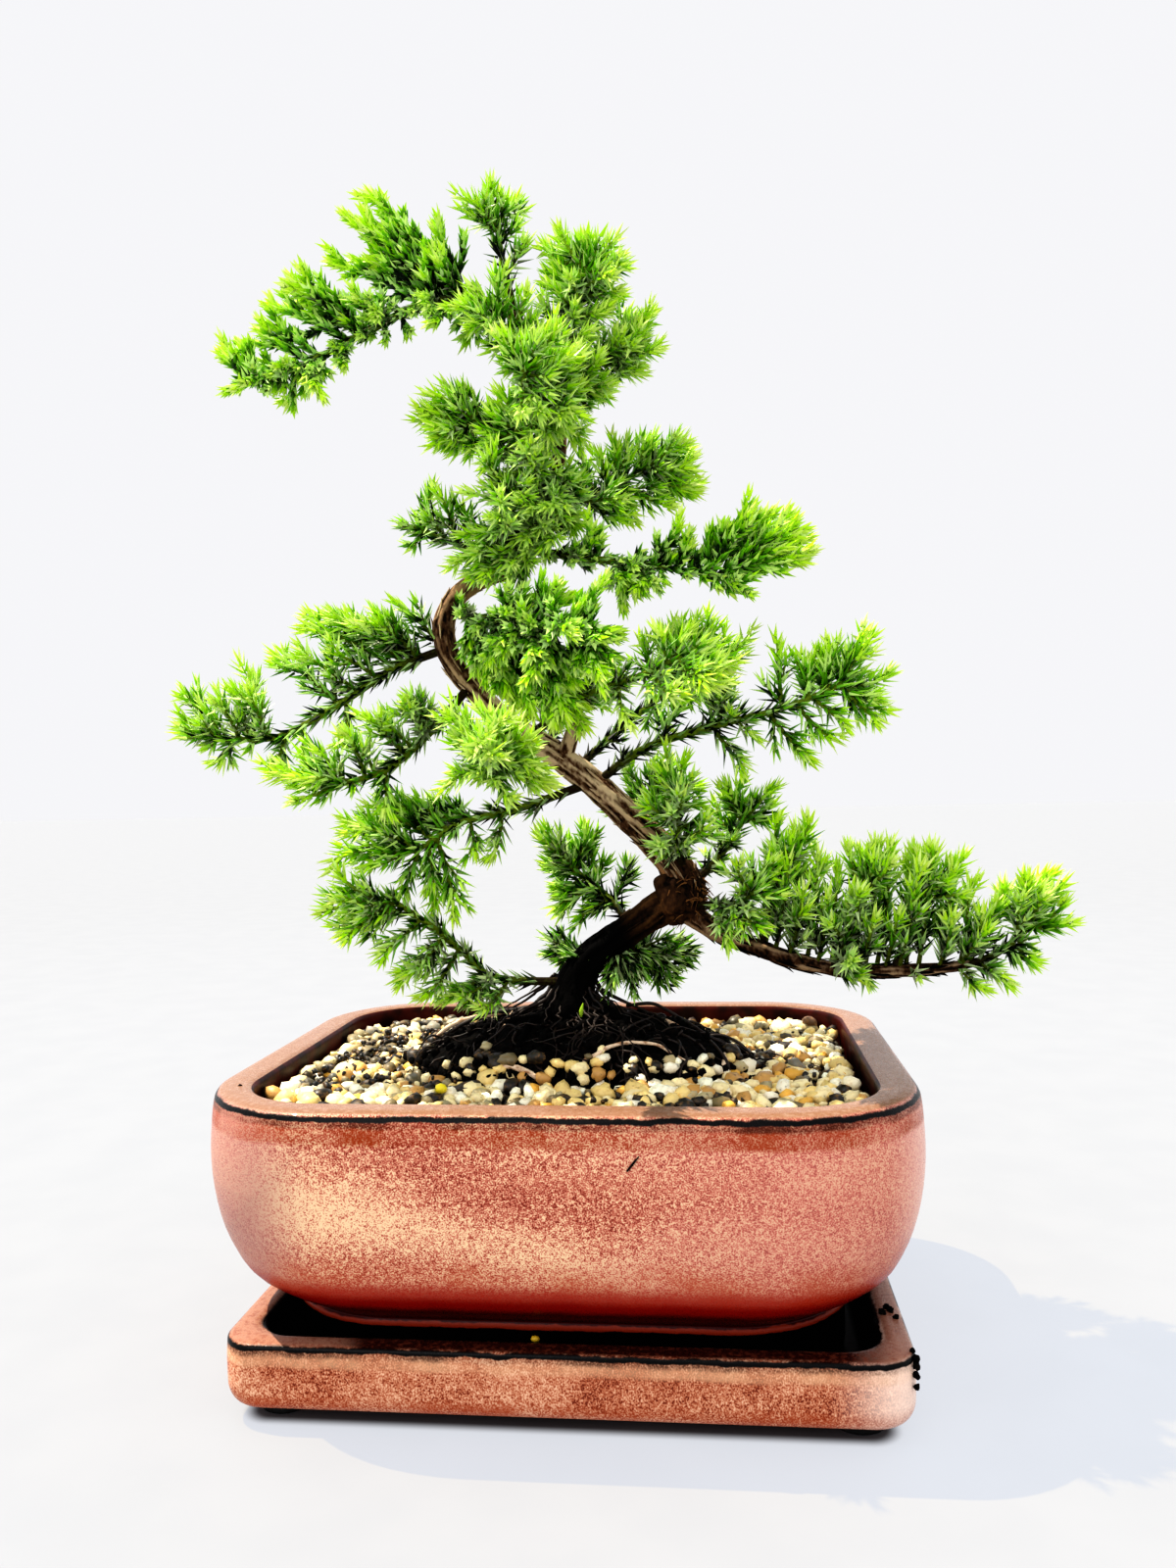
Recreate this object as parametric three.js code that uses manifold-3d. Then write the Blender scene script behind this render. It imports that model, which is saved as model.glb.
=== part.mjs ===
// Flaky juniper bonsai in a glazed, round-cornered pot on its drip tray.
// Units are millimetres, +Z is up, and the table is at z = 0.
import * as THREE from 'three';
import { mergeVertices } from 'three/addons/utils/BufferGeometryUtils.js';
import Module from 'manifold-3d';

const manifold = await Module();
manifold.setup();

// Driving dimensions
const FIT_GAP = 0.3;
const RUBBER_FOOT = { radius: 6.4, height: 2.7, x: 70, y: 54 };

const TRAY = {
  halfX: 82.7,
  halfY: 68,
  cornerRadius: 9,
  bottomZ: RUBBER_FOOT.height + FIT_GAP,
  floorZ: 8,
  topZ: 20.3,
  lip: 7.5,
  innerCornerRadius: 10,
  shiftX: 1.6,
};

const POT = {
  halfX: 89,
  halfY: 74.5,
  bottomZ: TRAY.floorZ + FIT_GAP,
  floorZ: 16,
  recessZ: 11,
  footRingWidth: 9,
  drainHoleRadius: 6.5,
  drainHoleX: 36,
};

// Pot wall from the foot up and over the lip: height, half width along X, corner radius
const POT_OUTSIDE = [
  [POT.bottomZ, 70.2, 30],
  [9.3, 71.4, 30],
  [19.5, 71.8, 30],
  [21.5, 73.6, 31],
  [26, 77.6, 32],
  [32, 83, 33],
  [42, 87.5, 35],
  [52, 89.7, 36],
  [62, 90.6, 37],
  [72, 90, 36.5],
  [75.8, 89.3, 36],
  [77.5, 87.6, 34.5],
];
const POT_INSIDE = [
  [77.5, 79.6, 24],
  [76.2, 78.4, 22],
  [70, 79, 22],
  [55, 81.5, 24],
  [38, 78, 26],
  [26, 69, 26],
  [POT.floorZ, 60, 24],
];
const POT_DEPTH_OFFSET = POT.halfX - POT.halfY;

const DRAIN_MESH = { size: 27, thickness: 1, bars: 1.8, holesPerSide: 3 };

const SOIL = {
  bottomZ: POT.floorZ + FIT_GAP + DRAIN_MESH.thickness + FIT_GAP,
  flatZ: 68,
  moundHeight: 16,
  moundHalfX: 52,
  moundHalfY: 32,
  trunkHoleRadius: 10.6,
  trunkHoleFloorZ: 50,
  innerClearance: 0.4,
  sectors: 36,
};

const GRAVEL = {
  bottomZ: SOIL.flatZ + FIT_GAP,
  meanTopZ: 72.4,
  pebbleRelief: 1.5,
  sectors: 66,
  rows: 7,
  wallClearance: 0.5,
  moundScale: 1.03,
};

// The tree is turned a little against the pot
const TREE_TURN_DEG = 6;

// Trunk and limbs: x, y, z, radius, with +Y away from the viewer
const LOWER_TRUNK = [
  [0, 0, 50.6, 7], [0, 0, 62, 8], [0, 0, 72, 8.6], [0, 0, 80, 8.6], [3, -1, 90, 7.6],
  [7, -2, 99, 6.6], [13, -3, 107, 6], [20, -4, 113, 5.7], [28, -5, 118, 5.6], [33, -5, 121, 4.6],
];
const UPPER_TRUNK = [
  [33, -5, 119, 4.4], [30, -5, 127, 4.8], [24, -3, 135, 4.4], [15, -2, 144, 4.1], [5, -1, 154, 3.9],
  [-4, 0, 161, 3.7], [-13, 1, 167, 3.5], [-22, 1, 174, 3.3], [-29, 1, 182, 3.2], [-35, 0, 190, 3.2],
  [-37, 0, 198, 3.1], [-35, 1, 206, 3], [-29, 2, 212, 2.8], [-20, 3, 216, 2.6], [-11, 3, 223, 2.4],
  [-6, 3, 234, 2.2], [-3, 3, 247, 2], [-2, 4, 260, 1.9], [-4, 4, 273, 1.7], [-9, 4, 284, 1.6],
  [-17, 4, 293, 1.5], [-26, 3, 297, 1.3],
];
const LOW_LIMB = [
  [29, -5, 118, 3.4], [41, -8, 110, 2.7], [51, -11, 106, 2.4], [63, -14, 102, 2.2],
  [76, -16, 100, 2], [91, -18, 100, 1.8], [103, -20, 101, 1.5],
];
const CUT_STUB = [[-3, 0, 160, 2.6], [-1, -3, 165, 2.3], [0, -5, 169, 2]];
const KNOT = { centre: [31, -5, 121], radii: [6.4, 6, 7.2] };

// Surface roots: compass angle in degrees, length, start radius, sideways wander
const ROOTS = [
  { angle: -172, length: 40, radius: 3.6, wander: 5 },
  { angle: -138, length: 30, radius: 3, wander: -4 },
  { angle: -95, length: 22, radius: 3.4, wander: 5 },
  { angle: -48, length: 27, radius: 3, wander: 6 },
  { angle: -8, length: 38, radius: 3.8, wander: -5 },
  { angle: 40, length: 27, radius: 2.8, wander: 4 },
  { angle: 95, length: 22, radius: 3, wander: -4 },
  { angle: 145, length: 30, radius: 3, wander: 4 },
];
const ROOT_START_Z = 89;
const ROOT_TIP_RADIUS = 1.2;

// Foliage proportions
const NEEDLE = { length: 6.6, lengthSpread: 1.2, baseRadius: 0.8, tipRadius: 0.15, leanDeg: 38 };
const TWIG = { ringGap: 5.6, rootRadius: 1.05, tipRadius: 0.8, bareStart: 2.5 };
const STEM = { rootRadius: 1.35, tipRadius: 1.0, bareStart: 6 };
const BODY_CLEARANCE = 0.5;

// Leafy sprays: the stem's route and the tips of the shoots that grow from it
const SPRAYS = [
  {
    name: 'spray_top_left',
    stem: [[-26, 3, 297], [-42, 1, 294], [-56, -2, 286], [-69, -5, 278], [-82, -8, 271], [-93, -10, 268]],
    tips: [
      [-60, 12, 335], [-38, -6, 316], [-53, 18, 320], [-73, 14, 314], [-76, -10, 298], [-90, 6, 298],
      [-98, -2, 282], [-96, -16, 263], [-82, 4, 265], [-69, -20, 262], [-58, -22, 288],
    ],
  },
  {
    name: 'spray_top_shoot',
    stem: [[-15, 4, 293], [-18, 6, 308], [-20, 5, 321]],
    tips: [[-22, 4, 334], [-13, 12, 332], [-29, -4, 320], [-9, -4, 312]],
  },
  {
    name: 'spray_crown_right',
    stem: [[-5, 4, 279], [3, -4, 292], [7, -8, 300]],
    tips: [[-2, -14, 310], [7, -4, 312], [16, 2, 309], [17, -12, 292]],
  },
  {
    name: 'spray_crown_outer',
    stem: [[-3, 4, 269], [8, 8, 278], [18, 10, 285]],
    tips: [[20, 18, 300], [28, 6, 294], [31, 12, 284], [23, 0, 272], [13, 22, 272]],
  },
  {
    name: 'spray_crown_front',
    stem: [[-2, 4, 262], [-7, -15, 261], [-11, -30, 263]],
    tips: [[-18, -30, 273], [-6, -38, 272], [3, -24, 268], [3, -30, 252], [-12, -38, 247]],
  },
  {
    name: 'spray_crown_back',
    stem: [[-3, 3, 250], [-6, 22, 263], [-8, 36, 278]],
    tips: [[-14, 34, 292], [1, 42, 295], [7, 40, 273], [-20, 42, 274], [-6, 55, 286]],
  },
  {
    name: 'spray_crown_left',
    stem: [[-4, 4, 273], [-13, -4, 279], [-20, -9, 285]],
    tips: [[-29, -6, 291], [-19, -12, 300], [-9, -18, 291], [-27, -19, 281]],
  },
  {
    name: 'spray_trunk_front',
    stem: [[-4, 3, 236], [-8, -8, 243], [-12, -15, 252]],
    tips: [[-26, -13, 253], [-19, -14, 266], [-2, -20, 259], [-12, -28, 243], [-22, -8, 236]],
  },
  {
    name: 'spray_mid_left',
    stem: [[-2, 3, 245], [-15, -4, 252], [-27, -8, 257]],
    tips: [
      [-34, -4, 270], [-39, -16, 264], [-44, -6, 259], [-39, -14, 250], [-24, -20, 241], [-21, 6, 268],
    ],
  },
  {
    name: 'spray_trunk_left',
    stem: [[-12, 3, 222], [-16, -8, 228], [-18, -16, 235]],
    tips: [[-29, -14, 236], [-22, -20, 247], [-9, -22, 233], [-20, -25, 224], [-6, -15, 243]],
  },
  {
    name: 'spray_left_small',
    stem: [[-22, 3, 216], [-34, 10, 226], [-45, 13, 231]],
    tips: [[-42, 16, 246], [-53, 10, 234], [-50, 20, 225], [-31, 2, 238]],
  },
  {
    name: 'spray_right_upper',
    stem: [[-6, 3, 234], [7, 14, 240], [23, 22, 250]],
    tips: [[18, 14, 259], [28, 27, 262], [40, 20, 257], [42, 30, 244], [4, 26, 255], [18, 32, 236]],
  },
  {
    name: 'spray_right_long',
    stem: [[-11, 3, 222], [5, -4, 218], [25, -10, 214], [44, -14, 210]],
    tips: [
      [49, -10, 227], [67, -6, 223], [67, -18, 214], [51, -22, 203], [32, -20, 225], [19, -16, 203],
      [8, -16, 226],
    ],
  },
  {
    name: 'spray_centre_front',
    stem: [[-35, 0, 204], [-21, -14, 199], [-6, -26, 195], [6, -32, 194]],
    tips: [
      [-2, -24, 209], [9, -36, 207], [16, -30, 193], [5, -36, 179], [-9, -38, 179], [-22, -26, 184],
      [-16, -32, 207], [0, -52, 191],
    ],
  },
  {
    name: 'spray_centre_bright',
    stem: [[-13, 1, 167], [2, -22, 176], [17, -38, 180], [28, -46, 184]],
    tips: [[23, -50, 192], [38, -44, 189], [39, -54, 178], [26, -58, 172], [14, -44, 168]],
  },
  {
    name: 'spray_right_mid',
    stem: [[6, -1, 153], [21, -5, 163], [42, -12, 169], [59, -16, 173], [75, -18, 179]],
    tips: [
      [83, -14, 195], [91, -18, 182], [85, -24, 167], [73, -4, 191], [59, -10, 194], [67, -20, 157],
      [49, -16, 155], [43, -26, 183], [34, 2, 181],
    ],
  },
  {
    name: 'spray_right_mid_back',
    stem: [[0, 0, 157], [16, 14, 171], [35, 24, 186]],
    tips: [[33, 20, 204], [46, 30, 207], [57, 24, 198], [21, 28, 200], [50, 36, 182], [30, 36, 172]],
  },
  {
    name: 'spray_left_long',
    stem: [[-37, 0, 193], [-52, -2, 187], [-67, -5, 177], [-84, -8, 168], [-101, -10, 168]],
    tips: [
      [-112, -6, 184], [-113, -12, 169], [-98, -20, 180], [-94, 2, 189], [-104, 2, 160],
      [-77, -16, 192], [-78, 6, 206], [-60, -12, 201], [-51, 2, 208], [-84, -16, 157], [-68, 8, 164],
    ],
  },
  {
    name: 'spray_left_front',
    stem: [[-30, 1, 182], [-39, -12, 169], [-50, -22, 158], [-62, -30, 154]],
    tips: [
      [-75, -34, 149], [-84, -24, 157], [-68, -36, 165], [-55, -32, 173], [-44, -32, 178],
      [-51, -26, 144],
    ],
  },
  {
    name: 'spray_front_bright',
    stem: [[-20, 1, 173], [-22, -20, 163], [-20, -40, 158]],
    tips: [
      [-33, -44, 173], [-20, -50, 173], [-8, -46, 166], [-5, -40, 153], [-15, -50, 147],
      [-32, -52, 153], [-19, -66, 160],
    ],
  },
  {
    name: 'spray_low_left_upper',
    stem: [[4, -1, 153], [-17, -6, 146], [-31, -12, 143], [-44, -16, 135]],
    tips: [
      [-66, -14, 144], [-69, -20, 133], [-56, -8, 150], [-44, 2, 148], [-23, -14, 131], [-52, -8, 119],
      [-33, -14, 115],
    ],
  },
  {
    name: 'spray_low_left',
    stem: [[3, -2, 96], [-23, -4, 98], [-32, -8, 106], [-40, -18, 115], [-50, -24, 123]],
    tips: [
      [-70, -26, 121], [-67, -14, 113], [-54, -30, 107], [-42, -22, 94], [-27, -20, 90],
      [-64, -34, 131],
    ],
  },
  {
    name: 'spray_inner_left',
    stem: [[17, -3, 111], [9, 6, 120], [-1, 10, 128]],
    tips: [[-11, 6, 142], [4, 16, 142], [-9, 8, 115], [17, 16, 130], [-9, 22, 127]],
  },
  {
    name: 'spray_base_left',
    stem: [[7, -2, 101], [-1, 9, 104]],
    tips: [[-8, 14, 110], [-6, 19, 98]],
  },
  {
    name: 'spray_base_right',
    stem: [[12, -3, 107], [24, 10, 102]],
    tips: [[36, 14, 99], [29, 3, 109], [25, 18, 89], [17, 20, 107]],
  },
  {
    name: 'spray_above_knot',
    stem: [[31, -5, 126], [29, -14, 139], [29, -15, 151]],
    tips: [[26, -11, 163], [34, -22, 156], [38, -24, 141], [18, -24, 149], [21, -26, 137]],
  },
  {
    name: 'spray_above_knot_right',
    stem: [[33, -5, 123], [43, -2, 133], [50, 0, 143]],
    tips: [[58, -4, 153], [49, 8, 155], [61, 6, 141], [42, 13, 145]],
  },
  {
    name: 'spray_knot_front',
    stem: [[33, -6, 118], [43, -18, 119], [49, -24, 123]],
    tips: [[41, -27, 108], [50, -33, 112], [59, -26, 122], [55, -18, 133], [42, -32, 133]],
  },
  {
    name: 'spray_back_upper',
    stem: [[-7, 0, 163], [-6, 28, 174], [-5, 50, 185]],
    tips: [[-15, 50, 201], [6, 58, 203], [19, 50, 186], [-23, 56, 181], [3, 66, 172], [-6, 76, 192]],
  },
  {
    name: 'spray_back_lower',
    stem: [[19, -3, 139], [22, 24, 144], [26, 42, 148]],
    tips: [[16, 46, 160], [34, 54, 162], [44, 46, 146], [21, 59, 137], [9, 38, 144]],
  },
  {
    name: 'spray_limb_first',
    stem: [[51, -11, 106], [56, -12, 118], [59, -12, 130]],
    tips: [[57, -8, 144], [67, -16, 144], [73, -8, 129], [49, -4, 127], [64, -25, 117]],
  },
  {
    name: 'spray_limb_second',
    stem: [[71, -16, 101], [76, -18, 111], [80, -18, 123]],
    tips: [
      [76, -12, 136], [86, -14, 137], [86, -29, 132], [67, -28, 117], [89, -5, 117], [78, -27, 99],
    ],
  },
  {
    name: 'spray_limb_third',
    stem: [[87, -17, 99], [92, -18, 111], [97, -18, 123]],
    tips: [[95, -10, 135], [98, -26, 136], [107, -14, 131], [107, -27, 122], [105, -5, 112]],
  },
  {
    name: 'spray_limb_end',
    stem: [[104, -20, 101], [114, -20, 104], [125, -20, 112]],
    tips: [
      [119, -12, 122], [121, -29, 127], [130, -14, 127], [135, -22, 126], [136, -24, 114],
      [130, -14, 100], [109, -30, 95], [110, -32, 114],
    ],
  },
];

// Repeatable random numbers in the range 0 to 1
function seededRandom(seed) {
  let state = seed;
  return () => {
    state = (state + 0x6d2b79f5) | 0;
    let mixed = Math.imul(state ^ (state >>> 15), 1 | state);
    mixed = (mixed + Math.imul(mixed ^ (mixed >>> 7), 61 | mixed)) ^ mixed;
    return ((mixed ^ (mixed >>> 14)) >>> 0) / 4294967296;
  };
}

const toVector = ([x, y, z]) => new THREE.Vector3(x, y, z);
const radians = THREE.MathUtils.degToRad;

// Closed geometry from a vertex list and a triangle list
function indexedGeometry(vertices, triangles) {
  const geometry = new THREE.BufferGeometry();
  geometry.setAttribute('position', new THREE.Float32BufferAttribute(vertices.flatMap((v) => [v.x, v.y, v.z]), 3));
  geometry.setIndex(triangles.flat());
  geometry.computeVertexNormals();
  return geometry;
}

// Joins and cuts
function toSolid(geometry) {
  const bare = geometry.clone();
  bare.deleteAttribute('normal');
  bare.deleteAttribute('uv');
  const merged = mergeVertices(bare, 1e-4);
  return new manifold.Manifold(new manifold.Mesh({
    numProp: 3,
    vertProperties: Float32Array.from(merged.attributes.position.array),
    triVerts: Uint32Array.from(merged.index.array),
  }));
}

function fromSolid(solid) {
  const mesh = solid.getMesh();
  const geometry = new THREE.BufferGeometry();
  geometry.setAttribute('position', new THREE.BufferAttribute(mesh.vertProperties, 3));
  geometry.setIndex(new THREE.BufferAttribute(mesh.triVerts, 1));
  geometry.computeVertexNormals();
  return geometry;
}

// Flat outline of a rounded rectangle, counter-clockwise from above
function roundedRectangle(halfX, halfY, radius, arcSteps = 6) {
  const points = [];
  const corners = [[1, 1, 0], [-1, 1, 90], [-1, -1, 180], [1, -1, 270]];
  for (const [signX, signY, startDeg] of corners) {
    for (let step = 0; step <= arcSteps; step += 1) {
      const angle = radians(startDeg + (90 * step) / arcSteps);
      points.push(new THREE.Vector2(
        signX * (halfX - radius) + radius * Math.cos(angle),
        signY * (halfY - radius) + radius * Math.sin(angle),
      ));
    }
  }
  return points;
}

const levelRing = (outline, z) => outline.map((p) => new THREE.Vector3(p.x, p.y, z));

// Solid through a run of rings. An open run is capped at its first and last ring,
// and a closed run joins its last ring to its first.
function solidFromRings(rings, closed = false) {
  const count = rings[0].length;
  const triangles = [];
  const joins = closed ? rings.length : rings.length - 1;
  for (let row = 0; row < joins; row += 1) {
    const low = row * count;
    const high = ((row + 1) % rings.length) * count;
    for (let i = 0; i < count; i += 1) {
      const next = (i + 1) % count;
      triangles.push([low + i, low + next, high + next], [low + i, high + next, high + i]);
    }
  }
  if (!closed) {
    const flat = (ring) => ring.map((p) => new THREE.Vector2(p.x, p.y));
    const lastStart = (rings.length - 1) * count;
    for (const [a, b, c] of THREE.ShapeUtils.triangulateShape(flat(rings[0]), [])) {
      triangles.push([c, b, a]);
    }
    for (const [a, b, c] of THREE.ShapeUtils.triangulateShape(flat(rings.at(-1)), [])) {
      triangles.push([lastStart + a, lastStart + b, lastStart + c]);
    }
  }
  return indexedGeometry(rings.flat(), triangles);
}

// Pot, tray and their small parts
const potOutline = (halfX, radius) => roundedRectangle(halfX, halfX - POT_DEPTH_OFFSET, radius);

function potGeometry() {
  const recessHalfX = POT_OUTSIDE[0][1] - POT.footRingWidth;
  const rings = [
    levelRing(potOutline(recessHalfX - 1.5, 22), POT.recessZ),
    levelRing(potOutline(recessHalfX, 23), POT.bottomZ),
  ];
  for (const [z, halfX, radius] of [...POT_OUTSIDE, ...POT_INSIDE]) {
    rings.push(levelRing(potOutline(halfX, radius), z));
  }
  let solid = toSolid(solidFromRings(rings));
  for (const side of [-1, 1]) {
    const drill = new THREE.CylinderGeometry(POT.drainHoleRadius, POT.drainHoleRadius, 20, 20);
    drill.rotateX(Math.PI / 2);
    drill.translate(side * POT.drainHoleX, 0, POT.recessZ);
    solid = solid.subtract(toSolid(drill));
  }
  return fromSolid(solid);
}

function trayGeometry() {
  const { halfX, halfY, cornerRadius, bottomZ, floorZ, topZ, lip, innerCornerRadius } = TRAY;
  const shell = [
    [bottomZ, 4, cornerRadius - 3],
    [bottomZ + 1.2, 1.2, cornerRadius - 1],
    [bottomZ + 4, 0, cornerRadius],
    [topZ - 1.2, 0.3, cornerRadius],
    [topZ, 1.4, cornerRadius - 1],
    [topZ, lip - 0.8, innerCornerRadius],
    [topZ - 1.2, lip, innerCornerRadius],
    [floorZ + 2, lip + 0.6, innerCornerRadius],
    [floorZ, lip + 1.2, innerCornerRadius - 1],
  ];
  return solidFromRings(shell.map(([z, inset, radius]) => (
    levelRing(roundedRectangle(halfX - inset, halfY - inset, radius), z)
  )));
}

function rubberFootGeometry() {
  const { radius, height } = RUBBER_FOOT;
  const foot = new THREE.CylinderGeometry(radius - 0.4, radius, height, 16);
  foot.rotateX(-Math.PI / 2);
  foot.translate(0, 0, height / 2);
  return foot;
}

function drainMeshGeometry() {
  const { size, thickness, bars, holesPerSide } = DRAIN_MESH;
  const holeSide = (size - bars * (holesPerSide + 1)) / holesPerSide;
  const firstHole = (bars + holeSide - size) / 2 + bars / 2;
  let sheet = toSolid(new THREE.BoxGeometry(size, size, thickness));
  for (let column = 0; column < holesPerSide; column += 1) {
    for (let row = 0; row < holesPerSide; row += 1) {
      const hole = new THREE.BoxGeometry(holeSide, holeSide, 3 * thickness);
      hole.translate(firstHole + column * (holeSide + bars), firstHole + row * (holeSide + bars), 0);
      sheet = sheet.subtract(toSolid(hole));
    }
  }
  return fromSolid(sheet).translate(0, 0, thickness / 2);
}

// Outline of a rounded rectangle with evenly spaced points, starting on the +X axis
function spacedOutline(halfX, halfY, radius, count) {
  const path = new THREE.Path();
  path.moveTo(halfX, 0);
  path.absarc(halfX - radius, halfY - radius, radius, 0, Math.PI / 2);
  path.absarc(-halfX + radius, halfY - radius, radius, Math.PI / 2, Math.PI);
  path.absarc(-halfX + radius, -halfY + radius, radius, Math.PI, 1.5 * Math.PI);
  path.absarc(halfX - radius, -halfY + radius, radius, 1.5 * Math.PI, 2 * Math.PI);
  path.closePath();
  return path.getSpacedPoints(count).slice(0, count);
}

// Height of the soil: level near the wall, an elliptic mound round the trunk
function soilHeight(x, y) {
  const spread = (x / SOIL.moundHalfX) ** 2 + (y / SOIL.moundHalfY) ** 2;
  return SOIL.flatZ + SOIL.moundHeight * Math.max(0, 1 - spread);
}

function soilGeometry() {
  const inside = POT_INSIDE.filter(([z]) => z < SOIL.flatZ && z > SOIL.bottomZ).reverse();
  const wall = (z, fullX, radius) => {
    const halfX = fullX - SOIL.innerClearance;
    return levelRing(spacedOutline(halfX, halfX - POT_DEPTH_OFFSET, radius, SOIL.sectors), z);
  };
  const rings = [wall(SOIL.bottomZ, 61, 24)];
  for (const [z, halfX, radius] of inside) {
    rings.push(wall(z, halfX, radius));
  }
  rings.push(wall(SOIL.flatZ, 79, 22));
  const angles = rings[0].map((p) => Math.atan2(p.y, p.x));
  for (const scale of [1, 0.86, 0.7, 0.54, 0.4]) {
    rings.push(angles.map((angle) => {
      const reach = scale / Math.hypot(Math.cos(angle) / SOIL.moundHalfX, Math.sin(angle) / SOIL.moundHalfY);
      const x = reach * Math.cos(angle);
      const y = reach * Math.sin(angle);
      return new THREE.Vector3(x, y, soilHeight(x, y));
    }));
  }
  const holeRing = (z) => angles.map((angle) => new THREE.Vector3(
    SOIL.trunkHoleRadius * Math.cos(angle),
    SOIL.trunkHoleRadius * Math.sin(angle),
    z,
  ));
  rings.push(holeRing(SOIL.flatZ + SOIL.moundHeight - 1.5), holeRing(SOIL.trunkHoleFloorZ));
  return solidFromRings(rings);
}

// Gravel bed: one ring-shaped body whose top stands up in pebble-sized peaks
function gravelGeometry() {
  const random = seededRandom(11);
  const halfX = 79 - GRAVEL.wallClearance;
  const outer = spacedOutline(halfX, halfX - POT_DEPTH_OFFSET, 22, GRAVEL.sectors);
  const mound = new THREE.EllipseCurve(
    0, 0, SOIL.moundHalfX * GRAVEL.moundScale, SOIL.moundHalfY * GRAVEL.moundScale, 0, 2 * Math.PI,
  );
  const inner = mound.getSpacedPoints(GRAVEL.sectors).slice(0, GRAVEL.sectors);
  const rings = [levelRing(inner, GRAVEL.bottomZ), levelRing(outer, GRAVEL.bottomZ)];
  for (let row = 0; row <= GRAVEL.rows; row += 1) {
    const edge = row === 0 || row === GRAVEL.rows;
    rings.push(outer.map((point, sector) => {
      const shift = edge ? 0 : (random() - 0.5) * 0.35;
      const place = point.clone().lerp(inner[sector], (row + shift) / GRAVEL.rows);
      const peak = (row + sector) % 2 === 0 ? 1 : -0.7;
      const relief = GRAVEL.pebbleRelief * peak * (0.5 + 0.5 * random());
      return new THREE.Vector3(place.x, place.y, GRAVEL.meanTopZ + relief);
    }));
  }
  return solidFromRings(rings, true);
}

// Bark bumps reach a little past the radius in the routes above
const BARK_ALLOWANCE = 1.08;

// Wood: a limb is a tapered tube through its route, capped at both ends
function limbGeometry(route, sides, knobbliness, random) {
  const centres = route.map(toVector);
  const curve = new THREE.CatmullRomCurve3(centres);
  const rings = [];
  let across = new THREE.Vector3(1, 0, 0);
  for (let i = 0; i < centres.length; i += 1) {
    const tangent = curve.getTangent(i / (centres.length - 1));
    across = across.clone().projectOnPlane(tangent).normalize();
    const other = new THREE.Vector3().crossVectors(tangent, across);
    const ring = [];
    for (let side = 0; side < sides; side += 1) {
      const angle = (2 * Math.PI * side) / sides;
      const reach = route[i][3] * (1 + knobbliness * (random() - 0.5));
      ring.push(centres[i].clone()
        .addScaledVector(across, reach * Math.cos(angle))
        .addScaledVector(other, reach * Math.sin(angle)));
    }
    rings.push(ring);
  }
  return tubeFromRings(rings);
}

// Tube through rings that may face any way, closed by a fan at each end
function tubeFromRings(rings) {
  const count = rings[0].length;
  const triangles = [];
  for (let row = 0; row + 1 < rings.length; row += 1) {
    for (let i = 0; i < count; i += 1) {
      const a = row * count + i;
      const b = row * count + ((i + 1) % count);
      triangles.push([a, b, b + count], [a, b + count, a + count]);
    }
  }
  const last = (rings.length - 1) * count;
  for (let i = 1; i + 1 < count; i += 1) {
    triangles.push([0, i + 1, i], [last, last + i, last + i + 1]);
  }
  return indexedGeometry(rings.flat(), triangles);
}

// A surface root leaves the trunk and follows the mound just above the soil
function rootRoute({ angle, length, radius, wander }) {
  const steps = 6;
  const route = [];
  for (let step = 0; step <= steps; step += 1) {
    const along = step / steps;
    const turn = radians(angle + TREE_TURN_DEG);
    const sideways = wander * Math.sin(Math.PI * along * 1.3);
    const x = along * length * Math.cos(turn) - sideways * Math.sin(turn);
    const y = along * length * Math.sin(turn) + sideways * Math.cos(turn);
    const thick = THREE.MathUtils.lerp(radius, ROOT_TIP_RADIUS, along ** 0.7);
    const resting = soilHeight(x, y) + BARK_ALLOWANCE * thick + 2 * FIT_GAP;
    const z = step === 0 ? ROOT_START_Z : Math.max(resting, THREE.MathUtils.lerp(ROOT_START_Z, 70, along));
    route.push([x, y, z, thick]);
  }
  return route;
}

function woodSolid() {
  const random = seededRandom(5);
  const treeToPot = new THREE.Matrix4().makeRotationZ(radians(-TREE_TURN_DEG));
  const knot = new THREE.SphereGeometry(1, 9, 6);
  knot.scale(...KNOT.radii);
  knot.translate(...KNOT.centre);
  const pieces = [
    limbGeometry(LOWER_TRUNK, 8, 0.12, random),
    limbGeometry(UPPER_TRUNK, 7, 0.14, random),
    limbGeometry(LOW_LIMB, 6, 0.12, random),
    limbGeometry(CUT_STUB, 5, 0.1, random),
    knot,
  ];
  for (const root of ROOTS) {
    pieces.push(limbGeometry(rootRoute(root), 5, 0.1, random).applyMatrix4(treeToPot));
  }
  return manifold.Manifold.union(pieces.map(toSolid));
}

// Straight tapered bodies used for keeping pieces apart: ends a and b, radii ra and rb
function chain(route) {
  const bodies = [];
  for (let i = 0; i + 1 < route.length; i += 1) {
    bodies.push({ a: toVector(route[i]), b: toVector(route[i + 1]), ra: route[i][3], rb: route[i + 1][3] });
  }
  return bodies;
}

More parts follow.
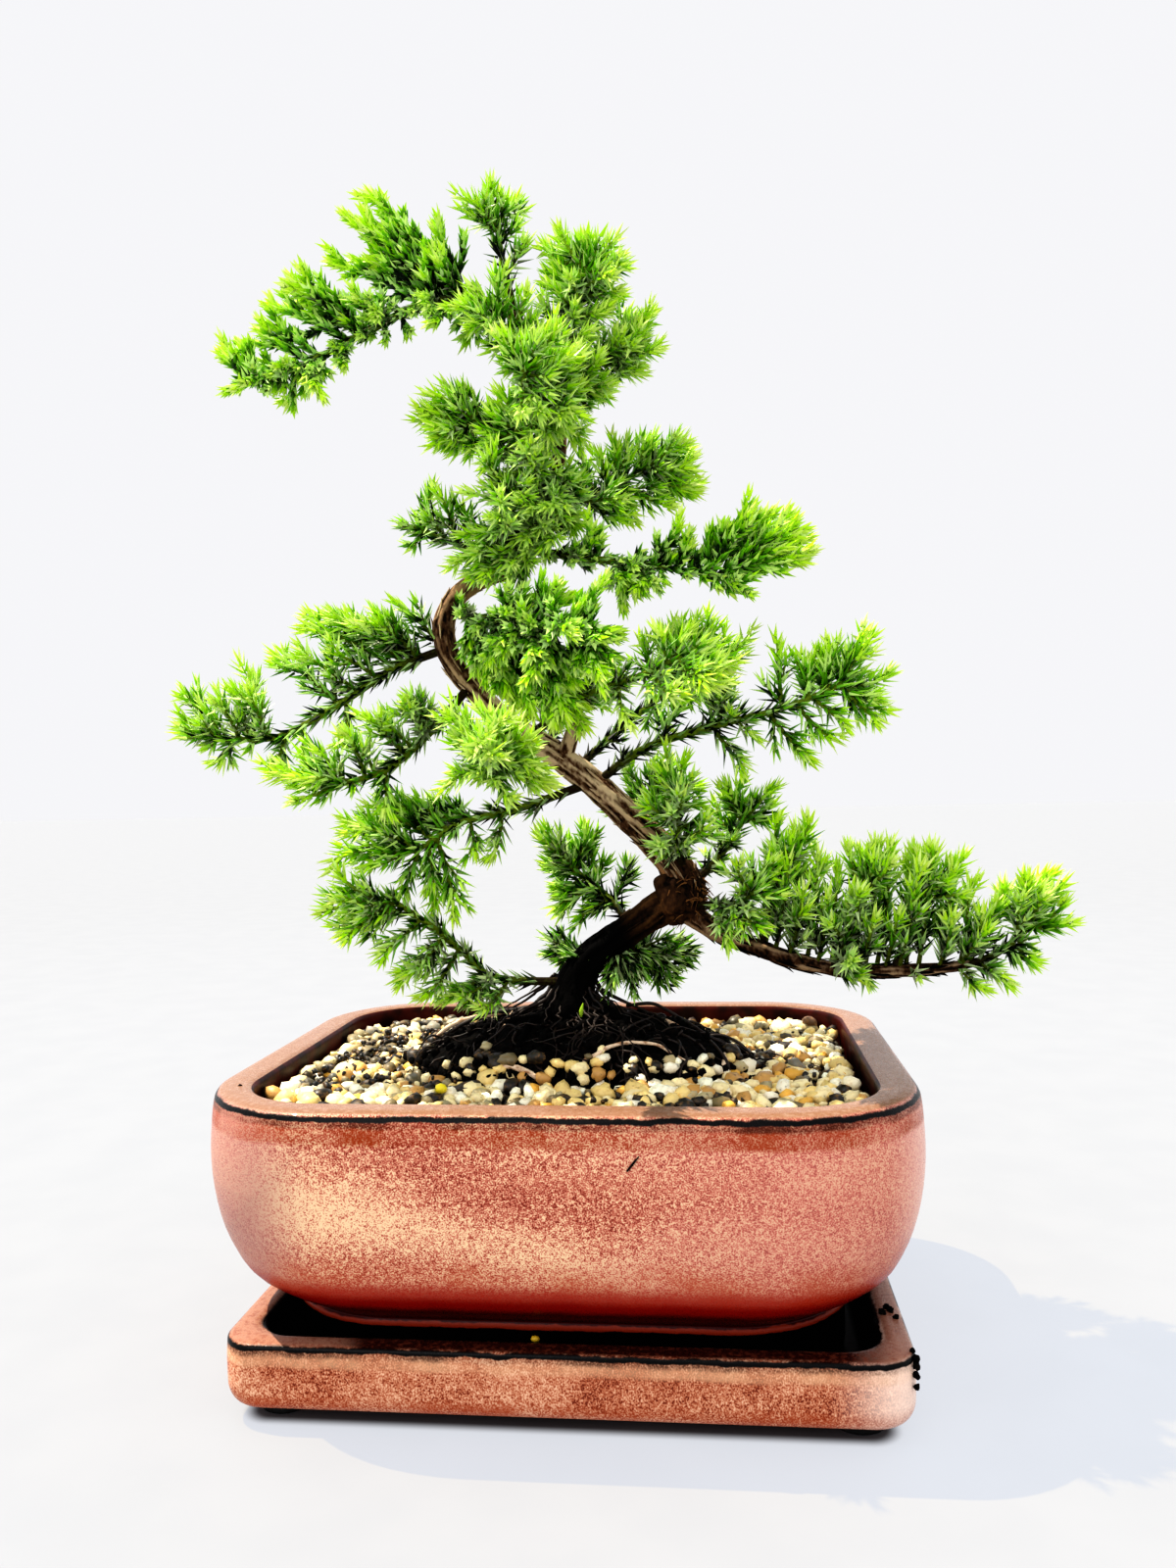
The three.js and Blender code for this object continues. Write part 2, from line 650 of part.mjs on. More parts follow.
// Room left between two tapered bodies, negative where they cross
function roomBetween(first, second) {
  const u = first.b.clone().sub(first.a);
  const v = second.b.clone().sub(second.a);
  const w = first.a.clone().sub(second.a);
  const uu = u.dot(u);
  const uv = u.dot(v);
  const vv = v.dot(v);
  const uw = u.dot(w);
  const vw = v.dot(w);
  const spread = uu * vv - uv * uv;
  let s = spread > 1e-9 ? THREE.MathUtils.clamp((uv * vw - vv * uw) / spread, 0, 1) : 0;
  let t = THREE.MathUtils.clamp((uv * s + vw) / vv, 0, 1);
  s = THREE.MathUtils.clamp((uv * t - uw) / uu, 0, 1);
  const distance = first.a.clone().addScaledVector(u, s).distanceTo(second.a.clone().addScaledVector(v, t));
  return distance - THREE.MathUtils.lerp(first.ra, first.rb, s) - THREE.MathUtils.lerp(second.ra, second.rb, t);
}

const WOOD_BODIES = [LOWER_TRUNK, UPPER_TRUNK, LOW_LIMB, CUT_STUB].flatMap(chain);
for (const body of WOOD_BODIES) {
  body.ra *= BARK_ALLOWANCE;
  body.rb *= BARK_ALLOWANCE;
}
WOOD_BODIES.push({
  a: toVector(KNOT.centre),
  b: toVector(KNOT.centre).add(new THREE.Vector3(0, 0, 0.5)),
  ra: Math.max(...KNOT.radii),
  rb: Math.max(...KNOT.radii),
});

// One spray grows as a single skin: a three-sided stem, twigs that grow out of its
// faces, and a three-sided needle drawn out of each face that is left.
class Spray {
  constructor({ name, stem, tips }, random) {
    this.name = name;
    this.route = stem.map(toVector);
    this.tips = tips.map(toVector);
    this.random = random;
    this.vertices = [];
    this.triangles = [];
    this.faces = [];
    this.bodies = [];
  }

  addVertex(point) {
    this.vertices.push(point);
    return this.vertices.length - 1;
  }

  addRing(centre, across, tangent, radius, turn) {
    const other = new THREE.Vector3().crossVectors(tangent, across);
    return [0, 1, 2].map((corner) => {
      const angle = turn + (2 * Math.PI * corner) / 3;
      return this.addVertex(centre.clone()
        .addScaledVector(across, radius * Math.cos(angle))
        .addScaledVector(other, radius * Math.sin(angle)));
    });
  }

  addFace(corners, details) {
    const [a, b, c] = corners.map((corner) => this.vertices[corner]);
    const centre = a.clone().add(b).add(c).divideScalar(3);
    const normal = b.clone().sub(a).cross(c.clone().sub(a)).normalize();
    this.faces.push({ corners, centre, normal, used: false, ...details });
  }

  // Three-sided tube along a curve. It starts on a given ring or on a new cap.
  addTube(curve, startRing, sizes) {
    const length = curve.getLength();
    const steps = Math.max(2, Math.round(length / TWIG.ringGap));
    const axis = startRing
      ? this.vertices[startRing[0]].clone().sub(curve.getPoint(0))
      : new THREE.Vector3(0.3, 1, 0.2);
    let across = axis;
    let ring = startRing;
    const body = this.bodies.length;
    for (let step = startRing ? 1 : 0; step <= steps; step += 1) {
      const along = step / steps;
      const tangent = curve.getTangentAt(along);
      across = across.clone().projectOnPlane(tangent).normalize();
      const radius = THREE.MathUtils.lerp(sizes.rootRadius, sizes.tipRadius, along);
      const turn = startRing ? (step - 1) * (Math.PI / 3) : step * (Math.PI / 3);
      const centre = curve.getPointAt(along);
      const next = this.addRing(centre, across, tangent, radius, turn);
      if (ring) {
        const straight = startRing && step === 1;
        const bare = (along - 0.5 / steps) * length < sizes.bareStart;
        for (let corner = 0; corner < 3; corner += 1) {
          const after = (corner + 1) % 3;
          const details = { tangent, body, bare, along };
          if (straight) {
            this.addFace([ring[corner], ring[after], next[after]], details);
            this.addFace([ring[corner], next[after], next[corner]], details);
          } else {
            this.addFace([ring[corner], ring[after], next[corner]], details);
            this.addFace([ring[after], next[after], next[corner]], details);
          }
        }
      } else {
        this.triangles.push([next[2], next[1], next[0]]);
      }
      ring = next;
    }
    const apex = this.addVertex(this.tubeEnd(curve));
    for (let corner = 0; corner < 3; corner += 1) {
      this.triangles.push([ring[corner], ring[(corner + 1) % 3], apex]);
    }
    this.bodies.push(this.tubeBodies(curve, sizes));
  }

  tubeEnd(curve) {
    return curve.getPointAt(1).addScaledVector(curve.getTangentAt(1), NEEDLE.length * 0.7);
  }

  tubeBodies(curve, sizes) {
    const steps = Math.max(3, Math.round(curve.getLength() / TWIG.ringGap));
    const points = curve.getSpacedPoints(steps);
    const bodies = points.slice(1).map((point, i) => ({
      a: points[i], b: point, ra: sizes.rootRadius, rb: sizes.rootRadius,
    }));
    bodies.push({ a: points.at(-1), b: this.tubeEnd(curve), ra: sizes.tipRadius, rb: NEEDLE.tipRadius });
    return bodies;
  }

  // The stem starts just clear of the wood that carries it
  growStem(woodSolid) {
    const route = new THREE.CatmullRomCurve3(this.route);
    const full = route.getLength();
    const gapAt = (start) => {
      const probe = new THREE.CylinderGeometry(STEM.rootRadius, STEM.rootRadius, 2, 6);
      const tangent = route.getTangentAt(start / full);
      probe.applyQuaternion(new THREE.Quaternion().setFromUnitVectors(new THREE.Vector3(0, 1, 0), tangent));
      const centre = route.getPointAt(start / full).addScaledVector(tangent, 1);
      probe.translate(centre.x, centre.y, centre.z);
      return toSolid(probe).minGap(woodSolid, 2 * FIT_GAP);
    };
    let start = 0;
    while (gapAt(start) < FIT_GAP + 0.02) {
      start += 0.1;
    }
    const points = [];
    const pieces = this.route.length * 2;
    for (let i = 0; i <= pieces; i += 1) {
      points.push(route.getPointAt(THREE.MathUtils.lerp(start / full, 1, i / pieces)));
    }
    this.addTube(new THREE.CatmullRomCurve3(points), null, STEM);
  }

  // The face that a shoot to this tip leaves best from
  faceTowards(tip) {
    let best = null;
    let lowest = Infinity;
    for (const face of this.faces) {
      const way = tip.clone().sub(face.centre);
      const distance = way.length();
      way.divideScalar(distance);
      const outward = way.dot(face.normal);
      const forward = way.dot(face.tangent);
      const cost = distance * (1 + 0.5 * (1 - outward) + 0.5 * Math.abs(forward - 0.6) + (face.bare ? 1 : 0));
      if (!face.used && face.body === 0 && cost < lowest) {
        lowest = cost;
        best = face;
      }
    }
    return best;
  }

  // Shoots curve out of the stem, bent aside where another spray is in the way
  growTwig(tip, others) {
    const face = this.faceTowards(tip);
    const target = tip.clone().addScaledVector(tip.clone().sub(face.centre).normalize(), -NEEDLE.length * 0.7);
    const reach = target.distanceTo(face.centre);
    for (const bend of [0, 4, -4, 8, -8, 12, -12]) {
      const middle = face.centre.clone()
        .lerp(target, 0.3)
        .addScaledVector(face.normal, reach * 0.22)
        .add(new THREE.Vector3(0, bend, 0));
      const end = target.clone().add(new THREE.Vector3(0, bend * 0.5, 0));
      const curve = new THREE.QuadraticBezierCurve3(face.centre, middle, end);
      const bodies = this.tubeBodies(curve, TWIG);
      const clear = bodies.every((body) => others.every((other) => roomBetween(body, other) > BODY_CLEARANCE));
      if (clear) {
        face.used = true;
        this.addTube(curve, face.corners, TWIG);
        return;
      }
    }
  }

  // A needle leans forward along its twig; a face with no room for one stays plain
  growNeedles(others, needles) {
    for (const face of this.faces.filter((candidate) => !candidate.used)) {
      const length = NEEDLE.length + NEEDLE.lengthSpread * (this.random() - 0.5) * 2;
      const lean = radians(NEEDLE.leanDeg + 12 * (this.random() - 0.5) + 14 * face.along);
      const out = face.normal.clone().projectOnPlane(face.tangent).normalize();
      const apex = face.centre.clone()
        .addScaledVector(out, length * Math.cos(lean))
        .addScaledVector(face.tangent, length * Math.sin(lean));
      const needle = { a: face.centre, b: apex, ra: NEEDLE.baseRadius, rb: NEEDLE.tipRadius, body: face.body };
      const nearNeedles = needles.filter((other) => other.a.distanceToSquared(face.centre) < 400);
      const clear = !face.bare
        && others.every((other) => roomBetween(needle, other) > BODY_CLEARANCE)
        && this.bodies.every((run, index) => (
          index === face.body || run.every((other, i) => i < 2 || roomBetween(needle, other) > 0.2)
        ))
        && nearNeedles.every((other) => (
          (other.spray === this && other.body === face.body) || roomBetween(needle, other) > 0.25
        ));
      const [a, b, c] = face.corners;
      if (clear) {
        const tip = this.addVertex(apex);
        this.triangles.push([a, b, tip], [b, c, tip], [c, a, tip]);
        needles.push({ ...needle, spray: this });
      } else {
        this.triangles.push([a, b, c]);
      }
    }
  }

  allBodies() {
    return this.bodies.flat();
  }
}

function growSprays(wood) {
  const sprays = SPRAYS.map((plan, index) => new Spray(plan, seededRandom(100 + index)));
  const bodiesOfOthers = (spray) => [
    ...WOOD_BODIES,
    ...sprays.filter((other) => other !== spray).flatMap((other) => other.allBodies()),
  ];
  for (const spray of sprays) {
    spray.growStem(wood);
  }
  for (const spray of sprays) {
    for (const tip of spray.tips) {
      spray.growTwig(tip, bodiesOfOthers(spray));
    }
  }
  const needles = [];
  for (const spray of sprays) {
    spray.growNeedles(bodiesOfOthers(spray), needles);
  }
  return sprays;
}

// Finishes seen from a step away
const FINISHES = {
  glaze: { color: 0xb86a55, roughness: 0.35 },
  trayGlaze: { color: 0xc08465, roughness: 0.4 },
  rubber: { color: 0x17181a, roughness: 0.8 },
  plasticMesh: { color: 0x20262a, roughness: 0.6 },
  soil: { color: 0x1d1713, roughness: 1 },
  gravel: { color: 0xc9ad80, roughness: 0.8 },
  bark: { color: 0x6d4a33, roughness: 0.9 },
  foliage: { color: 0x5fae35, roughness: 0.6 },
};

function namedMesh(name, geometry, finish) {
  const material = new THREE.MeshStandardMaterial({ ...FINISHES[finish], metalness: 0 });
  const mesh = new THREE.Mesh(geometry, material);
  mesh.name = name;
  return mesh;
}

function buildPotAndTray() {
  const stand = new THREE.Group();
  const tray = namedMesh('tray', trayGeometry(), 'trayGlaze');
  tray.position.x = TRAY.shiftX;
  stand.add(tray);
  stand.add(namedMesh('pot', potGeometry(), 'glaze'));
  stand.add(namedMesh('soil', soilGeometry(), 'soil'));
  stand.add(namedMesh('gravel', gravelGeometry(), 'gravel'));
  for (const [sideName, sideX] of [['left', -1], ['right', 1]]) {
    const mesh = namedMesh(`drain_mesh_${sideName}`, drainMeshGeometry(), 'plasticMesh');
    mesh.position.set(sideX * POT.drainHoleX, 0, POT.floorZ + FIT_GAP);
    stand.add(mesh);
    for (const [endName, signY] of [['front', -1], ['back', 1]]) {
      const foot = namedMesh(`rubber_foot_${endName}_${sideName}`, rubberFootGeometry(), 'rubber');
      foot.position.set(TRAY.shiftX + sideX * RUBBER_FOOT.x, signY * RUBBER_FOOT.y, 0);
      stand.add(foot);
    }
  }
  return stand;
}

function buildTree() {
  const tree = new THREE.Group();
  tree.rotation.z = radians(TREE_TURN_DEG);
  const wood = woodSolid();
  tree.add(namedMesh('wood', fromSolid(wood), 'bark'));
  for (const spray of growSprays(wood)) {
    tree.add(namedMesh(spray.name, indexedGeometry(spray.vertices, spray.triangles), 'foliage'));
  }
  return tree;
}

const group = new THREE.Group();
group.add(buildPotAndTray(), buildTree());

// The origin is below the middle of the whole object
group.updateMatrixWorld(true);
const extent = new THREE.Box3().setFromObject(group, true);
const middle = extent.getCenter(new THREE.Vector3());
for (const child of group.children) {
  child.position.x -= middle.x;
  child.position.y -= middle.y;
}

export default group;
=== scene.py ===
"""Juniper bonsai in a glazed pot on its drip tray, dressed for rendering.

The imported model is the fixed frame. Lengths are in metres, +Z is up, +X runs along the pot's long
side to the viewer's right, and +Y points away from the viewer. Routes of the tree are given in
millimetres in the tree's own frame, whose origin is the middle of the pot, and are moved once.
"""
import itertools
import logging
import math
from collections.abc import Sequence
from dataclasses import dataclass, field
from enum import Enum
from functools import cached_property

import bmesh
import bpy
import numpy as np
from mathutils import Matrix, Vector
from mathutils.geometry import tessellate_polygon


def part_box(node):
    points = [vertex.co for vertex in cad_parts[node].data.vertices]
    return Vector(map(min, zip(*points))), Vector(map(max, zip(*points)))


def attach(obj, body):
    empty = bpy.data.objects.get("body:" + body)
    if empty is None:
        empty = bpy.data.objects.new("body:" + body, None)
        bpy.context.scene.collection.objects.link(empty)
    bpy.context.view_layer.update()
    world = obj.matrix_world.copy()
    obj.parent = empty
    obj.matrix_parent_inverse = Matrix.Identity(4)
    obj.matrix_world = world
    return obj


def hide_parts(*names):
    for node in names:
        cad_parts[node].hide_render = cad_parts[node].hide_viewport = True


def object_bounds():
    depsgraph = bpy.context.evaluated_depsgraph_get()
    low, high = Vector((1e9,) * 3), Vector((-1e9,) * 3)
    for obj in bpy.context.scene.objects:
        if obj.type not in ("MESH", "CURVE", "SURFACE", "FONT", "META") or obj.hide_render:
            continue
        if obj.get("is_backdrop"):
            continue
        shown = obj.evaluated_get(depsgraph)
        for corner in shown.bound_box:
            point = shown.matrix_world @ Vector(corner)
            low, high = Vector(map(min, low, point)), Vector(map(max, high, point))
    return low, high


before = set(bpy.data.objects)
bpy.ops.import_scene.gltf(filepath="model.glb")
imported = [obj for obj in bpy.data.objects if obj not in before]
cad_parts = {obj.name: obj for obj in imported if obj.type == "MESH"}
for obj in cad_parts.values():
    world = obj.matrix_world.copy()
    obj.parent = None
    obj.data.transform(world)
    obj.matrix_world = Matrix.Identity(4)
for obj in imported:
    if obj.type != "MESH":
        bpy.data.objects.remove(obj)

CAD_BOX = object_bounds()
LOG = logging.getLogger("bonsai")

# Rows of sizes, a colour ramp's stops as places and hex colours, two numbers, and three along X, Y and Z.
Route = tuple[tuple[float, ...], ...]
Stops = tuple[tuple[float, str], ...]
Pair = tuple[float, float]
Triple = tuple[float, float, float]

# One millimetre in metres, and the distance in metres within which points are joined.
MM = 0.001
WELD_DISTANCE = 1e-6
# How far the tree is turned in the pot, and how much shorter half the pot is along Y than along X.
TREE_TURN = math.radians(6)
POT_DEPTH_OFFSET = 14.5
# How many random heights the noise lattice has, and what turns a corner's place into one of them.
LATTICE_HEIGHTS = 4096
LATTICE_PRIMES = np.array([73856093, 19349663, 83492791])
# Mean of Blender's noise, and the numbers that it mostly lies between.
GRAIN_MEAN = 0.5
GRAIN_REACH = (0.3, 0.7)
# The settings that a kind of node has on every sheet here.
USUAL_SETTINGS = {"MapRange": {"interpolation_type": "SMOOTHSTEP"}, "Mix": {"data_type": "RGBA"}}
# The angle that many plants turn by from one shoot to the next, in radians.
GOLDEN_ANGLE = 2.39996
# Keeps a division by a length from being one by nothing.
TINY = 1e-12


def pot_middle() -> np.ndarray:
    """Returns the point on the table under the middle of the pot, in metres."""
    low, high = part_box("pot")
    return np.array([(low.x + high.x) / 2, (low.y + high.y) / 2, 0.0])


POT_MIDDLE = pot_middle()


def from_pot(points: np.ndarray) -> np.ndarray:
    """Moves points from millimetres about the pot's middle to metres in the part's frame.

    Args:
        points: positions, one a row, in millimetres.

    Returns:
        The same positions in metres.
    """
    return points * MM + POT_MIDDLE


def from_tree(points: np.ndarray) -> np.ndarray:
    """Turns points of the tree with the tree, then moves them as from_pot does.

    Args:
        points: positions, one a row, in millimetres in the tree's frame.

    Returns:
        The same positions in metres in the part's frame.
    """
    cos, sin = math.cos(TREE_TURN), math.sin(TREE_TURN)
    turn = np.array([[cos, sin, 0.0], [-sin, cos, 0.0], [0.0, 0.0, 1.0]])
    return from_pot(points @ turn)


def unit(vectors: np.ndarray) -> np.ndarray:
    """Scales each row to length one."""
    return vectors / np.maximum(np.linalg.norm(vectors, axis=-1, keepdims=True), TINY)


def soft_noise(points: np.ndarray, size: float, seed: int) -> np.ndarray:
    """Soft random bumps: random heights on a cubic lattice, blended between the eight nearest.

    Args:
        points: positions, one a row.
        size: lattice spacing in the units of the points, about the width of one bump.
        seed: picks the random heights.

    Returns:
        One height a point, from -1 to 1.
    """
    heights = np.random.default_rng(seed).uniform(-1, 1, LATTICE_HEIGHTS)
    cell = points / size
    corner = np.floor(cell).astype(np.int64)
    part = cell - corner
    part = part * part * (3 - 2 * part)
    total = np.zeros(len(points))
    for step in itertools.product((0, 1), repeat=3):
        key = (corner + np.array(step)) @ LATTICE_PRIMES
        share = np.prod(np.where(np.array(step) == 1, part, 1 - part), axis=1)
        total += share * heights[np.abs(key) % LATTICE_HEIGHTS]
    return total


def turns(count: int) -> np.ndarray:
    """Returns angles evenly round a full turn, in radians."""
    return np.arange(count) * 2 * math.pi / count


def rising(values: np.ndarray, start: float, span: float) -> np.ndarray:
    """Returns 0 up to start, 1 past start + span, and a straight line between; span may be negative."""
    return np.clip((values - start) / span, 0, 1)


def smooth_route(rows: Sequence[Sequence[float]], spacing: float) -> np.ndarray:
    """Smooth curve through given points: the Catmull-Rom cubic of each point and its neighbours.

    Args:
        rows: points, one a row; columns after the third, such as a radius, are smoothed too.
        spacing: wanted distance between the new points.

    Returns:
        New points at nearly even spacing along the curve.
    """
    route = np.array(rows, dtype=float)
    padded = np.vstack([2 * route[0] - route[1], route, 2 * route[-1] - route[-2]])
    lengths = np.linalg.norm(np.diff(route[:, :3], axis=0), axis=1)
    travelled = np.concatenate([[0], np.cumsum(lengths)])
    count = max(4, int(round(travelled[-1] / spacing)) + 1)
    place = np.interp(np.linspace(0, travelled[-1], count), travelled, np.arange(len(route)))
    leg = np.minimum(place.astype(int), len(route) - 2)
    t = (place - leg)[:, None]
    p0, p1, p2, p3 = (padded[leg + shift] for shift in range(4))
    return 0.5 * (
        2 * p1 + (p2 - p0) * t
        + (2 * p0 - 5 * p1 + 4 * p2 - p3) * t**2
        + (3 * p1 - p0 - 3 * p2 + p3) * t**3
    )


def eased_profile(profile: np.ndarray, reach: np.ndarray, samples: int) -> np.ndarray:
    """Rounds the corners of an open profile: each becomes the parabola between its two legs.

    Args:
        profile: corner points, one a row; the first two columns are the lengths that count.
        reach: how far each corner's round goes along its legs, at most half of a leg.
        samples: points in each round.

    Returns:
        The profile's points with its two ends kept as they are.
    """
    middle, before, after = profile[1:-1], profile[:-2], profile[2:]
    to_before, to_after = before - middle, after - middle
    long_before = np.linalg.norm(to_before[:, :2], axis=1)
    long_after = np.linalg.norm(to_after[:, :2], axis=1)
    reach = np.minimum(reach, 0.499 * np.minimum(long_before, long_after))
    start = middle + to_before * (reach / long_before)[:, None]
    end = middle + to_after * (reach / long_after)[:, None]
    t = np.linspace(0, 1, samples)[None, :, None]
    rounds = (1 - t) ** 2 * start[:, None] + 2 * t * (1 - t) * middle[:, None] + t**2 * end[:, None]
    return np.vstack([profile[:1], rounds.reshape(-1, profile.shape[1]), profile[-1:]])


def rounded_ring(half: Pair, z: float, radius: float, arc: int, side: int) -> np.ndarray:
    """Level rounded rectangle, counter-clockwise: four quarter circles joined by straight lines.

    Args:
        half: half of the widths along X and Y.
        z: height.
        radius: radius of the corners.
        arc: points on each corner.
        side: points between two corners, ends left out.

    Returns:
        Points as rows of x, y and z.
    """
    angle = np.linspace(0, math.pi / 2, arc)
    corners = []
    for quarter, (sign_x, sign_y) in enumerate([(1, 1), (-1, 1), (-1, -1), (1, -1)]):
        turn = angle + quarter * math.pi / 2
        x = sign_x * (half[0] - radius) + radius * np.cos(turn)
        y = sign_y * (half[1] - radius) + radius * np.sin(turn)
        corners.append(np.column_stack([x, y, np.full(arc, z)]))
    pieces = []
    between = np.linspace(0, 1, side + 2)[1:-1, None]
    for corner, following in zip(corners, corners[1:] + corners[:1]):
        pieces += [corner, corner[-1] * (1 - between) + following[0] * between]
    return np.vstack(pieces)


def grid_faces(rows: int, columns: int, around: bool = True) -> np.ndarray:
    """Four-sided faces between the neighbours of a grid of points stored row by row.

    Args:
        rows: number of rows.
        columns: number of points in a row.
        around: joins the last column to the first.

    Returns:
        Four point numbers a face.
    """
    row = np.arange(rows - 1)[:, None] * columns
    column = np.arange(columns if around else columns - 1)[None, :]
    following = (column + 1) % columns
    corners = [row + column, row + following, row + columns + following, row + columns + column]
    return np.stack(corners, axis=-1).reshape(-1, 4)


class Skin:
    """Gathers surfaces worked out with numpy and puts them into one mesh."""

    def __init__(self) -> None:
        """Starts with no surface."""
        self.points: list[np.ndarray] = []
        self.faces: list[np.ndarray] = []
        self.finishes: list[np.ndarray] = []
        self.tints: list[np.ndarray] = []
        self.count = 0

    def add(self, points: np.ndarray, *faces: np.ndarray, finish: int | np.ndarray = 0,
            tint: np.ndarray | Sequence[float] = (0.5, 0.5, 0.5)) -> None:
        """Adds one surface.

        Args:
            points: positions in metres, one a row.
            faces: arrays of point numbers within these points, three or four a face.
            finish: material slot of all the faces, or one a face.
            tint: three numbers that the material reads, for all the points or one row a point.
        """
        self.points.append(points)
        for part in faces:
            self.faces.append(part + self.count)
            self.finishes.append(np.broadcast_to(finish, len(part)).astype(np.int32))
        self.tints.append(np.broadcast_to(tint, (len(points), 3)))
        self.count += len(points)

    def add_fan(self, ring: np.ndarray, upward: bool, finish: int = 0) -> None:
        """Closes a flat ring with triangles that meet at its middle.

        Args:
            ring: the ring's points, counter-clockwise seen from its upper side.
            upward: whether the faces look to the upper side.
            finish: material slot of the faces.
        """
        count = len(ring)
        first = np.arange(count)
        second = (first + 1) % count
        order = [first, second] if upward else [second, first]
        faces = np.column_stack([*order, np.full(count, count)])
        self.add(np.vstack([ring, ring.mean(axis=0)]), faces, finish=finish)

    def to_object(self, name: str, materials: Sequence[bpy.types.Material], smooth: bool = True,
                  welded: bool = False) -> bpy.types.Object:
        """Puts the gathered surfaces into one object at the origin.

        Args:
            name: name of the piece.
            materials: the piece's materials, in slot order.
            smooth: shades the faces as one round surface.
            welded: joins the points that lie in one place, which closes seams and poles.

        Returns:
            The new object.
        """
        mesh = bpy.data.meshes.new(name)
        points = np.vstack(self.points).astype(np.float32)
        sizes = np.concatenate([np.full(len(part), part.shape[1]) for part in self.faces])
        corners = np.concatenate([part.ravel() for part in self.faces]).astype(np.int32)
        mesh.vertices.add(len(points))
        mesh.vertices.foreach_set("co", points.ravel())
        mesh.loops.add(len(corners))
        mesh.loops.foreach_set("vertex_index", corners)
        mesh.polygons.add(len(sizes))
        starts = np.concatenate([[0], np.cumsum(sizes)[:-1]]).astype(np.int32)
        mesh.polygons.foreach_set("loop_start", starts)
        mesh.polygons.foreach_set("material_index", np.concatenate(self.finishes))
        mesh.polygons.foreach_set("use_smooth", np.full(len(sizes), smooth))
        mesh.update(calc_edges=True)
        tint = mesh.attributes.new("tint", "FLOAT_COLOR", "POINT")
        colours = np.hstack([np.vstack(self.tints), np.ones((len(points), 1))])
        tint.data.foreach_set("color", colours.astype(np.float32).ravel())
        for material in materials:
            mesh.materials.append(material)
        if welded:
            shell = bmesh.new()
            shell.from_mesh(mesh)
            bmesh.ops.remove_doubles(shell, verts=shell.verts, dist=WELD_DISTANCE)
            shell.to_mesh(mesh)
            shell.free()
        piece = bpy.data.objects.new(name, mesh)
        bpy.context.scene.collection.objects.link(piece)
        return piece


def seat(piece: bpy.types.Object, replaced: Sequence[str] = ()) -> None:
    """Tells the frame what a new piece is, and logs it.

    Args:
        piece: the piece.
        replaced: the CAD nodes that it stands for.
    """
    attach(piece, "root")
    if replaced:
        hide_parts(*replaced)
    LOG.info("%s: %d faces", piece.name, len(piece.data.polygons))


def linear(colour: str) -> tuple[float, float, float, float]:
    """Turns an sRGB hex colour such as 'b5614a' into the linear colour a shader takes.

    Args:
        colour: six hex digits.

    Returns:
        Linear red, green, blue and 1.
    """
    parts = [int(colour[i:i + 2], 16) / 255 for i in (0, 2, 4)]
    red, green, blue = (
        part / 12.92 if part <= 0.04045 else ((part + 0.055) / 1.055) ** 2.4 for part in parts
    )
    return red, green, blue, 1.0


def metres(*lengths: float) -> list[float]:
    """Turns millimetres into metres."""
    return [length * MM for length in lengths]


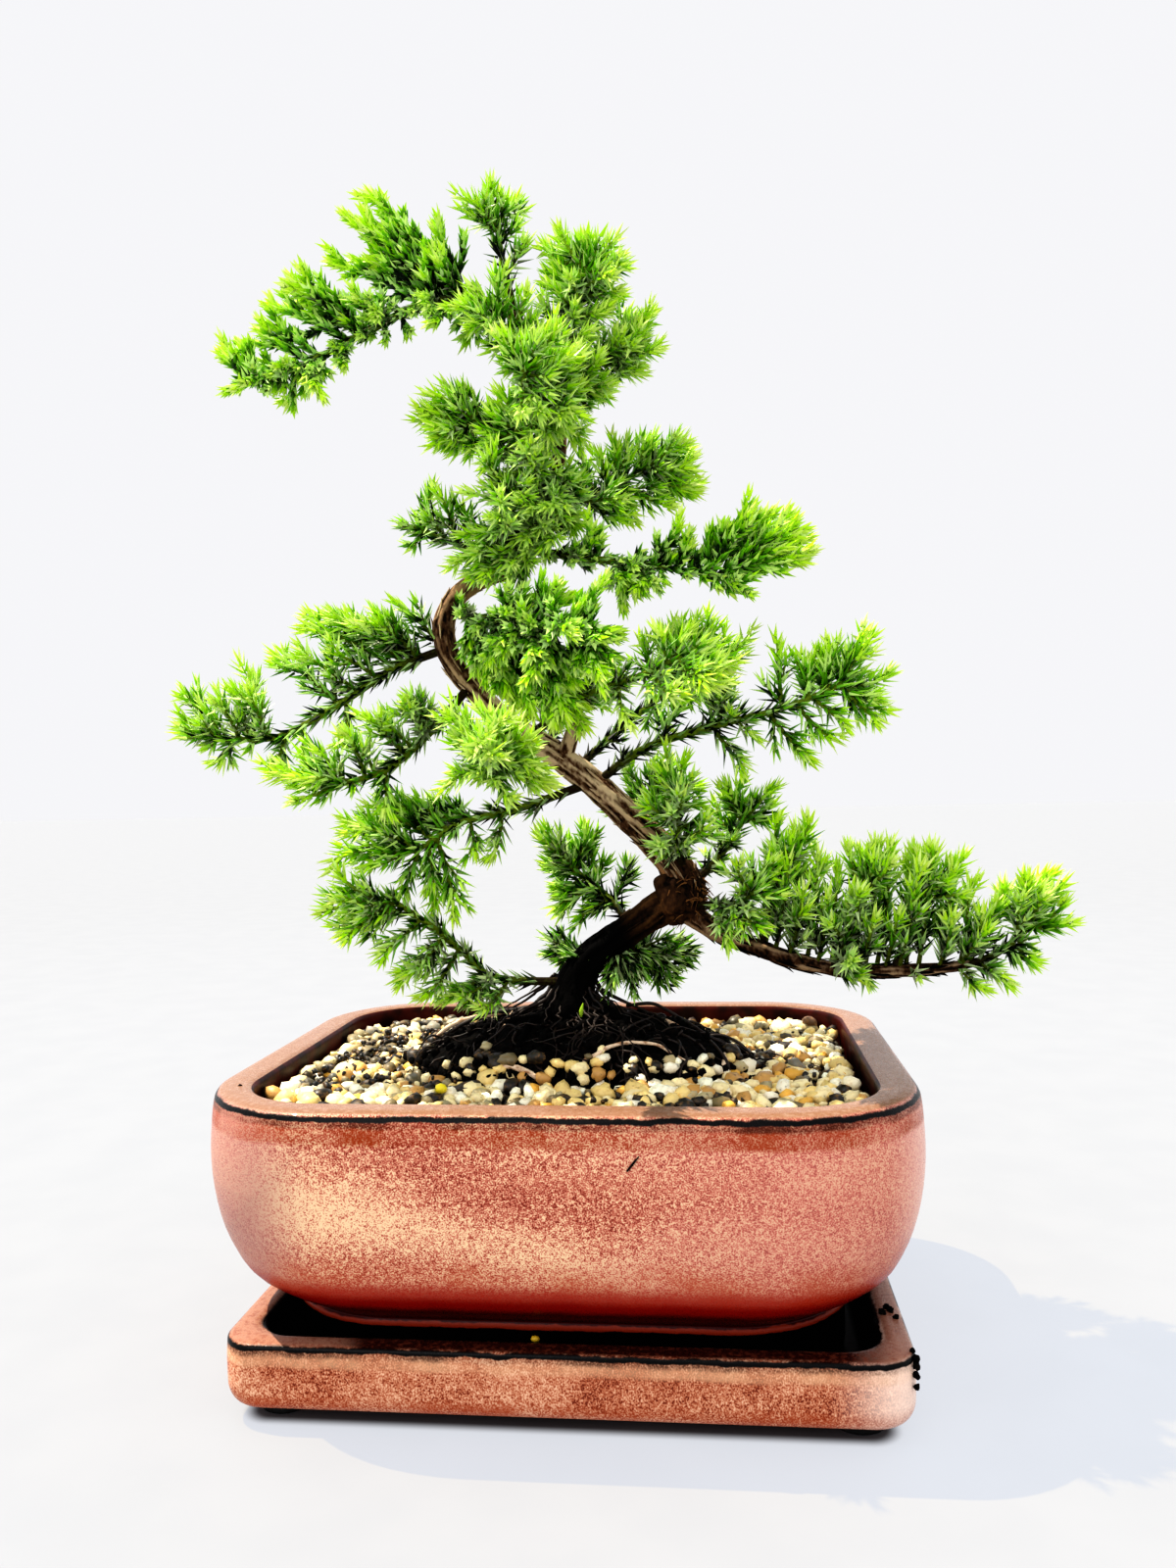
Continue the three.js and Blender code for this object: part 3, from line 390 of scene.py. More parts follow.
@dataclass
class NodeSheet:
    """The node tree of one material, and the one function that adds its nodes."""

    name: str
    material: bpy.types.Material = field(init=False)
    shader: bpy.types.Node = field(init=False)

    def __post_init__(self) -> None:
        """Makes the material with its surface shader."""
        self.material = bpy.data.materials.new(self.name)
        self.material.use_nodes = True
        self.shader = self.material.node_tree.nodes["Principled BSDF"]

    def add(self, kind: str, *values: object, output: str = "", stops: Stops = (),
            **settings: object) -> bpy.types.NodeSocket:
        """Adds a node of any kind, sets it and links it.

        Args:
            kind: Blender's name of the node type, without the word ShaderNode.
            values: a value or another node's output for each input that the node shows, in order, or
                None for an input that stays as it is.
            output: name of the output that is wanted, if it isn't the first one that the node shows.
            stops: the stops of a colour ramp.
            settings: the node's own settings, added to the usual ones of its kind.

        Returns:
            The output's socket.
        """
        node = self.material.node_tree.nodes.new(f"ShaderNode{kind}")
        for setting, value in {**USUAL_SETTINGS.get(kind, {}), **settings}.items():
            setattr(node, setting, value)
        for socket, value in zip([socket for socket in node.inputs if socket.enabled], values):
            self.put(socket, value)
        if stops:
            elements = node.color_ramp.elements
            for _ in stops[len(elements):]:
                elements.new(0.5)
            for element, (place, colour) in zip(elements, stops):
                element.position, element.color = place, linear(colour)
        return node.outputs[output] if output else next(socket for socket in node.outputs if socket.enabled)

    def put(self, socket: bpy.types.NodeSocket, value: object) -> None:
        """Links an output to an input, or sets the input to a value, or leaves it for None."""
        if isinstance(value, bpy.types.NodeSocket):
            self.material.node_tree.links.new(value, socket)
        elif value is not None:
            socket.default_value = value

    def shade(self, relief: bpy.types.NodeSocket | None = None, depth: float = 0.0,
              **inputs: object) -> bpy.types.Material:
        """Sets the shader.

        Args:
            relief: a height from 0 to 1 that roughens the surface.
            depth: real depth of the relief in millimetres.
            inputs: the shader's inputs by name, with _ for a space.

        Returns:
            The material.
        """
        if relief:
            inputs["Normal"] = self.add("Bump", 1.0, depth * MM, None, relief)
        for name, value in inputs.items():
            self.put(self.shader.inputs[name.replace("_", " ")], value)
        return self.material

    @cached_property
    def place(self) -> bpy.types.NodeSocket:
        """The socket of the object coordinates."""
        return self.add("TexCoord", output="Object")

    def split(self, vector: bpy.types.NodeSocket) -> Sequence[bpy.types.NodeSocket]:
        """Returns the sockets of a vector's three numbers."""
        return self.add("SeparateXYZ", vector).node.outputs

    def tint(self, output: str = "Vector") -> bpy.types.NodeSocket:
        """Returns the socket of the piece's tint, as a vector or a colour."""
        return self.add("Attribute", output=output, attribute_name="tint")

    def grain(self, size: float, detail: float, stretch: Sequence[float] = (1, 1, 1),
              ) -> bpy.types.NodeSocket:
        """Random grain of a real size: smooth noise, read at the place divided by the size.

        Args:
            size: width of one grain in millimetres.
            detail: octaves of finer grain inside it.
            stretch: how many times longer the grains are along X, Y and Z.

        Returns:
            A number's socket, mostly between 0.3 and 0.7.
        """
        scale = [1 / (size * MM * longer) for longer in stretch]
        scaled = self.add("VectorMath", self.place, scale, operation="MULTIPLY")
        return self.add("TexNoise", scaled, 1.0, detail)


@dataclass(frozen=True)
class Band:
    """A level band where the glaze changes, in millimetres above the table."""

    colour: str
    low: float
    high: float
    soft: float
    strength: float


@dataclass(frozen=True)
class SpeckledGlaze:
    """Stoneware under a runny copper-red glaze.

    The glaze was poured and fired until it ran. Cream crystals float in the red, closest where it lies
    thick. It pools dark over the foot, thins to rust under the rim and breaks black on sharp edges.
    Sizes are in millimetres, heights are above the table, and a pair is where a change starts and ends.
    """

    name: str
    crystals: Stops
    bands: tuple[Band, ...]
    lip: str
    lip_speck: str
    lip_from: float
    lip_soft: float = 0.25
    lip_speck_size: float = 1.1
    lip_speck_from_to: Pair = (0.45, 0.68)
    lip_speck_share: float = 0.55
    # Painted shade: the colour of the tray's lip between its ends, under the pot's belly, and where it
    # starts and fades.
    lip_painted_shade: str = ""
    lip_painted_shade_half_x: float = 60.0
    lip_painted_shade_fade: float = 11.0
    lip_painted_shade_drift: float = 8.0
    crystal_size: float = 0.36
    run: float = 1.0
    clump_of_crystals: float = 3.2
    clump_share: float = 0.35
    cloud_size: float = 34.0
    cloud_stretch: Triple = (1.6, 1, 0.7)
    cloud_share: float = 0.32
    pour_share: float = 0.0
    pour_z: float = 45.0
    pour_slope: float = -0.16
    pour_half: float = 12.0
    pour_x: Pair = (20.0, -30.0)
    blush: str = ""
    blush_share: float = 0.45
    blush_x: Pair = (-20.0, 60.0)
    blush_drift: float = 120.0
    # Painted reflection: pale colours towards the left and right ends, where the glaze would mirror the pale
    # sky, and where they start, how wide they are and how strong.
    left_painted_reflection: str = ""
    right_painted_reflection: str = ""
    painted_reflection_from_x: float = 64.0
    painted_reflection_width: float = 20.0
    painted_reflection_share: float = 0.75
    wave_size: float = 9.0
    fray_size: float = 1.6
    fray_share: float = 0.35
    band_wander: float = 1.8
    patch_size: float = 14.0
    patch_crystal_share: float = 0.5
    patch_from_to: Pair = (0.55, 0.9)
    patch_least: float = 0.3
    even_from_strength: float = 0.9
    roughness: Pair = (0.2, 0.42)
    depth: float = 0.1

    def body(self, sheet: NodeSheet) -> tuple[bpy.types.NodeSocket, bpy.types.NodeSocket]:
        """Crystals and ground: fine grain, shifted by clouds and by the slanting stripe of the pour.

        Args:
            sheet: the node tree.

        Returns:
            The colour's socket and the crystals' height as a socket.
        """
        add = sheet.add
        x, _, z = sheet.split(sheet.place)
        drops = (1, 1, self.run)
        fine = sheet.grain(self.crystal_size, 3, drops)
        clump = add("Math", sheet.grain(self.crystal_size * self.clump_of_crystals, 2, drops), -GRAIN_MEAN)
        cloud = add("Math", sheet.grain(self.cloud_size, 3, self.cloud_stretch), -GRAIN_MEAN)
        level = add("Math", clump, self.clump_share, fine, operation="MULTIPLY_ADD")
        level = add("Math", cloud, self.cloud_share, level, operation="MULTIPLY_ADD")
        if self.pour_share:
            middle = add("Math", x, self.pour_slope, self.pour_z * MM, operation="MULTIPLY_ADD")
            off = add("Math", add("Math", z, middle, operation="SUBTRACT"), operation="ABSOLUTE")
            stripe = add("MapRange", off, self.pour_half * MM, 0.0)
            pour = add("Math", stripe, add("MapRange", x, *metres(*self.pour_x)), operation="MULTIPLY")
            level = add("Math", pour, self.pour_share, level, operation="MULTIPLY_ADD")
        colour = add("ValToRGB", level, stops=self.crystals)
        if self.blush:
            drifted = add("Math", cloud, self.blush_drift * MM, x, operation="MULTIPLY_ADD")
            share = add("MapRange", drifted, *metres(*self.blush_x), 0.0, self.blush_share)
            colour = add("Mix", share, colour, linear(self.blush))
        # Painted reflection: the glaze turns paler towards the left and right ends.
        for side, pale in ((-1, self.left_painted_reflection), (1, self.right_painted_reflection)):
            if pale:
                inner, outer = metres(side * self.painted_reflection_from_x, side * (self.painted_reflection_from_x + self.painted_reflection_width))
                share = add("MapRange", x, inner, outer, 0.0, self.painted_reflection_share)
                colour = add("Mix", share, colour, linear(pale))
        return colour, level

    def lip_colour(self, sheet: NodeSheet, wave: bpy.types.NodeSocket) -> bpy.types.NodeSocket:
        """Colour of the lip: speckled, and on the tray darker between its ends, which is painted shade under
        the pot's overhanging belly.

        Args:
            sheet: the node tree.
            wave: noise that bends the border of the dark part.

        Returns:
            The colour's socket.
        """
        colour = linear(self.lip)
        # Painted shade: the tray's lip is darkened between its ends, where the pot's belly hangs over it.
        if self.lip_painted_shade:
            across = sheet.add("Math", sheet.split(sheet.place)[0], operation="ABSOLUTE")
            drifted = sheet.add("Math", wave, self.lip_painted_shade_drift * MM, across, operation="MULTIPLY_ADD")
            ends = metres(self.lip_painted_shade_half_x + self.lip_painted_shade_fade, self.lip_painted_shade_half_x)
            colour = sheet.add("Mix", sheet.add("MapRange", drifted, *ends), colour, linear(self.lip_painted_shade))
        specks = sheet.grain(self.lip_speck_size, 4)
        share = sheet.add("MapRange", specks, *self.lip_speck_from_to, 0.0, self.lip_speck_share)
        return sheet.add("Mix", share, colour, linear(self.lip_speck))

    def material(self) -> bpy.types.Material:
        """Returns the glaze's material: the body, then the bands from the foot up, then the lip."""
        sheet = NodeSheet(self.name)
        add = sheet.add
        colour, level = self.body(sheet)
        wave = sheet.grain(self.wave_size, 3)
        fray = add("Math", sheet.grain(self.fray_size, 3), -GRAIN_MEAN)
        ragged = add("Math", add("Math", fray, self.fray_share, wave, operation="MULTIPLY_ADD"), -GRAIN_MEAN)
        true_z = sheet.split(sheet.place)[2]
        z = add("Math", ragged, self.band_wander * MM, true_z, operation="MULTIPLY_ADD")
        patches = add("Math", level, self.patch_crystal_share, sheet.grain(self.patch_size, 4),
                      operation="MULTIPLY_ADD")
        patchy = add("MapRange", patches, *self.patch_from_to, 1.0, self.patch_least)
        for band in self.bands:
            low, high, soft = metres(band.low, band.high, band.soft)
            above, below = add("MapRange", z, low - soft, low), add("MapRange", z, high + soft, high)
            share = add("Math", add("Math", above, below, operation="MULTIPLY"), band.strength,
                        operation="MULTIPLY")
            if band.strength < self.even_from_strength:
                share = add("Math", share, patchy, operation="MULTIPLY")
            colour = add("Mix", share, colour, linear(band.colour))
        lip_edge = metres(self.lip_from - self.lip_soft, self.lip_from + self.lip_soft)
        on_lip = add("MapRange", true_z, *lip_edge)
        colour = add("Mix", on_lip, colour, self.lip_colour(sheet, wave))
        rough = add("MapRange", level, *GRAIN_REACH, *self.roughness)
        return sheet.shade(level, self.depth, Base_Color=colour, Roughness=rough, IOR=1.52,
                           Specular_IOR_Level=0.12, Coat_Weight=0.1, Coat_Roughness=0.06)


POT_GLAZE = SpeckledGlaze(
    name="copper_red_glaze",
    crystals=((0.31, "7c2d1f"), (0.42, "b45e4a"), (0.52, "d8957c"), (0.63, "f0d0a8")),
    lip="8a6650", lip_speck="a08474", lip_from=76.9, pour_share=0.11, blush="ca7e76",
    # The pale colours at the two ends are painted reflection.
    left_painted_reflection="b08078", right_painted_reflection="ffd8cc",
    bands=(
        Band("b2502e", 20.0, 38.0, 8.0, 0.75), Band("a2280e", 20.0, 33.5, 5.0, 0.92),
        Band("860800", 20.0, 30.5, 3.5, 0.97), Band("3c0000", 20.0, 26.6, 3.0, 0.98),
        # The black band from the table up to 21 mm is painted shade on the foot under the pot's belly.
        Band("020101", 0.0, 21.0, 0.4, 1.0), Band("8e3018", 21.5, 22.4, 0.4, 0.95),
        Band("9c3c06", 70.8, 74.9, 1.6, 0.88), Band("240e04", 74.5, 76.5, 1.1, 0.8),
        Band("020101", 75.6, 76.4, 0.4, 1.0),
    ),
)
TRAY_GLAZE = SpeckledGlaze(
    name="tan_tray_glaze",
    crystals=((0.32, "6c2410"), (0.43, "ac5e3e"), (0.55, "cc8c6c"), (0.7, "eabc9c")),
    # The dark colour for the middle of the lip is painted shade under the pot's overhanging belly.
    lip="9e7460", lip_speck="7e4430", lip_from=20.0, lip_painted_shade="320e08",
    # The pale colour at the right end is painted reflection.
    run=1.4, cloud_size=16.0, cloud_share=0.45, right_painted_reflection="ffe8d8", painted_reflection_from_x=50.0,
    bands=(
        Band("a8481c", 0.0, 6.0, 4.0, 0.8), Band("e2b690", 16.0, 17.8, 1.6, 0.6),
        Band("3a241a", 18.3, 19.8, 1.3, 0.8), Band("020101", 19.0, 19.8, 0.4, 1.0),
    ),
)


@dataclass(frozen=True)
class WetAndShadedGlaze:
    """The same glaze kept dark by its wetness and by painted shade: dark maroon inside the pot under the
    rim, near black in the tray's well under the pot.
    """

    name: str
    colour: str
    stain: str
    stain_size: float = 7.0
    stain_from_to: Pair = (0.35, 0.65)
    ripple_size: float = 1.5
    ripple_depth: float = 0.06

    def material(self) -> bpy.types.Material:
        """Returns a dark glaze, darkened further as painted shade, with water stains and a watery gloss."""
        sheet = NodeSheet(self.name)
        share = sheet.add("MapRange", sheet.grain(self.stain_size, 4), *self.stain_from_to)
        colour = sheet.add("Mix", share, linear(self.colour), linear(self.stain))
        return sheet.shade(sheet.grain(self.ripple_size, 3), self.ripple_depth, Base_Color=colour,
                           Roughness=0.4, IOR=1.5, Specular_IOR_Level=0.12)


@dataclass(frozen=True)
class MouldedRubber:
    """Black synthetic rubber, moulded: dull, with a fine grain from the mould and dust on it."""

    rubber: str = "0a0a0b"
    dust: str = "303233"
    dust_size: float = 3.0
    dust_from_to: Pair = (0.45, 0.75)
    dust_share: float = 0.4
    grain_size: float = 0.5
    grain_depth: float = 0.05

    def material(self) -> bpy.types.Material:
        """Returns black rubber with dust that shows as a grey bloom."""
        sheet = NodeSheet("black_rubber")
        patches = sheet.grain(self.dust_size, 4)
        share = sheet.add("MapRange", patches, *self.dust_from_to, 0.0, self.dust_share)
        colour = sheet.add("Mix", share, linear(self.rubber), linear(self.dust))
        return sheet.shade(sheet.grain(self.grain_size, 3), self.grain_depth, Base_Color=colour,
                           Roughness=0.72, IOR=1.52, Specular_IOR_Level=0.3)


@dataclass(frozen=True)
class MeshPlastic:
    """Dark polyethylene mesh, extruded: a slight gloss and soil caught in its grain."""

    plastic: str = "1d2b26"
    soil: str = "30241a"
    soil_size: float = 2.5
    soil_from_to: Pair = (0.45, 0.65)
    grain_size: float = 0.6
    grain_depth: float = 0.05

    def material(self) -> bpy.types.Material:
        """Returns dark plastic with a film of soil."""
        sheet = NodeSheet("drain_mesh_plastic")
        share = sheet.add("MapRange", sheet.grain(self.soil_size, 4), *self.soil_from_to)
        colour = sheet.add("Mix", share, linear(self.plastic), linear(self.soil))
        return sheet.shade(sheet.grain(self.grain_size, 2), self.grain_depth, Base_Color=colour,
                           Roughness=0.5, IOR=1.51)


@dataclass(frozen=True)
class PottingSoil:
    """Damp potting soil: peat and fine bark, sieved, near black, with a few paler fibres."""

    colours: Stops = ((0.3, "020101"), (0.52, "070504"), (0.66, "150d08"), (0.84, "46301f"))
    crumb_size: float = 1.6
    crumb_depth: float = 0.9

    def material(self) -> bpy.types.Material:
        """Returns near-black soil, broken into crumbs by its relief."""
        sheet = NodeSheet("potting_soil")
        crumbs = sheet.grain(self.crumb_size, 5)
        colour = sheet.add("ValToRGB", crumbs, stops=self.colours)
        return sheet.shade(crumbs, self.crumb_depth, Base_Color=colour, Roughness=0.95, IOR=1.4,
                           Specular_IOR_Level=0.2)


@dataclass(frozen=True)
class RiverPebbles:
    """Washed quartz and feldspar pebbles: satin, mottled, each its own colour from its tint."""

    rust: str = "b98a4c"
    rust_from_to: Pair = (0.46, 0.8)
    rust_share: float = 0.45
    spot: str = "3a2a1a"
    spot_size: float = 2.2
    spot_from_to: Pair = (0.63, 0.72)
    spot_share: float = 0.6
    mottle_size: float = 1.3
    mottle_depth: float = 0.18
    roughness: Pair = (0.38, 0.62)

    def material(self) -> bpy.types.Material:
        """Returns the pebbles' material, which mottles and stains the tint."""
        sheet = NodeSheet("washed_pebbles")
        mottle = sheet.grain(self.mottle_size, 4)
        rusty = sheet.add("MapRange", mottle, *self.rust_from_to, 0.0, self.rust_share)
        colour = sheet.add("Mix", rusty, sheet.tint("Color"), linear(self.rust))
        spots = sheet.grain(self.spot_size, 3)
        share = sheet.add("MapRange", spots, *self.spot_from_to, 0.0, self.spot_share)
        colour = sheet.add("Mix", share, colour, linear(self.spot))
        rough = sheet.add("MapRange", mottle, *GRAIN_REACH, *self.roughness)
        return sheet.shade(mottle, self.mottle_depth, Base_Color=colour, Roughness=rough, IOR=1.54)


@dataclass(frozen=True)
class StringyBark:
    """Juniper bark: thin brown plates that peel in strips along the limb, pale on their weathered faces.

    Its tint holds the height of the relief, the dampness of the wood together with its painted shade, and
    how weathered it is.
    """

    brown: Stops = ((0.12, "160d08"), (0.5, "5b3d28"), (1.0, "9a6c40"))
    pale: Stops = ((0.1, "160d08"), (0.3, "5b3d28"), (0.72, "cdb595"))
    # Near-black colour of the bark by the soil: dampness and painted shade.
    wet: str = "020101"
    fibre_size: float = 0.7
    fibre_stretch: Triple = (1.6, 1, 2.6)
    fibre_share: float = 0.9
    fibre_depth: float = 0.35

    def material(self) -> bpy.types.Material:
        """Returns the bark, near black by the soil from dampness and painted shade."""
        sheet = NodeSheet("juniper_bark")
        height, damp_and_shade, weathered = sheet.split(sheet.tint())
        fibres = sheet.grain(self.fibre_size, 4, self.fibre_stretch)
        off = sheet.add("Math", fibres, -GRAIN_MEAN)
        height = sheet.add("Math", off, self.fibre_share, height, operation="MULTIPLY_ADD")
        brown = sheet.add("ValToRGB", height, stops=self.brown)
        pale = sheet.add("ValToRGB", height, stops=self.pale)
        colour = sheet.add("Mix", damp_and_shade, sheet.add("Mix", weathered, brown, pale), linear(self.wet))
        return sheet.shade(fibres, self.fibre_depth, Base_Color=colour, Roughness=0.9, IOR=1.4,
                           Specular_IOR_Level=0.12)


@dataclass(frozen=True)
class PeeledRoot:
    """A root with its skin rubbed off: pale tan, with brown scars and a faint waxy sheen."""

    name: str = "pale_root"
    fresh: str = "e6ccb0"
    scar: str = "9a6c48"
    scar_size: float = 1.4
    scar_stretch: Triple = (2, 1, 1)
    scar_from_to: Pair = (0.45, 0.68)
    scar_depth: float = 0.12

    def material(self) -> bpy.types.Material:
        """Returns the skin of a bare root."""
        sheet = NodeSheet(self.name)
        scars = sheet.grain(self.scar_size, 4, self.scar_stretch)
        share = sheet.add("MapRange", scars, *self.scar_from_to)
        colour = sheet.add("Mix", share, linear(self.fresh), linear(self.scar))
        return sheet.shade(scars, self.scar_depth, Base_Color=colour, Roughness=0.55, IOR=1.45)


@dataclass(frozen=True)
class NeedleSkin:
    """Juniper needle: waxy green cuticle, yellow-green where it is new, dark and bluish where it is old.

    The tint holds how young the needle is, its own shade, and the place along it. Bloom is how much
    pale wax every needle has on this face, and waxy_share is how much more the waxiest have.
    """

    name: str
    bloom: float
    own_share: float = 0.42
    painted_base_shade_share: float = 0.2
    painted_base_shade_middle: float = 0.4
    wax: str = "e2ecc0"
    waxy_share: float = 0.42
    waxy_from_to: Pair = (0.5, 0.95)
    wax_fade: Pair = (0.95, 0.5)
    wax_least: float = 0.3
    point: str = "d9e89a"
    point_from_to: Pair = (0.8, 1.0)
    point_share: float = 0.4
    ages: Stops = (
        (0.0, "020601"), (0.14, "0f2c05"), (0.34, "66aa10"), (0.52, "b2e620"),
        (0.78, "c6e640"), (1.0, "def088"),
    )

    def material(self) -> bpy.types.Material:
        """Returns the needle's material: green by its age and darker towards its base as painted shade, then
        the wax, then the pale point.
        """
        sheet = NodeSheet(self.name)
        add = sheet.add
        young, shade, along = sheet.split(sheet.tint())
        own = add("Math", add("Math", shade, -GRAIN_MEAN), self.own_share, young, operation="MULTIPLY_ADD")
        # Painted shade: the base of each needle, deep in the shoot, is darker, and its point lighter.
        age = add("Math", add("Math", along, -self.painted_base_shade_middle), self.painted_base_shade_share, own,
                  operation="MULTIPLY_ADD")
        green = add("ValToRGB", age, stops=self.ages)
        waxy = add("Math", add("MapRange", shade, *self.waxy_from_to), self.bloom / self.waxy_share)
        fade = add("MapRange", age, *self.wax_fade, self.wax_least * self.waxy_share, self.waxy_share)
        waxed = add("Mix", add("Math", waxy, fade, operation="MULTIPLY"), green, linear(self.wax))
        point = add("MapRange", along, *self.point_from_to, 0.0, self.point_share)
        colour = add("Mix", point, waxed, linear(self.point))
        return sheet.shade(Base_Color=colour, Roughness=0.36, IOR=1.45, Specular_IOR_Level=0.12)


@dataclass(frozen=True)
class ShootSkin:
    """Skin of a leafy shoot: yellow-green while it is young, turning to brown bark at its root.

    The first number of its tint holds how young it is.
    """

    ages: Stops = ((0.0, "24160a"), (0.13, "3a3c0e"), (0.32, "627418"), (0.8, "a4c63c"))
    fibre_size: float = 0.8
    fibre_share: float = 0.3
    fibre_depth: float = 0.1

    def material(self) -> bpy.types.Material:
        """Returns the shoot's material, coloured by the age in its tint."""
        sheet = NodeSheet("shoot_skin")
        fibre = sheet.grain(self.fibre_size, 3)
        young = sheet.split(sheet.tint())[0]
        off = sheet.add("Math", fibre, -GRAIN_MEAN)
        age = sheet.add("Math", off, self.fibre_share, young, operation="MULTIPLY_ADD")
        colour = sheet.add("ValToRGB", age, stops=self.ages)
        return sheet.shade(fibre, self.fibre_depth, Base_Color=colour, Roughness=0.6, IOR=1.45,
                           Specular_IOR_Level=0.1)


def tubes(centres: np.ndarray, radii: np.ndarray, sides: int) -> tuple[np.ndarray, np.ndarray, np.ndarray]:
    """Tubes along many routes at once: a ring across each point of a route, and a fan at each end.

    A ring's point is the route's point plus the radius times (cosine across + sine beside), where
    across and beside stand at right angles to the route.

    Args:
        centres: the routes, as (tube, point, 3).
        radii: the radius at each point, as (tube, point), or (tube, point, side) where it has relief.
        sides: points in a ring.

    Returns:
        The points, the four-sided faces, and the triangles of the ends.
    """
    count, rows = centres.shape[:2]
    tangents = unit(np.gradient(centres, axis=1))
    chord = np.abs(centres[:, -1] - centres[:, 0])
    axis = np.eye(3)[np.argmin(chord, axis=1)]
    across = unit(np.cross(tangents, axis[:, None]))
    beside = np.cross(tangents, across)
    angle = turns(sides)[:, None]
    radii = radii if radii.ndim == 3 else radii[:, :, None]
    out = np.cos(angle) * across[:, :, None] + np.sin(angle) * beside[:, :, None]
    rings = (centres[:, :, None] + radii[..., None] * out).reshape(count, rows * sides, 3)
    start = centres[:, 0] - tangents[:, 0] * radii[:, 0].mean(axis=-1, keepdims=True) * 0.5
    end = centres[:, -1] + tangents[:, -1] * radii[:, -1].mean(axis=-1, keepdims=True)
    points = np.concatenate([rings, start[:, None], end[:, None]], axis=1)
    side = np.arange(sides)
    following = (side + 1) % sides
    last = (rows - 1) * sides
    first_fan = np.column_stack([following, side, np.full(sides, rows * sides)])
    last_fan = np.column_stack([last + side, last + following, np.full(sides, rows * sides + 1)])
    shift = (np.arange(count) * points.shape[1])[:, None, None]
    quads = (grid_faces(rows, sides) + shift).reshape(-1, 4)
    fans = (np.vstack([first_fan, last_fan]) + shift).reshape(-1, 3)
    return points.reshape(-1, 3), quads, fans


def ball_of_squares() -> tuple[np.ndarray, np.ndarray]:
    """Ball of 26 points and 24 faces: a cube with two by two squares a side, pushed onto the ball.

    Returns:
        The points at distance one, and the four-sided faces.
    """
    steps = np.array(list(itertools.product((-1, 0, 1), repeat=3)))
    outer = np.abs(steps).max(axis=1) == 1
    number = (np.cumsum(outer) - 1).reshape(3, 3, 3)
    faces = []
    for axis, end in itertools.product(range(3), (0, 2)):
        side = np.take(number, end, axis=axis)
        squares = np.stack([side[:-1, :-1], side[1:, :-1], side[1:, 1:], side[:-1, 1:]], axis=-1)
        squares = squares.reshape(-1, 4)
        faces.append(squares[:, ::-1] if (end == 0) != (axis == 1) else squares)
    return unit(steps[outer].astype(float)), np.vstack(faces)


def strewn(centres: np.ndarray, sizes: np.ndarray, tilt: float, lumps: float,
           random: np.random.Generator) -> tuple[np.ndarray, np.ndarray]:
    """Stones or crumbs: one ball a centre, stretched, made lumpy, turned about Z and tipped over.

    Args:
        centres: where they lie, in millimetres.
        sizes: half lengths of each one's three axes.
        tilt: the most that one is tipped, in radians.
        lumps: how far its points move in or out, as a share of its size.
        random: source of the chances.

    Returns:
        The points in millimetres and the four-sided faces.
    """
    ball, faces = ball_of_squares()
    count = len(centres)
    shape = ball[None] * sizes[:, None] * (1 + random.uniform(-lumps, lumps, (count, len(ball), 1)))
    yaw, lean = random.uniform(0, 2 * math.pi, count), random.uniform(-tilt, tilt, count)
    way = random.uniform(0, 2 * math.pi, count)
    cos, sin = np.cos(yaw)[:, None], np.sin(yaw)[:, None]
    x, y, z = np.moveaxis(shape, -1, 0)
    turned = np.stack([x * cos - y * sin, x * sin + y * cos, z], axis=-1)
    axis = np.stack([np.cos(way), np.sin(way), np.zeros(count)], axis=-1)[:, None]
    cos, sin = np.cos(lean)[:, None, None], np.sin(lean)[:, None, None]
    along = (turned * axis).sum(axis=-1, keepdims=True)
    beside = np.cross(np.broadcast_to(axis, turned.shape), turned)
    tipped = turned * cos + beside * sin + axis * along * (1 - cos)
    points = (tipped + centres[:, None]).reshape(-1, 3)
    shift = (np.arange(count) * len(ball))[:, None, None]
    return points, (faces[None] + shift).reshape(-1, 4)


def crumbs(centres: np.ndarray, sizes: Pair, axes: Pair, random: np.random.Generator,
           ) -> tuple[np.ndarray, np.ndarray]:
    """Crumbs of soil: lumpy stones, tipped by chance.

    Args:
        centres: where they lie, in millimetres.
        sizes: least and most half length of a crumb.
        axes: least and most that one of its axes is of that.
        random: source of the chances.

    Returns:
        The points in millimetres and the four-sided faces.
    """
    half = random.uniform(*sizes, (len(centres), 1)) * random.uniform(*axes, (len(centres), 3))
    return strewn(centres, half, 1.2, 0.3, random)


def plate_with_holes(ring: np.ndarray, holes: Sequence[np.ndarray], upward: bool,
                     ) -> tuple[np.ndarray, np.ndarray]:
    """Fills a level ring, but for its round holes, with triangles between the outlines' points.

    Args:
        ring: the outer outline.
        holes: the outlines of the holes.
        upward: whether the faces look up.

    Returns:
        The points and the triangles.
    """
    loops = [ring, *holes]
    points = np.vstack(loops)
    triangles = np.array(tessellate_polygon([[Vector(point) for point in loop] for loop in loops]))
    a, b, c = (points[triangles[:, corner]] for corner in range(3))
    looks_up = np.cross(b - a, c - a)[:, 2] > 0
    triangles[looks_up != upward] = triangles[looks_up != upward][:, ::-1]
    return points, triangles


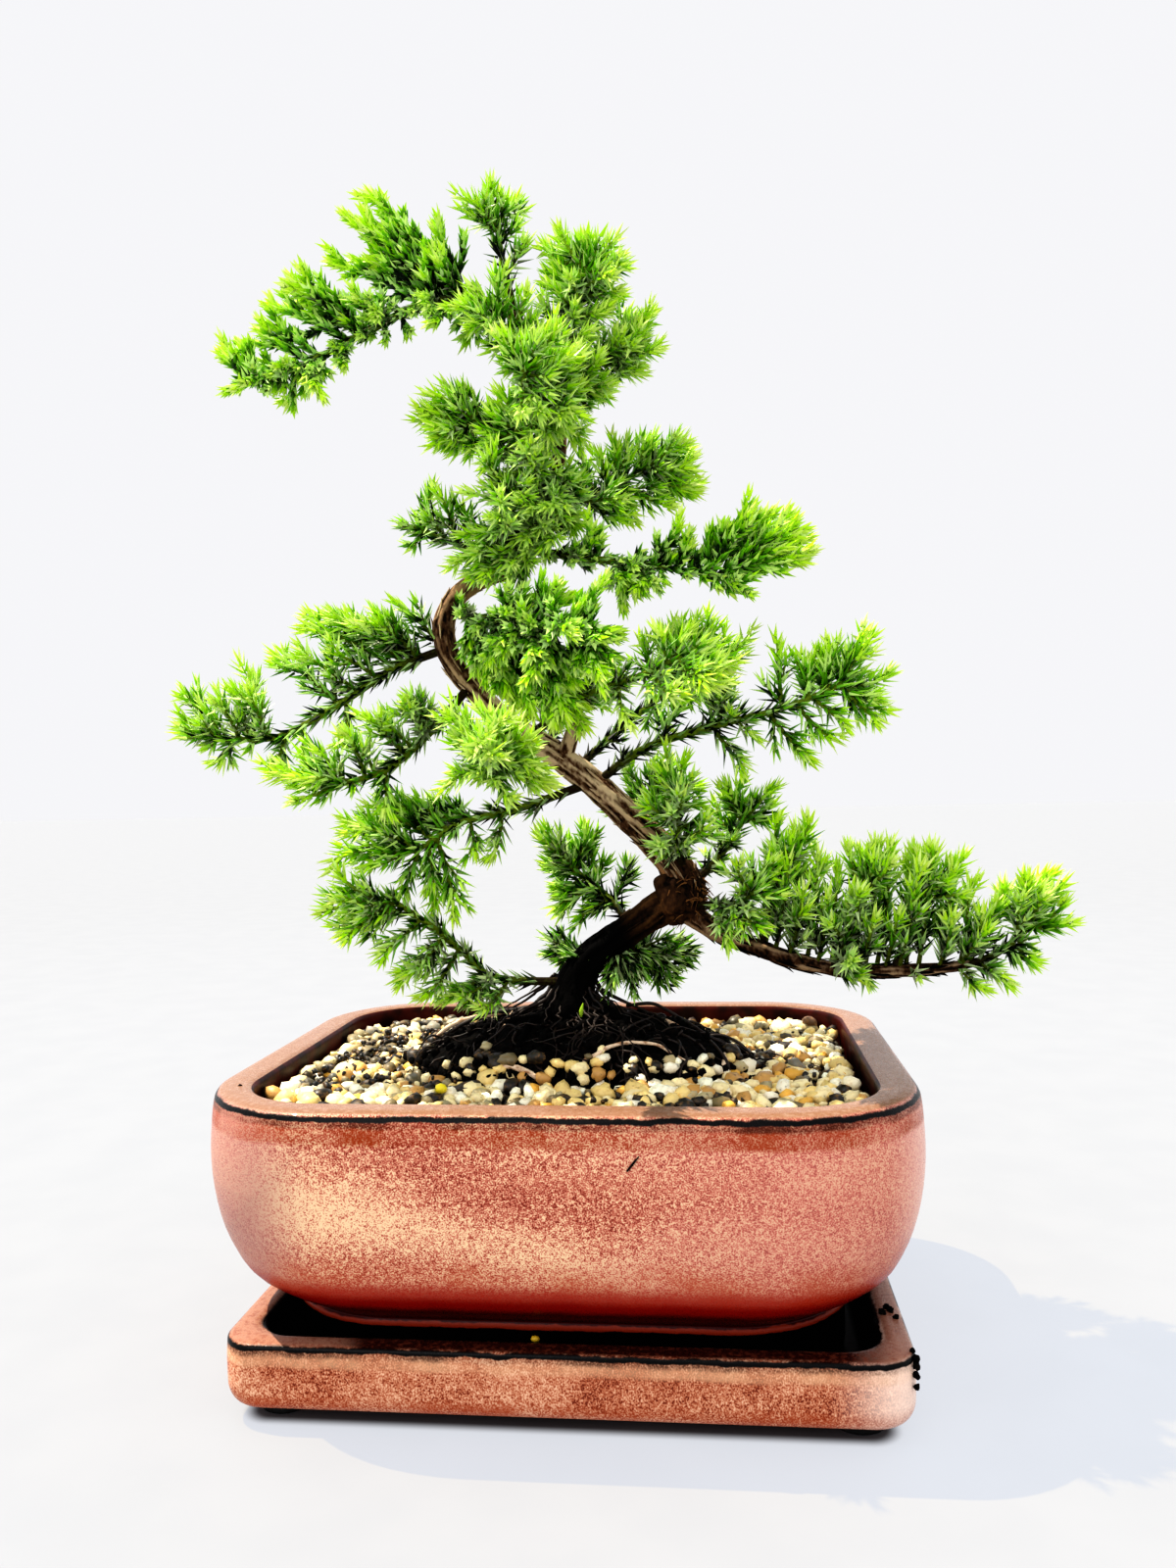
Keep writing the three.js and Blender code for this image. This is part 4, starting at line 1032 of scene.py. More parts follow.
@dataclass
class RubberFeet:
    """The four rubber feet under the tray, in millimetres."""

    radius: float = 6.4
    height: float = 2.7
    bottom_inset: float = 1.0
    draft: float = 0.35
    top_inset: float = 1.5
    edge: float = 0.6
    edge_points: int = 6
    x: float = 70.0
    y: float = 54.0
    shift_x: float = 1.6
    segments: int = 48

    def build(self) -> None:
        """Makes each foot as a turned profile: its radius is a function of its height."""
        material = MouldedRubber().material()
        profile = np.array([
            [0.0, self.radius - self.bottom_inset], [0.0, self.radius],
            [self.height, self.radius - self.draft], [self.height, self.radius - self.top_inset],
        ])
        rows = eased_profile(profile, np.full(2, self.edge), self.edge_points)
        angle = turns(self.segments)
        sides = itertools.product((("front", -1), ("back", 1)), (("left", -1), ("right", 1)))
        for (end_name, sign_y), (side_name, sign_x) in sides:
            z, radius = rows[:, :1], rows[:, 1:]
            x = self.shift_x + sign_x * self.x + radius * np.cos(angle)
            y = sign_y * self.y + radius * np.sin(angle)
            rings = from_pot(np.stack([x, y, np.broadcast_to(z, x.shape)], axis=-1))
            skin = Skin()
            skin.add(rings.reshape(-1, 3), grid_faces(len(rows), self.segments))
            skin.add_fan(rings[0], upward=False)
            skin.add_fan(rings[-1], upward=True)
            node = f"rubber_foot_{end_name}_{side_name}"
            seat(skin.to_object(f"{node}_moulded", [material], welded=True), [node])


@dataclass
class DripTray:
    """The glazed tray, in millimetres: a slab with a raised lip round a well."""

    half_x: float = 82.7
    half_y: float = 68.0
    corner: float = 9.0
    bottom_z: float = 3.0
    floor_z: float = 8.0
    top_z: float = 20.3
    lip: float = 7.5
    inner_corner: float = 10.0
    shift_x: float = 1.6
    arc_points: int = 14
    side_points: int = 10
    edge_points: int = 5
    wobble: float = 0.12
    wobble_size: float = 28.0

    def rings(self) -> np.ndarray:
        """Rings from under the tray, up its side, over the lip and down into the well.

        A row of the profile is a height, the inset from the outline and the radius of the corners. Each
        corner of the profile is rounded as far as reach says.

        Returns:
            The rings as (ring, point, 3).
        """
        profile = np.array([
            [self.bottom_z, 14.0, self.corner - 3], [self.bottom_z, 6.5, self.corner - 2],
            [self.bottom_z + 1.1, 2.0, self.corner - 1], [self.bottom_z + 4.4, 0.2, self.corner],
            [self.top_z - 5, 0, self.corner],
            [self.top_z - 0.6, 0.2, self.corner], [self.top_z, 1.4, self.corner - 1],
            [self.top_z + 0.1, self.lip - 2.2, self.inner_corner],
            [self.top_z - 1.0, self.lip - 0.1, self.inner_corner],
            [self.floor_z + 2, self.lip + 0.7, self.inner_corner],
            [self.floor_z, self.lip + 2.4, self.inner_corner - 1], [self.floor_z, 24, self.inner_corner - 2],
        ])
        reach = np.array([2.0, 2.2, 1.8, 4, 0.7, 0.9, 1.6, 1.4, 3, 2.4])
        return np.stack([
            rounded_ring((self.half_x - inset, self.half_y - inset), z, corner,
                         self.arc_points, self.side_points)
            for z, inset, corner in eased_profile(profile, reach, self.edge_points)
        ])

    def build(self) -> None:
        """Makes the tray: glaze outside and on the lip, and in the well a glaze darkened by wetness and
        painted shade.
        """
        rings = self.rings() + np.array([self.shift_x, 0, 0])
        wobble = self.wobble * soft_noise(rings.reshape(-1, 3), self.wobble_size, 31)
        above_floor = rings[..., 2] > self.floor_z + 2
        rings[..., 2] += np.where(above_floor, wobble.reshape(above_floor.shape), 0)
        rings = from_pot(rings)
        rows, columns = rings.shape[:2]
        top = int(np.argmax(rings[..., 2].mean(axis=1)))
        wet = np.repeat(np.arange(rows - 1) > top + self.edge_points, columns).astype(int)
        skin = Skin()
        skin.add(rings.reshape(-1, 3), grid_faces(rows, columns), finish=wet)
        skin.add_fan(rings[0], upward=False)
        skin.add_fan(rings[-1], upward=True, finish=1)
        # The well is painted near black: wetness and painted shade under the pot.
        well = WetAndShadedGlaze("wet_tray_well", "020101", "0a0302")
        piece = skin.to_object("tray_glazed", [TRAY_GLAZE.material(), well.material()], welded=True)
        seat(piece, ["tray"])


@dataclass
class Pot:
    """The glazed pot, in millimetres.

    A row of outside or inside is a height, the half width along X and the radius of the corners.
    """

    outside: Route = (
        (8.3, 70.2, 30), (9.3, 71.4, 30), (20.4, 71.5, 30), (21.2, 72.7, 30.5), (22.4, 72.7, 30.5),
        (23.2, 72.2, 31), (26.5, 76.8, 32), (32, 83, 33), (42, 87.5, 35), (52, 89.7, 36),
        (62, 90.6, 37), (72, 90, 36.5),
        (75.4, 89.5, 36), (76.9, 88.6, 35), (77.5, 86.6, 33.5),
    )
    inside: Route = (
        (77.5, 80.6, 25), (76.6, 79.0, 23), (70, 79, 22), (55, 81.5, 24), (38, 78, 26), (26, 69, 26),
        (16, 60, 24),
    )
    recess_z: float = 11.0
    recess_corner: float = 23.0
    foot_ring: float = 9.0
    drain_radius: float = 6.5
    drain_x: float = 36.0
    drain_points: int = 32
    arc_points: int = 16
    side_points: int = 22
    edge_points: int = 4
    sharp_edges: tuple[float, ...] = (0.6, 0.6, 0.8, 0.8, 0.6, 0.9, 0.9)
    soft_edge: float = 20.0
    wave: float = 0.15
    wave_size: float = 35.0
    wave_at_half_x: float = 90.0
    wet_and_shaded_within: float = 80.2

    def level(self, z: float, half_x: float, corner: float) -> np.ndarray:
        """Returns the ring of the pot's wall at one height."""
        half = (half_x, half_x - POT_DEPTH_OFFSET)
        return rounded_ring(half, z, corner, self.arc_points, self.side_points)

    def drain(self, side: int, z: float) -> np.ndarray:
        """Returns the outline of one drain hole at one height, counter-clockwise."""
        angle = turns(self.drain_points)
        x = side * self.drain_x + self.drain_radius * np.cos(angle)
        return np.column_stack([x, self.drain_radius * np.sin(angle), np.full(len(angle), z)])

    def build(self) -> None:
        """Makes the pot from its eased profile, with floor plates that leave the drain holes open."""
        bottom_z, bottom_half_x, _ = self.outside[0]
        recess = bottom_half_x - self.foot_ring
        profile = np.array([(self.recess_z, recess - 1.5, self.recess_corner - 1),
                            (bottom_z, recess, self.recess_corner), *self.outside, *self.inside])
        reach = np.full(len(profile) - 2, self.soft_edge)
        reach[:len(self.sharp_edges)] = self.sharp_edges
        eased = eased_profile(profile, reach, self.edge_points)
        rings = np.stack([self.level(*row) for row in eased])
        wave = self.wave * soft_noise(rings.reshape(-1, 3), self.wave_size, 32).reshape(rings.shape[:2])
        rings[..., :2] *= 1 + (wave / self.wave_at_half_x)[..., None]
        rings = from_pot(rings)
        rows, columns = rings.shape[:2]
        past_lip = np.arange(rows - 1) > int(np.argmax(eased[:, 0])) + self.edge_points
        wet = past_lip & (eased[:-1, 1] < self.wet_and_shaded_within)
        skin = Skin()
        skin.add(rings.reshape(-1, 3), grid_faces(rows, columns), finish=np.repeat(wet, columns).astype(int))
        floor_z = self.inside[-1][0]
        for ring, z, upward in ((rings[0], self.recess_z, False), (rings[-1], floor_z, True)):
            holes = [from_pot(self.drain(side, z)) for side in (-1, 1)]
            skin.add(*plate_with_holes(ring, holes, upward), finish=1)
        for side in (-1, 1):
            walls = from_pot(np.vstack([self.drain(side, z) for z in (floor_z, self.recess_z)]))
            skin.add(walls, grid_faces(2, self.drain_points), finish=1)
        # The pot's inside is painted dark maroon: wetness and painted shade under the rim.
        inner = WetAndShadedGlaze("wet_pot_wall", "4a1610", "220a06")
        piece = skin.to_object("pot_glazed", [POT_GLAZE.material(), inner.material()], welded=True)
        seat(piece, ["pot"])
        mesh_plastic = MeshPlastic().material()
        for side_name in ("left", "right"):
            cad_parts[f"drain_mesh_{side_name}"].material_slots[0].material = mesh_plastic


@dataclass
class SoilMound:
    """The soil, in millimetres: level under the gravel, an elliptic mound round the trunk.

    A row of bottom is as one of the pot's. A row of rough is a height, a width and a seed of noise.
    """

    flat_z: float = 68.0
    height: float = 18.5
    half_x: float = 52.0
    half_y: float = 30.0
    shoulder: float = 0.6
    trunk_radius: float = 8.0
    trunk_hole_z: float = 50.0
    bottom: Route = (
        (68, 78.6, 22), (55, 81.1, 24), (38, 77.6, 26), (26, 68.6, 26), (17.6, 60.6, 24),
    )
    points_around: int = 220
    rings_on_top: int = 70
    rough: Route = ((1.5, 9, 41), (0.8, 3.2, 42), (0.35, 1.4, 43))
    rough_full_height: float = 5.0
    sunk: float = 0.6
    crumbs: int = 950
    crumb_size: Pair = (0.5, 1.5)
    crumb_axes: Pair = (0.6, 1.2)
    crumb_reach: Pair = (0.2, 1.12)
    crumb_height: Pair = (-0.4, 1.3)
    crumb_on_gravel: float = 2.6

    def surface(self, x: np.ndarray, y: np.ndarray) -> np.ndarray:
        """Height of the soil: the flat height plus the mound's, which falls off with full shoulders.

        The mound's share of its height is one less the squared distance in its ellipse, to a power.

        Args:
            x: places along X from the pot's middle.
            y: places along Y.

        Returns:
            The heights above the table.
        """
        spread = (x / self.half_x) ** 2 + (y / self.half_y) ** 2
        return self.flat_z + self.height * np.maximum(0, 1 - spread) ** self.shoulder

    def wall(self, z: float, half_x: float, corner: float, angle: np.ndarray) -> np.ndarray:
        """Ring on the pot's wall, with its points at given compass angles.

        Args:
            z: height.
            half_x: half width along X.
            corner: corner radius.
            angle: the angles, in radians from 0 to a full turn.

        Returns:
            One point an angle.
        """
        outline = rounded_ring((half_x, half_x - POT_DEPTH_OFFSET), z, corner, 40, 60)[:, :2]
        turn = np.arctan2(outline[:, 1], outline[:, 0]) % (2 * math.pi)
        order = np.argsort(turn)
        reach = np.interp(angle, turn[order], np.hypot(*outline[order].T), period=2 * math.pi)
        return np.column_stack([reach * np.cos(angle), reach * np.sin(angle), np.full(len(angle), z)])

    def build(self) -> None:
        """Makes the body of the soil with its rough mound, and the crumbs that lie on it."""
        angle = turns(self.points_around)
        edge = self.wall(*self.bottom[0], angle)
        share = np.linspace(0, 1, self.rings_on_top)[:, None, None] ** 0.9
        start = np.column_stack([np.cos(angle), np.sin(angle), np.zeros(len(angle))]) * self.trunk_radius
        top = start * (1 - share) + edge * share
        x, y = top[..., 0], top[..., 1]
        flat = np.stack([x, y, np.zeros_like(x)], axis=-1).reshape(-1, 3)
        rough = sum(height * soft_noise(flat, size, seed) for height, size, seed in self.rough)
        on_mound = rising(self.surface(x, y), self.flat_z, self.rough_full_height)
        top[..., 2] = self.surface(x, y) + on_mound * (rough.reshape(x.shape) - self.sunk)
        walls = [self.wall(*row, angle) for row in self.bottom]
        hole = top[0].copy()
        hole[:, 2] = self.trunk_hole_z
        rings = from_pot(np.stack([hole, *top, *walls]))
        skin = Skin()
        skin.add(rings.reshape(-1, 3), grid_faces(len(rings), len(angle))[:, ::-1])
        skin.add_fan(rings[0], upward=True)
        skin.add_fan(rings[-1], upward=False)
        random = np.random.default_rng(44)
        turn = random.uniform(0, 2 * math.pi, self.crumbs)
        reach = random.uniform(*self.crumb_reach, self.crumbs) ** 0.7
        x, y = self.half_x * reach * np.cos(turn), self.half_y * reach * np.sin(turn)
        z = self.surface(x, y) + random.uniform(*self.crumb_height, self.crumbs)
        z += np.where(reach > 0.95, self.crumb_on_gravel, 0)
        points, faces = crumbs(np.column_stack([x, y, z]), self.crumb_size, self.crumb_axes, random)
        skin.add(from_pot(points), faces)
        seat(skin.to_object("soil_mound", [PottingSoil().material()], welded=True), ["soil"])


@dataclass
class GravelBed:
    """The washed gravel round the mound, in millimetres.

    A stray is one pebble that shows by itself: x, y, z, half length and colour. The pairs of dirt are
    where a change starts and how far it goes on; it goes to the left where that is negative.
    """

    soil: SoilMound
    spacing: float = 3.75
    rows_each_way: int = 21
    columns_each_way: int = 23
    jitter: float = 0.34
    front_mound_share: float = 0.9
    half_x: float = 78.2
    corner: float = 22.0
    wall_gap: float = 1.6
    layers: tuple[float, ...] = (69.6, 72.1)
    uneven: float = 0.6
    above_soil: float = 1.2
    half_length: Pair = (1.4, 3.6)
    half_width_share: Pair = (0.6, 0.92)
    half_height_share: Pair = (0.5, 0.8)
    shades: Pair = (0.9, 1.12)
    buried_painted_shade: float = 0.06
    dirty_shades: Pair = (0.04, 0.5)
    dirt_reach: float = 1.45
    dirt_most: float = 0.45
    dirt_near_y: Pair = (-8, 12)
    dirt_left_x: Pair = (-24, -20)
    dirt_left_y: Pair = (-42, 22)
    dirt_left_most: float = 0.62
    dirt_uneven: float = 0.3
    dirt_patch: float = 9.0
    spilt_crumbs: int = 3200
    spilt_half_y: float = 52.0
    spilt_half_z: float = 1.4
    spilt_size: Pair = (0.3, 1.1)
    spilt_axes: Pair = (0.6, 1.5)
    crumb: str = "0c0705"
    strays: tuple[tuple[float, float, float, float, str], ...] = (
        (-4.9, -58.9, 19.5, 1.2, "dcb62a"), (-31.2, -40.8, 74.8, 2.0, "f2e02c"),
        (74.0, -31.0, 74.4, 2.8, "f4e8c8"), (70.0, 50.0, 74.6, 2.8, "7a5a3c"),
    )
    colours: tuple[tuple[str, float], ...] = (
        ("f4e2b0", 0.32), ("ecd08a", 0.22), ("c89a58", 0.07), ("fbf2da", 0.18), ("b4a680", 0.06),
        ("7d7052", 0.05), ("1e160e", 0.13), ("e4b04c", 0.05),
    )

    def dirt(self, place: np.ndarray) -> np.ndarray:
        """Share of soil among the pebbles: most beside the mound at the left, none near the front wall.

        It falls off with the distance from the mound's edge, and with soft noise.

        Args:
            place: positions; their heights aren't used.

        Returns:
            The shares, from 0 to 1.
        """
        spread = np.hypot(place[:, 0] / self.soil.half_x, place[:, 1] / self.soil.half_y)
        near = np.clip(self.dirt_reach - spread, 0, self.dirt_most) * rising(place[:, 1], *self.dirt_near_y)
        left = rising(place[:, 0], *self.dirt_left_x) * rising(place[:, 1], *self.dirt_left_y)
        uneven = self.dirt_uneven * soft_noise(place * np.array([1, 1, 0]), self.dirt_patch, 53)
        return np.clip(np.maximum(near, left * self.dirt_left_most) + uneven, 0, 1)

    def places(self, height: float, random: np.random.Generator) -> np.ndarray:
        """Places of one layer: a honeycomb, each place moved a little by chance.

        Args:
            height: mean height of the layer.
            random: source of the chances.

        Returns:
            The places that lie between the mound and the wall.
        """
        step = self.spacing
        rows, columns = np.mgrid[-self.rows_each_way:self.rows_each_way + 1,
                                 -self.columns_each_way:self.columns_each_way + 1]
        x = (columns + 0.5 * (rows % 2)) * step
        y = rows * step * math.sqrt(3) / 2
        moved = random.uniform(-self.jitter, self.jitter, (x.size, 2)) * step
        place = np.column_stack([x.ravel(), y.ravel()]) + moved
        inner = np.array([self.half_x - self.wall_gap, self.half_x - POT_DEPTH_OFFSET - self.wall_gap])
        over = np.maximum(np.abs(place) - (inner - self.corner), 0)
        in_pot = np.hypot(over[:, 0], over[:, 1]) < self.corner
        half_y = self.soil.half_y * np.where(place[:, 1] < 0, self.front_mound_share, 1.0)
        spread = np.hypot(place[:, 0] / self.soil.half_x, place[:, 1] / half_y)
        off_mound = spread > random.normal(0.93, 0.06, len(place))
        place = place[in_pot & off_mound]
        flat = np.column_stack([place, np.zeros(len(place))])
        z = height + 0.8 * soft_noise(flat, 14, 51) + random.uniform(-self.uneven, self.uneven, len(place))
        lowest = self.soil.surface(place[:, 0], place[:, 1]) + self.above_soil
        return np.column_stack([place, np.maximum(z, lowest)])

    def build(self) -> None:
        """Makes the pebbles of both layers, the strays, and the soil that fell among them."""
        random = np.random.default_rng(52)
        skin = Skin()
        self.add_pebbles(skin, random)
        self.add_strays(skin, random)
        box = np.array([self.half_x - 6, self.spilt_half_y, self.spilt_half_z])
        fallen = random.uniform(-1, 1, (self.spilt_crumbs, 3)) * box
        fallen[:, 2] += self.layers[1] + 1.0
        fallen = fallen[self.dirt(fallen) > random.uniform(0.1, 0.9, self.spilt_crumbs)]
        points, faces = crumbs(fallen, self.spilt_size, self.spilt_axes, random)
        skin.add(from_pot(points), faces, tint=linear(self.crumb)[:3])
        seat(skin.to_object("gravel_pebbles", [RiverPebbles().material()]), ["gravel"])

    def add_pebbles(self, skin: Skin, random: np.random.Generator) -> None:
        """Adds the pebbles of both layers, each with its own size, tilt and colour.

        Their half lengths follow a gamma distribution: most are near its mean, and a few are large.

        Args:
            skin: the surfaces that they join.
            random: source of the chances.
        """
        centres = np.vstack([self.places(height, random) for height in self.layers])
        count = len(centres)
        longest = random.gamma(9, 0.255, count).clip(*self.half_length)
        sizes = longest[:, None] * np.column_stack([
            np.ones(count), random.uniform(*self.half_width_share, count),
            random.uniform(*self.half_height_share, count),
        ])
        points, faces = strewn(centres, sizes, 1.0, 0.2, random)
        shares = np.array([share for _, share in self.colours])
        own = random.choice(len(shares), count, p=shares / shares.sum())
        palette = np.array([linear(colour)[:3] for colour, _ in self.colours])
        tint = np.minimum(palette[own] * random.uniform(*self.shades, (count, 1)), 1.0)
        # Painted shade: the lower layer is darkened so that the gaps between the upper pebbles look dark.
        tint[centres[:, 2] < sum(self.layers) / 2] *= self.buried_painted_shade
        dirty = self.dirt(centres) > random.uniform(0, 1, count)
        tint[dirty] *= random.uniform(*self.dirty_shades, (int(dirty.sum()), 1))
        skin.add(from_pot(points), faces, tint=np.repeat(tint, len(points) // count, axis=0))

    def add_strays(self, skin: Skin, random: np.random.Generator) -> None:
        """Adds the strays, smoother than the others; skin and random are as in add_pebbles."""
        rows = np.array([stray[:4] for stray in self.strays])
        tint = np.array([linear(stray[4])[:3] for stray in self.strays])
        points, faces = strewn(rows[:, :3], rows[:, 3:] * np.array([[1.0, 0.85, 0.7]]), 0.4, 0.08, random)
        skin.add(from_pot(points), faces, tint=np.repeat(tint, len(points) // len(rows), axis=0))


@dataclass
class Wood:
    """Trunk, limb, stub, knot and surface roots, in millimetres in the tree's frame.

    A route's row is x, y, z and radius, with +Y away from the viewer. A root's row is the compass angle
    that it leaves at, its length, its radius at the trunk and how far it strays sideways. Strips of bark
    peel between two of the limb's millimetres. The knot's lumps and grain are a height and a width.
    """

    soil: SoilMound
    lower_trunk: Route = (
        (0, 0, 50.6, 7), (-1, 0, 62, 8), (-2, 0, 72, 8.8), (-2, 0, 80, 8.8), (-2, -1, 87, 8),
        (-1, -1, 92, 6.6), (0.5, -1.5, 98, 5.1), (4.4, -2.5, 103.5, 4.5), (9, -3, 107, 4.3),
        (14, -3.5, 110.6, 4.3), (21.5, -4, 115.3, 4.7), (29, -5, 119.5, 5), (33, -5, 122, 4.6),
    )
    upper_trunk: Route = (
        (33, -5, 119, 4.4), (30, -5, 127, 4.8), (24, -3, 135, 4.4), (15, -2, 144, 4.1), (5, -1, 154, 3.9),
        (-4, 0, 161, 3.7), (-13, 1, 167, 3.5), (-22, 1, 174, 3.3), (-29, 1, 182, 3.2), (-35, 0, 190, 3.2),
        (-37, 0, 198, 3.1), (-35, 1, 206, 3), (-29, 2, 212, 2.8), (-20, 3, 216, 2.6), (-11, 3, 223, 2.4),
        (-6, 3, 234, 2.2), (-3, 3, 247, 2), (-2, 4, 260, 1.9), (-4, 4, 273, 1.7), (-9, 4, 284, 1.6),
        (-17, 4, 293, 1.5), (-26, 3, 297, 1.3),
    )
    low_limb: Route = (
        (29, -5, 118, 3.4), (41, -8, 110, 2.7), (51, -11, 106, 2.4), (63, -14, 102, 2.2),
        (76, -16, 100, 2), (91, -18, 100, 1.8), (103, -20, 101, 1.5), (107, -20, 102, 1.2),
    )
    cut_stub: Route = ((-3, 0, 160, 2.6), (-1, -3, 165, 2.3), (0, -5, 168, 2), (0.4, -5.6, 169.4, 1.5))
    knot_centre: Triple = (30, -5, 121)
    knot_radii: Triple = (7.4, 6.4, 8.2)
    roots: Route = (
        (-172, 30, 2.6, 5), (-138, 26, 2.4, -4), (-95, 19, 3.0, 5), (-48, 24, 2.6, 6), (-8, 30, 2.8, -5),
        (40, 25, 2.4, 4), (95, 20, 2.6, -4), (145, 26, 2.4, 4),
    )
    root_points: int = 7
    root_start_z: float = 91.0
    root_end_z: float = 70.0
    root_tip_radius: float = 0.6
    damp_and_shade_below_z: float = 127.0
    damp_and_shade_span: float = 17.0
    pale_span: float = 20.0
    pale_below_z: float = 200.0
    pale_fade: float = 25.0
    pale_dry_limb: float = 0.55
    limb_step: float = 0.8
    least_radius: float = 0.3
    least_bark_radius: float = 2.2
    swirl_per_mm: float = 0.02
    lump_size: float = 5.5
    lump_share: float = 0.1
    plate_size: float = 1.15
    plate_length: float = 9.0
    plate_from: float = -0.15
    plate_steepness: float = 2.6
    plate_share: float = 0.12
    plate_most: float = 0.5
    fine_size: float = 0.6
    fine_length: float = 4.0
    fine_share: float = 0.02
    strips: int = 240
    strip_half_length: Pair = (1.6, 4.2)
    strip_lift: Pair = (0.1, 1.1)
    strip_radius: Pair = (0.18, 0.42)
    strip_sides: int = 4
    lower_strips: tuple[int, int | None] = (38, None)
    upper_strips: tuple[int, int] = (0, 150)
    limb_strips: tuple[int, int] = (4, -6)
    knot_rows_columns: tuple[int, int] = (34, 44)
    knot_lumps: Pair = (0.16, 4.0)
    knot_grain: Pair = (0.1, 1.3)
    knot_grain_flat: float = 0.4
    knot_damp_and_shade: float = 0.45
    knot_fibres: int = 120
    knot_fibre_way: Triple = (0.55, -0.35, 0.0)
    knot_fibre_length: Pair = (2.0, 5.0)
    knot_fibre_radius: Pair = (0.15, 0.4)

    def root_route(self, angle_deg: float, length: float, radius: float, wander: float) -> np.ndarray:
        """Route of a surface root: straight out from the trunk, with a sideways wave, on the soil.

        Args:
            angle_deg: compass angle that it leaves at.
            length: how far it goes.
            radius: radius at the trunk.
            wander: the most that it strays sideways.

        Returns:
            Rows of x, y, z and radius.
        """
        along = np.linspace(0, 1, self.root_points)
        turn = math.radians(angle_deg)
        sideways = wander * np.sin(math.pi * along * 1.3)
        x = along * length * math.cos(turn) - sideways * math.sin(turn)
        y = along * length * math.sin(turn) + sideways * math.cos(turn)
        thick = radius + (self.root_tip_radius - radius) * along**0.7
        falling = self.root_start_z + (self.root_end_z - self.root_start_z) * along
        resting = self.soil.surface(x, y) + 0.75 * thick
        z = np.where(along == 0, self.root_start_z, np.maximum(resting, falling))
        return np.column_stack([x, y, z, thick])

    def add_limb(self, skin: Skin, route: Sequence[Sequence[float]], sides: int, seed: int,
                 depth: float = 1.0, damp_and_shade_share: float = 1.0) -> None:
        """Adds a limb with bark: its radius swells in soft lumps and rises in long narrow plates.

        The plates are noise on an unrolled limb, read plate_length times slower along it than across it.

        Args:
            skin: the surfaces that the limb joins.
            route: rows of x, y, z and radius.
            sides: points round the limb.
            seed: picks the bark's pattern.
            depth: depth of the bark's relief as a share of the usual.
            damp_and_shade_share: how much of the dampness and painted shade it takes near the soil, from 0
                to 1.
        """
        smooth = smooth_route(route, self.limb_step)
        centres, radii = smooth[:, :3], np.maximum(smooth[:, 3:], self.least_radius)
        angle = turns(sides)
        run = np.cumsum(np.concatenate([[0], np.linalg.norm(np.diff(centres, axis=0), axis=1)]))
        swirl = angle[None] + self.swirl_per_mm * run[:, None]
        size = np.maximum(radii, self.least_bark_radius)
        around = np.stack([np.cos(swirl) * size, np.sin(swirl) * size,
                           np.broadcast_to(run[:, None], swirl.shape)], axis=-1).reshape(-1, 3)
        lumps = soft_noise(around, self.lump_size, seed)
        plates = soft_noise(around * np.array([1, 1, 1 / self.plate_length]), self.plate_size, seed + 1)
        fine = soft_noise(around * np.array([1, 1, 1 / self.fine_length]), self.fine_size, seed + 2)
        raised = np.clip((plates - self.plate_from) * self.plate_steepness, 0, 1)
        relief = (self.lump_share * lumps + self.fine_share * fine).reshape(swirl.shape) * radii
        plate_height = np.minimum(self.plate_most, self.plate_share * radii) * depth
        relief += (raised.reshape(swirl.shape) - 0.6) * plate_height
        points, quads, fans = tubes(centres[None], (radii + relief)[None], sides)
        height = np.concatenate([0.5 * raised + 0.25 + 0.2 * fine, [0.2, 0.2]])
        z = np.concatenate([np.repeat(centres[:, 2], sides), centres[[0, -1], 2]])
        pale = rising(z, self.damp_and_shade_below_z, self.pale_span)
        pale *= np.clip((self.pale_below_z - z) / self.pale_fade, 0.3, 1)
        pale = np.maximum(pale, self.pale_dry_limb * (1 - damp_and_shade_share))
        # Near the soil the bark is painted darker: dampness and painted shade.
        tint = np.column_stack([height, damp_and_shade_share * self.damp_and_shade(z), pale])
        skin.add(from_tree(points), quads, fans, tint=tint)

    def damp_and_shade(self, z: np.ndarray) -> np.ndarray:
        """Returns the dampness and painted shade of the bark at heights z: full at the soil, none above
        damp_and_shade_below_z.
        """
        return rising(z, self.damp_and_shade_below_z, -self.damp_and_shade_span)

    def add_knot(self, skin: Skin) -> None:
        """Adds the knot: an ellipsoid on a grid of angles, with rough fibrous lumps."""
        rows, columns = self.knot_rows_columns
        fall = np.linspace(0, math.pi, rows)[::-1, None]
        turn = turns(columns)[None]
        ball = np.stack([np.sin(fall) * np.cos(turn), np.sin(fall) * np.sin(turn),
                         np.broadcast_to(np.cos(fall), (rows, columns))], axis=-1).reshape(-1, 3)
        base = ball * np.array(self.knot_radii)
        flat = base * np.array([1, 1, self.knot_grain_flat])
        rough = sum(share * soft_noise(place, size, seed) for place, (share, size), seed in (
            (base, self.knot_lumps, 71), (flat, self.knot_grain, 72)))
        points = base * (1 + rough)[:, None] + np.array(self.knot_centre)
        count = len(points)
        # The knot takes part of the foot's dampness and painted shade.
        tint = np.column_stack([0.3 + 2.2 * rough, np.full(count, self.knot_damp_and_shade), np.zeros(count)])
        skin.add(from_tree(points), grid_faces(rows, columns), tint=tint)

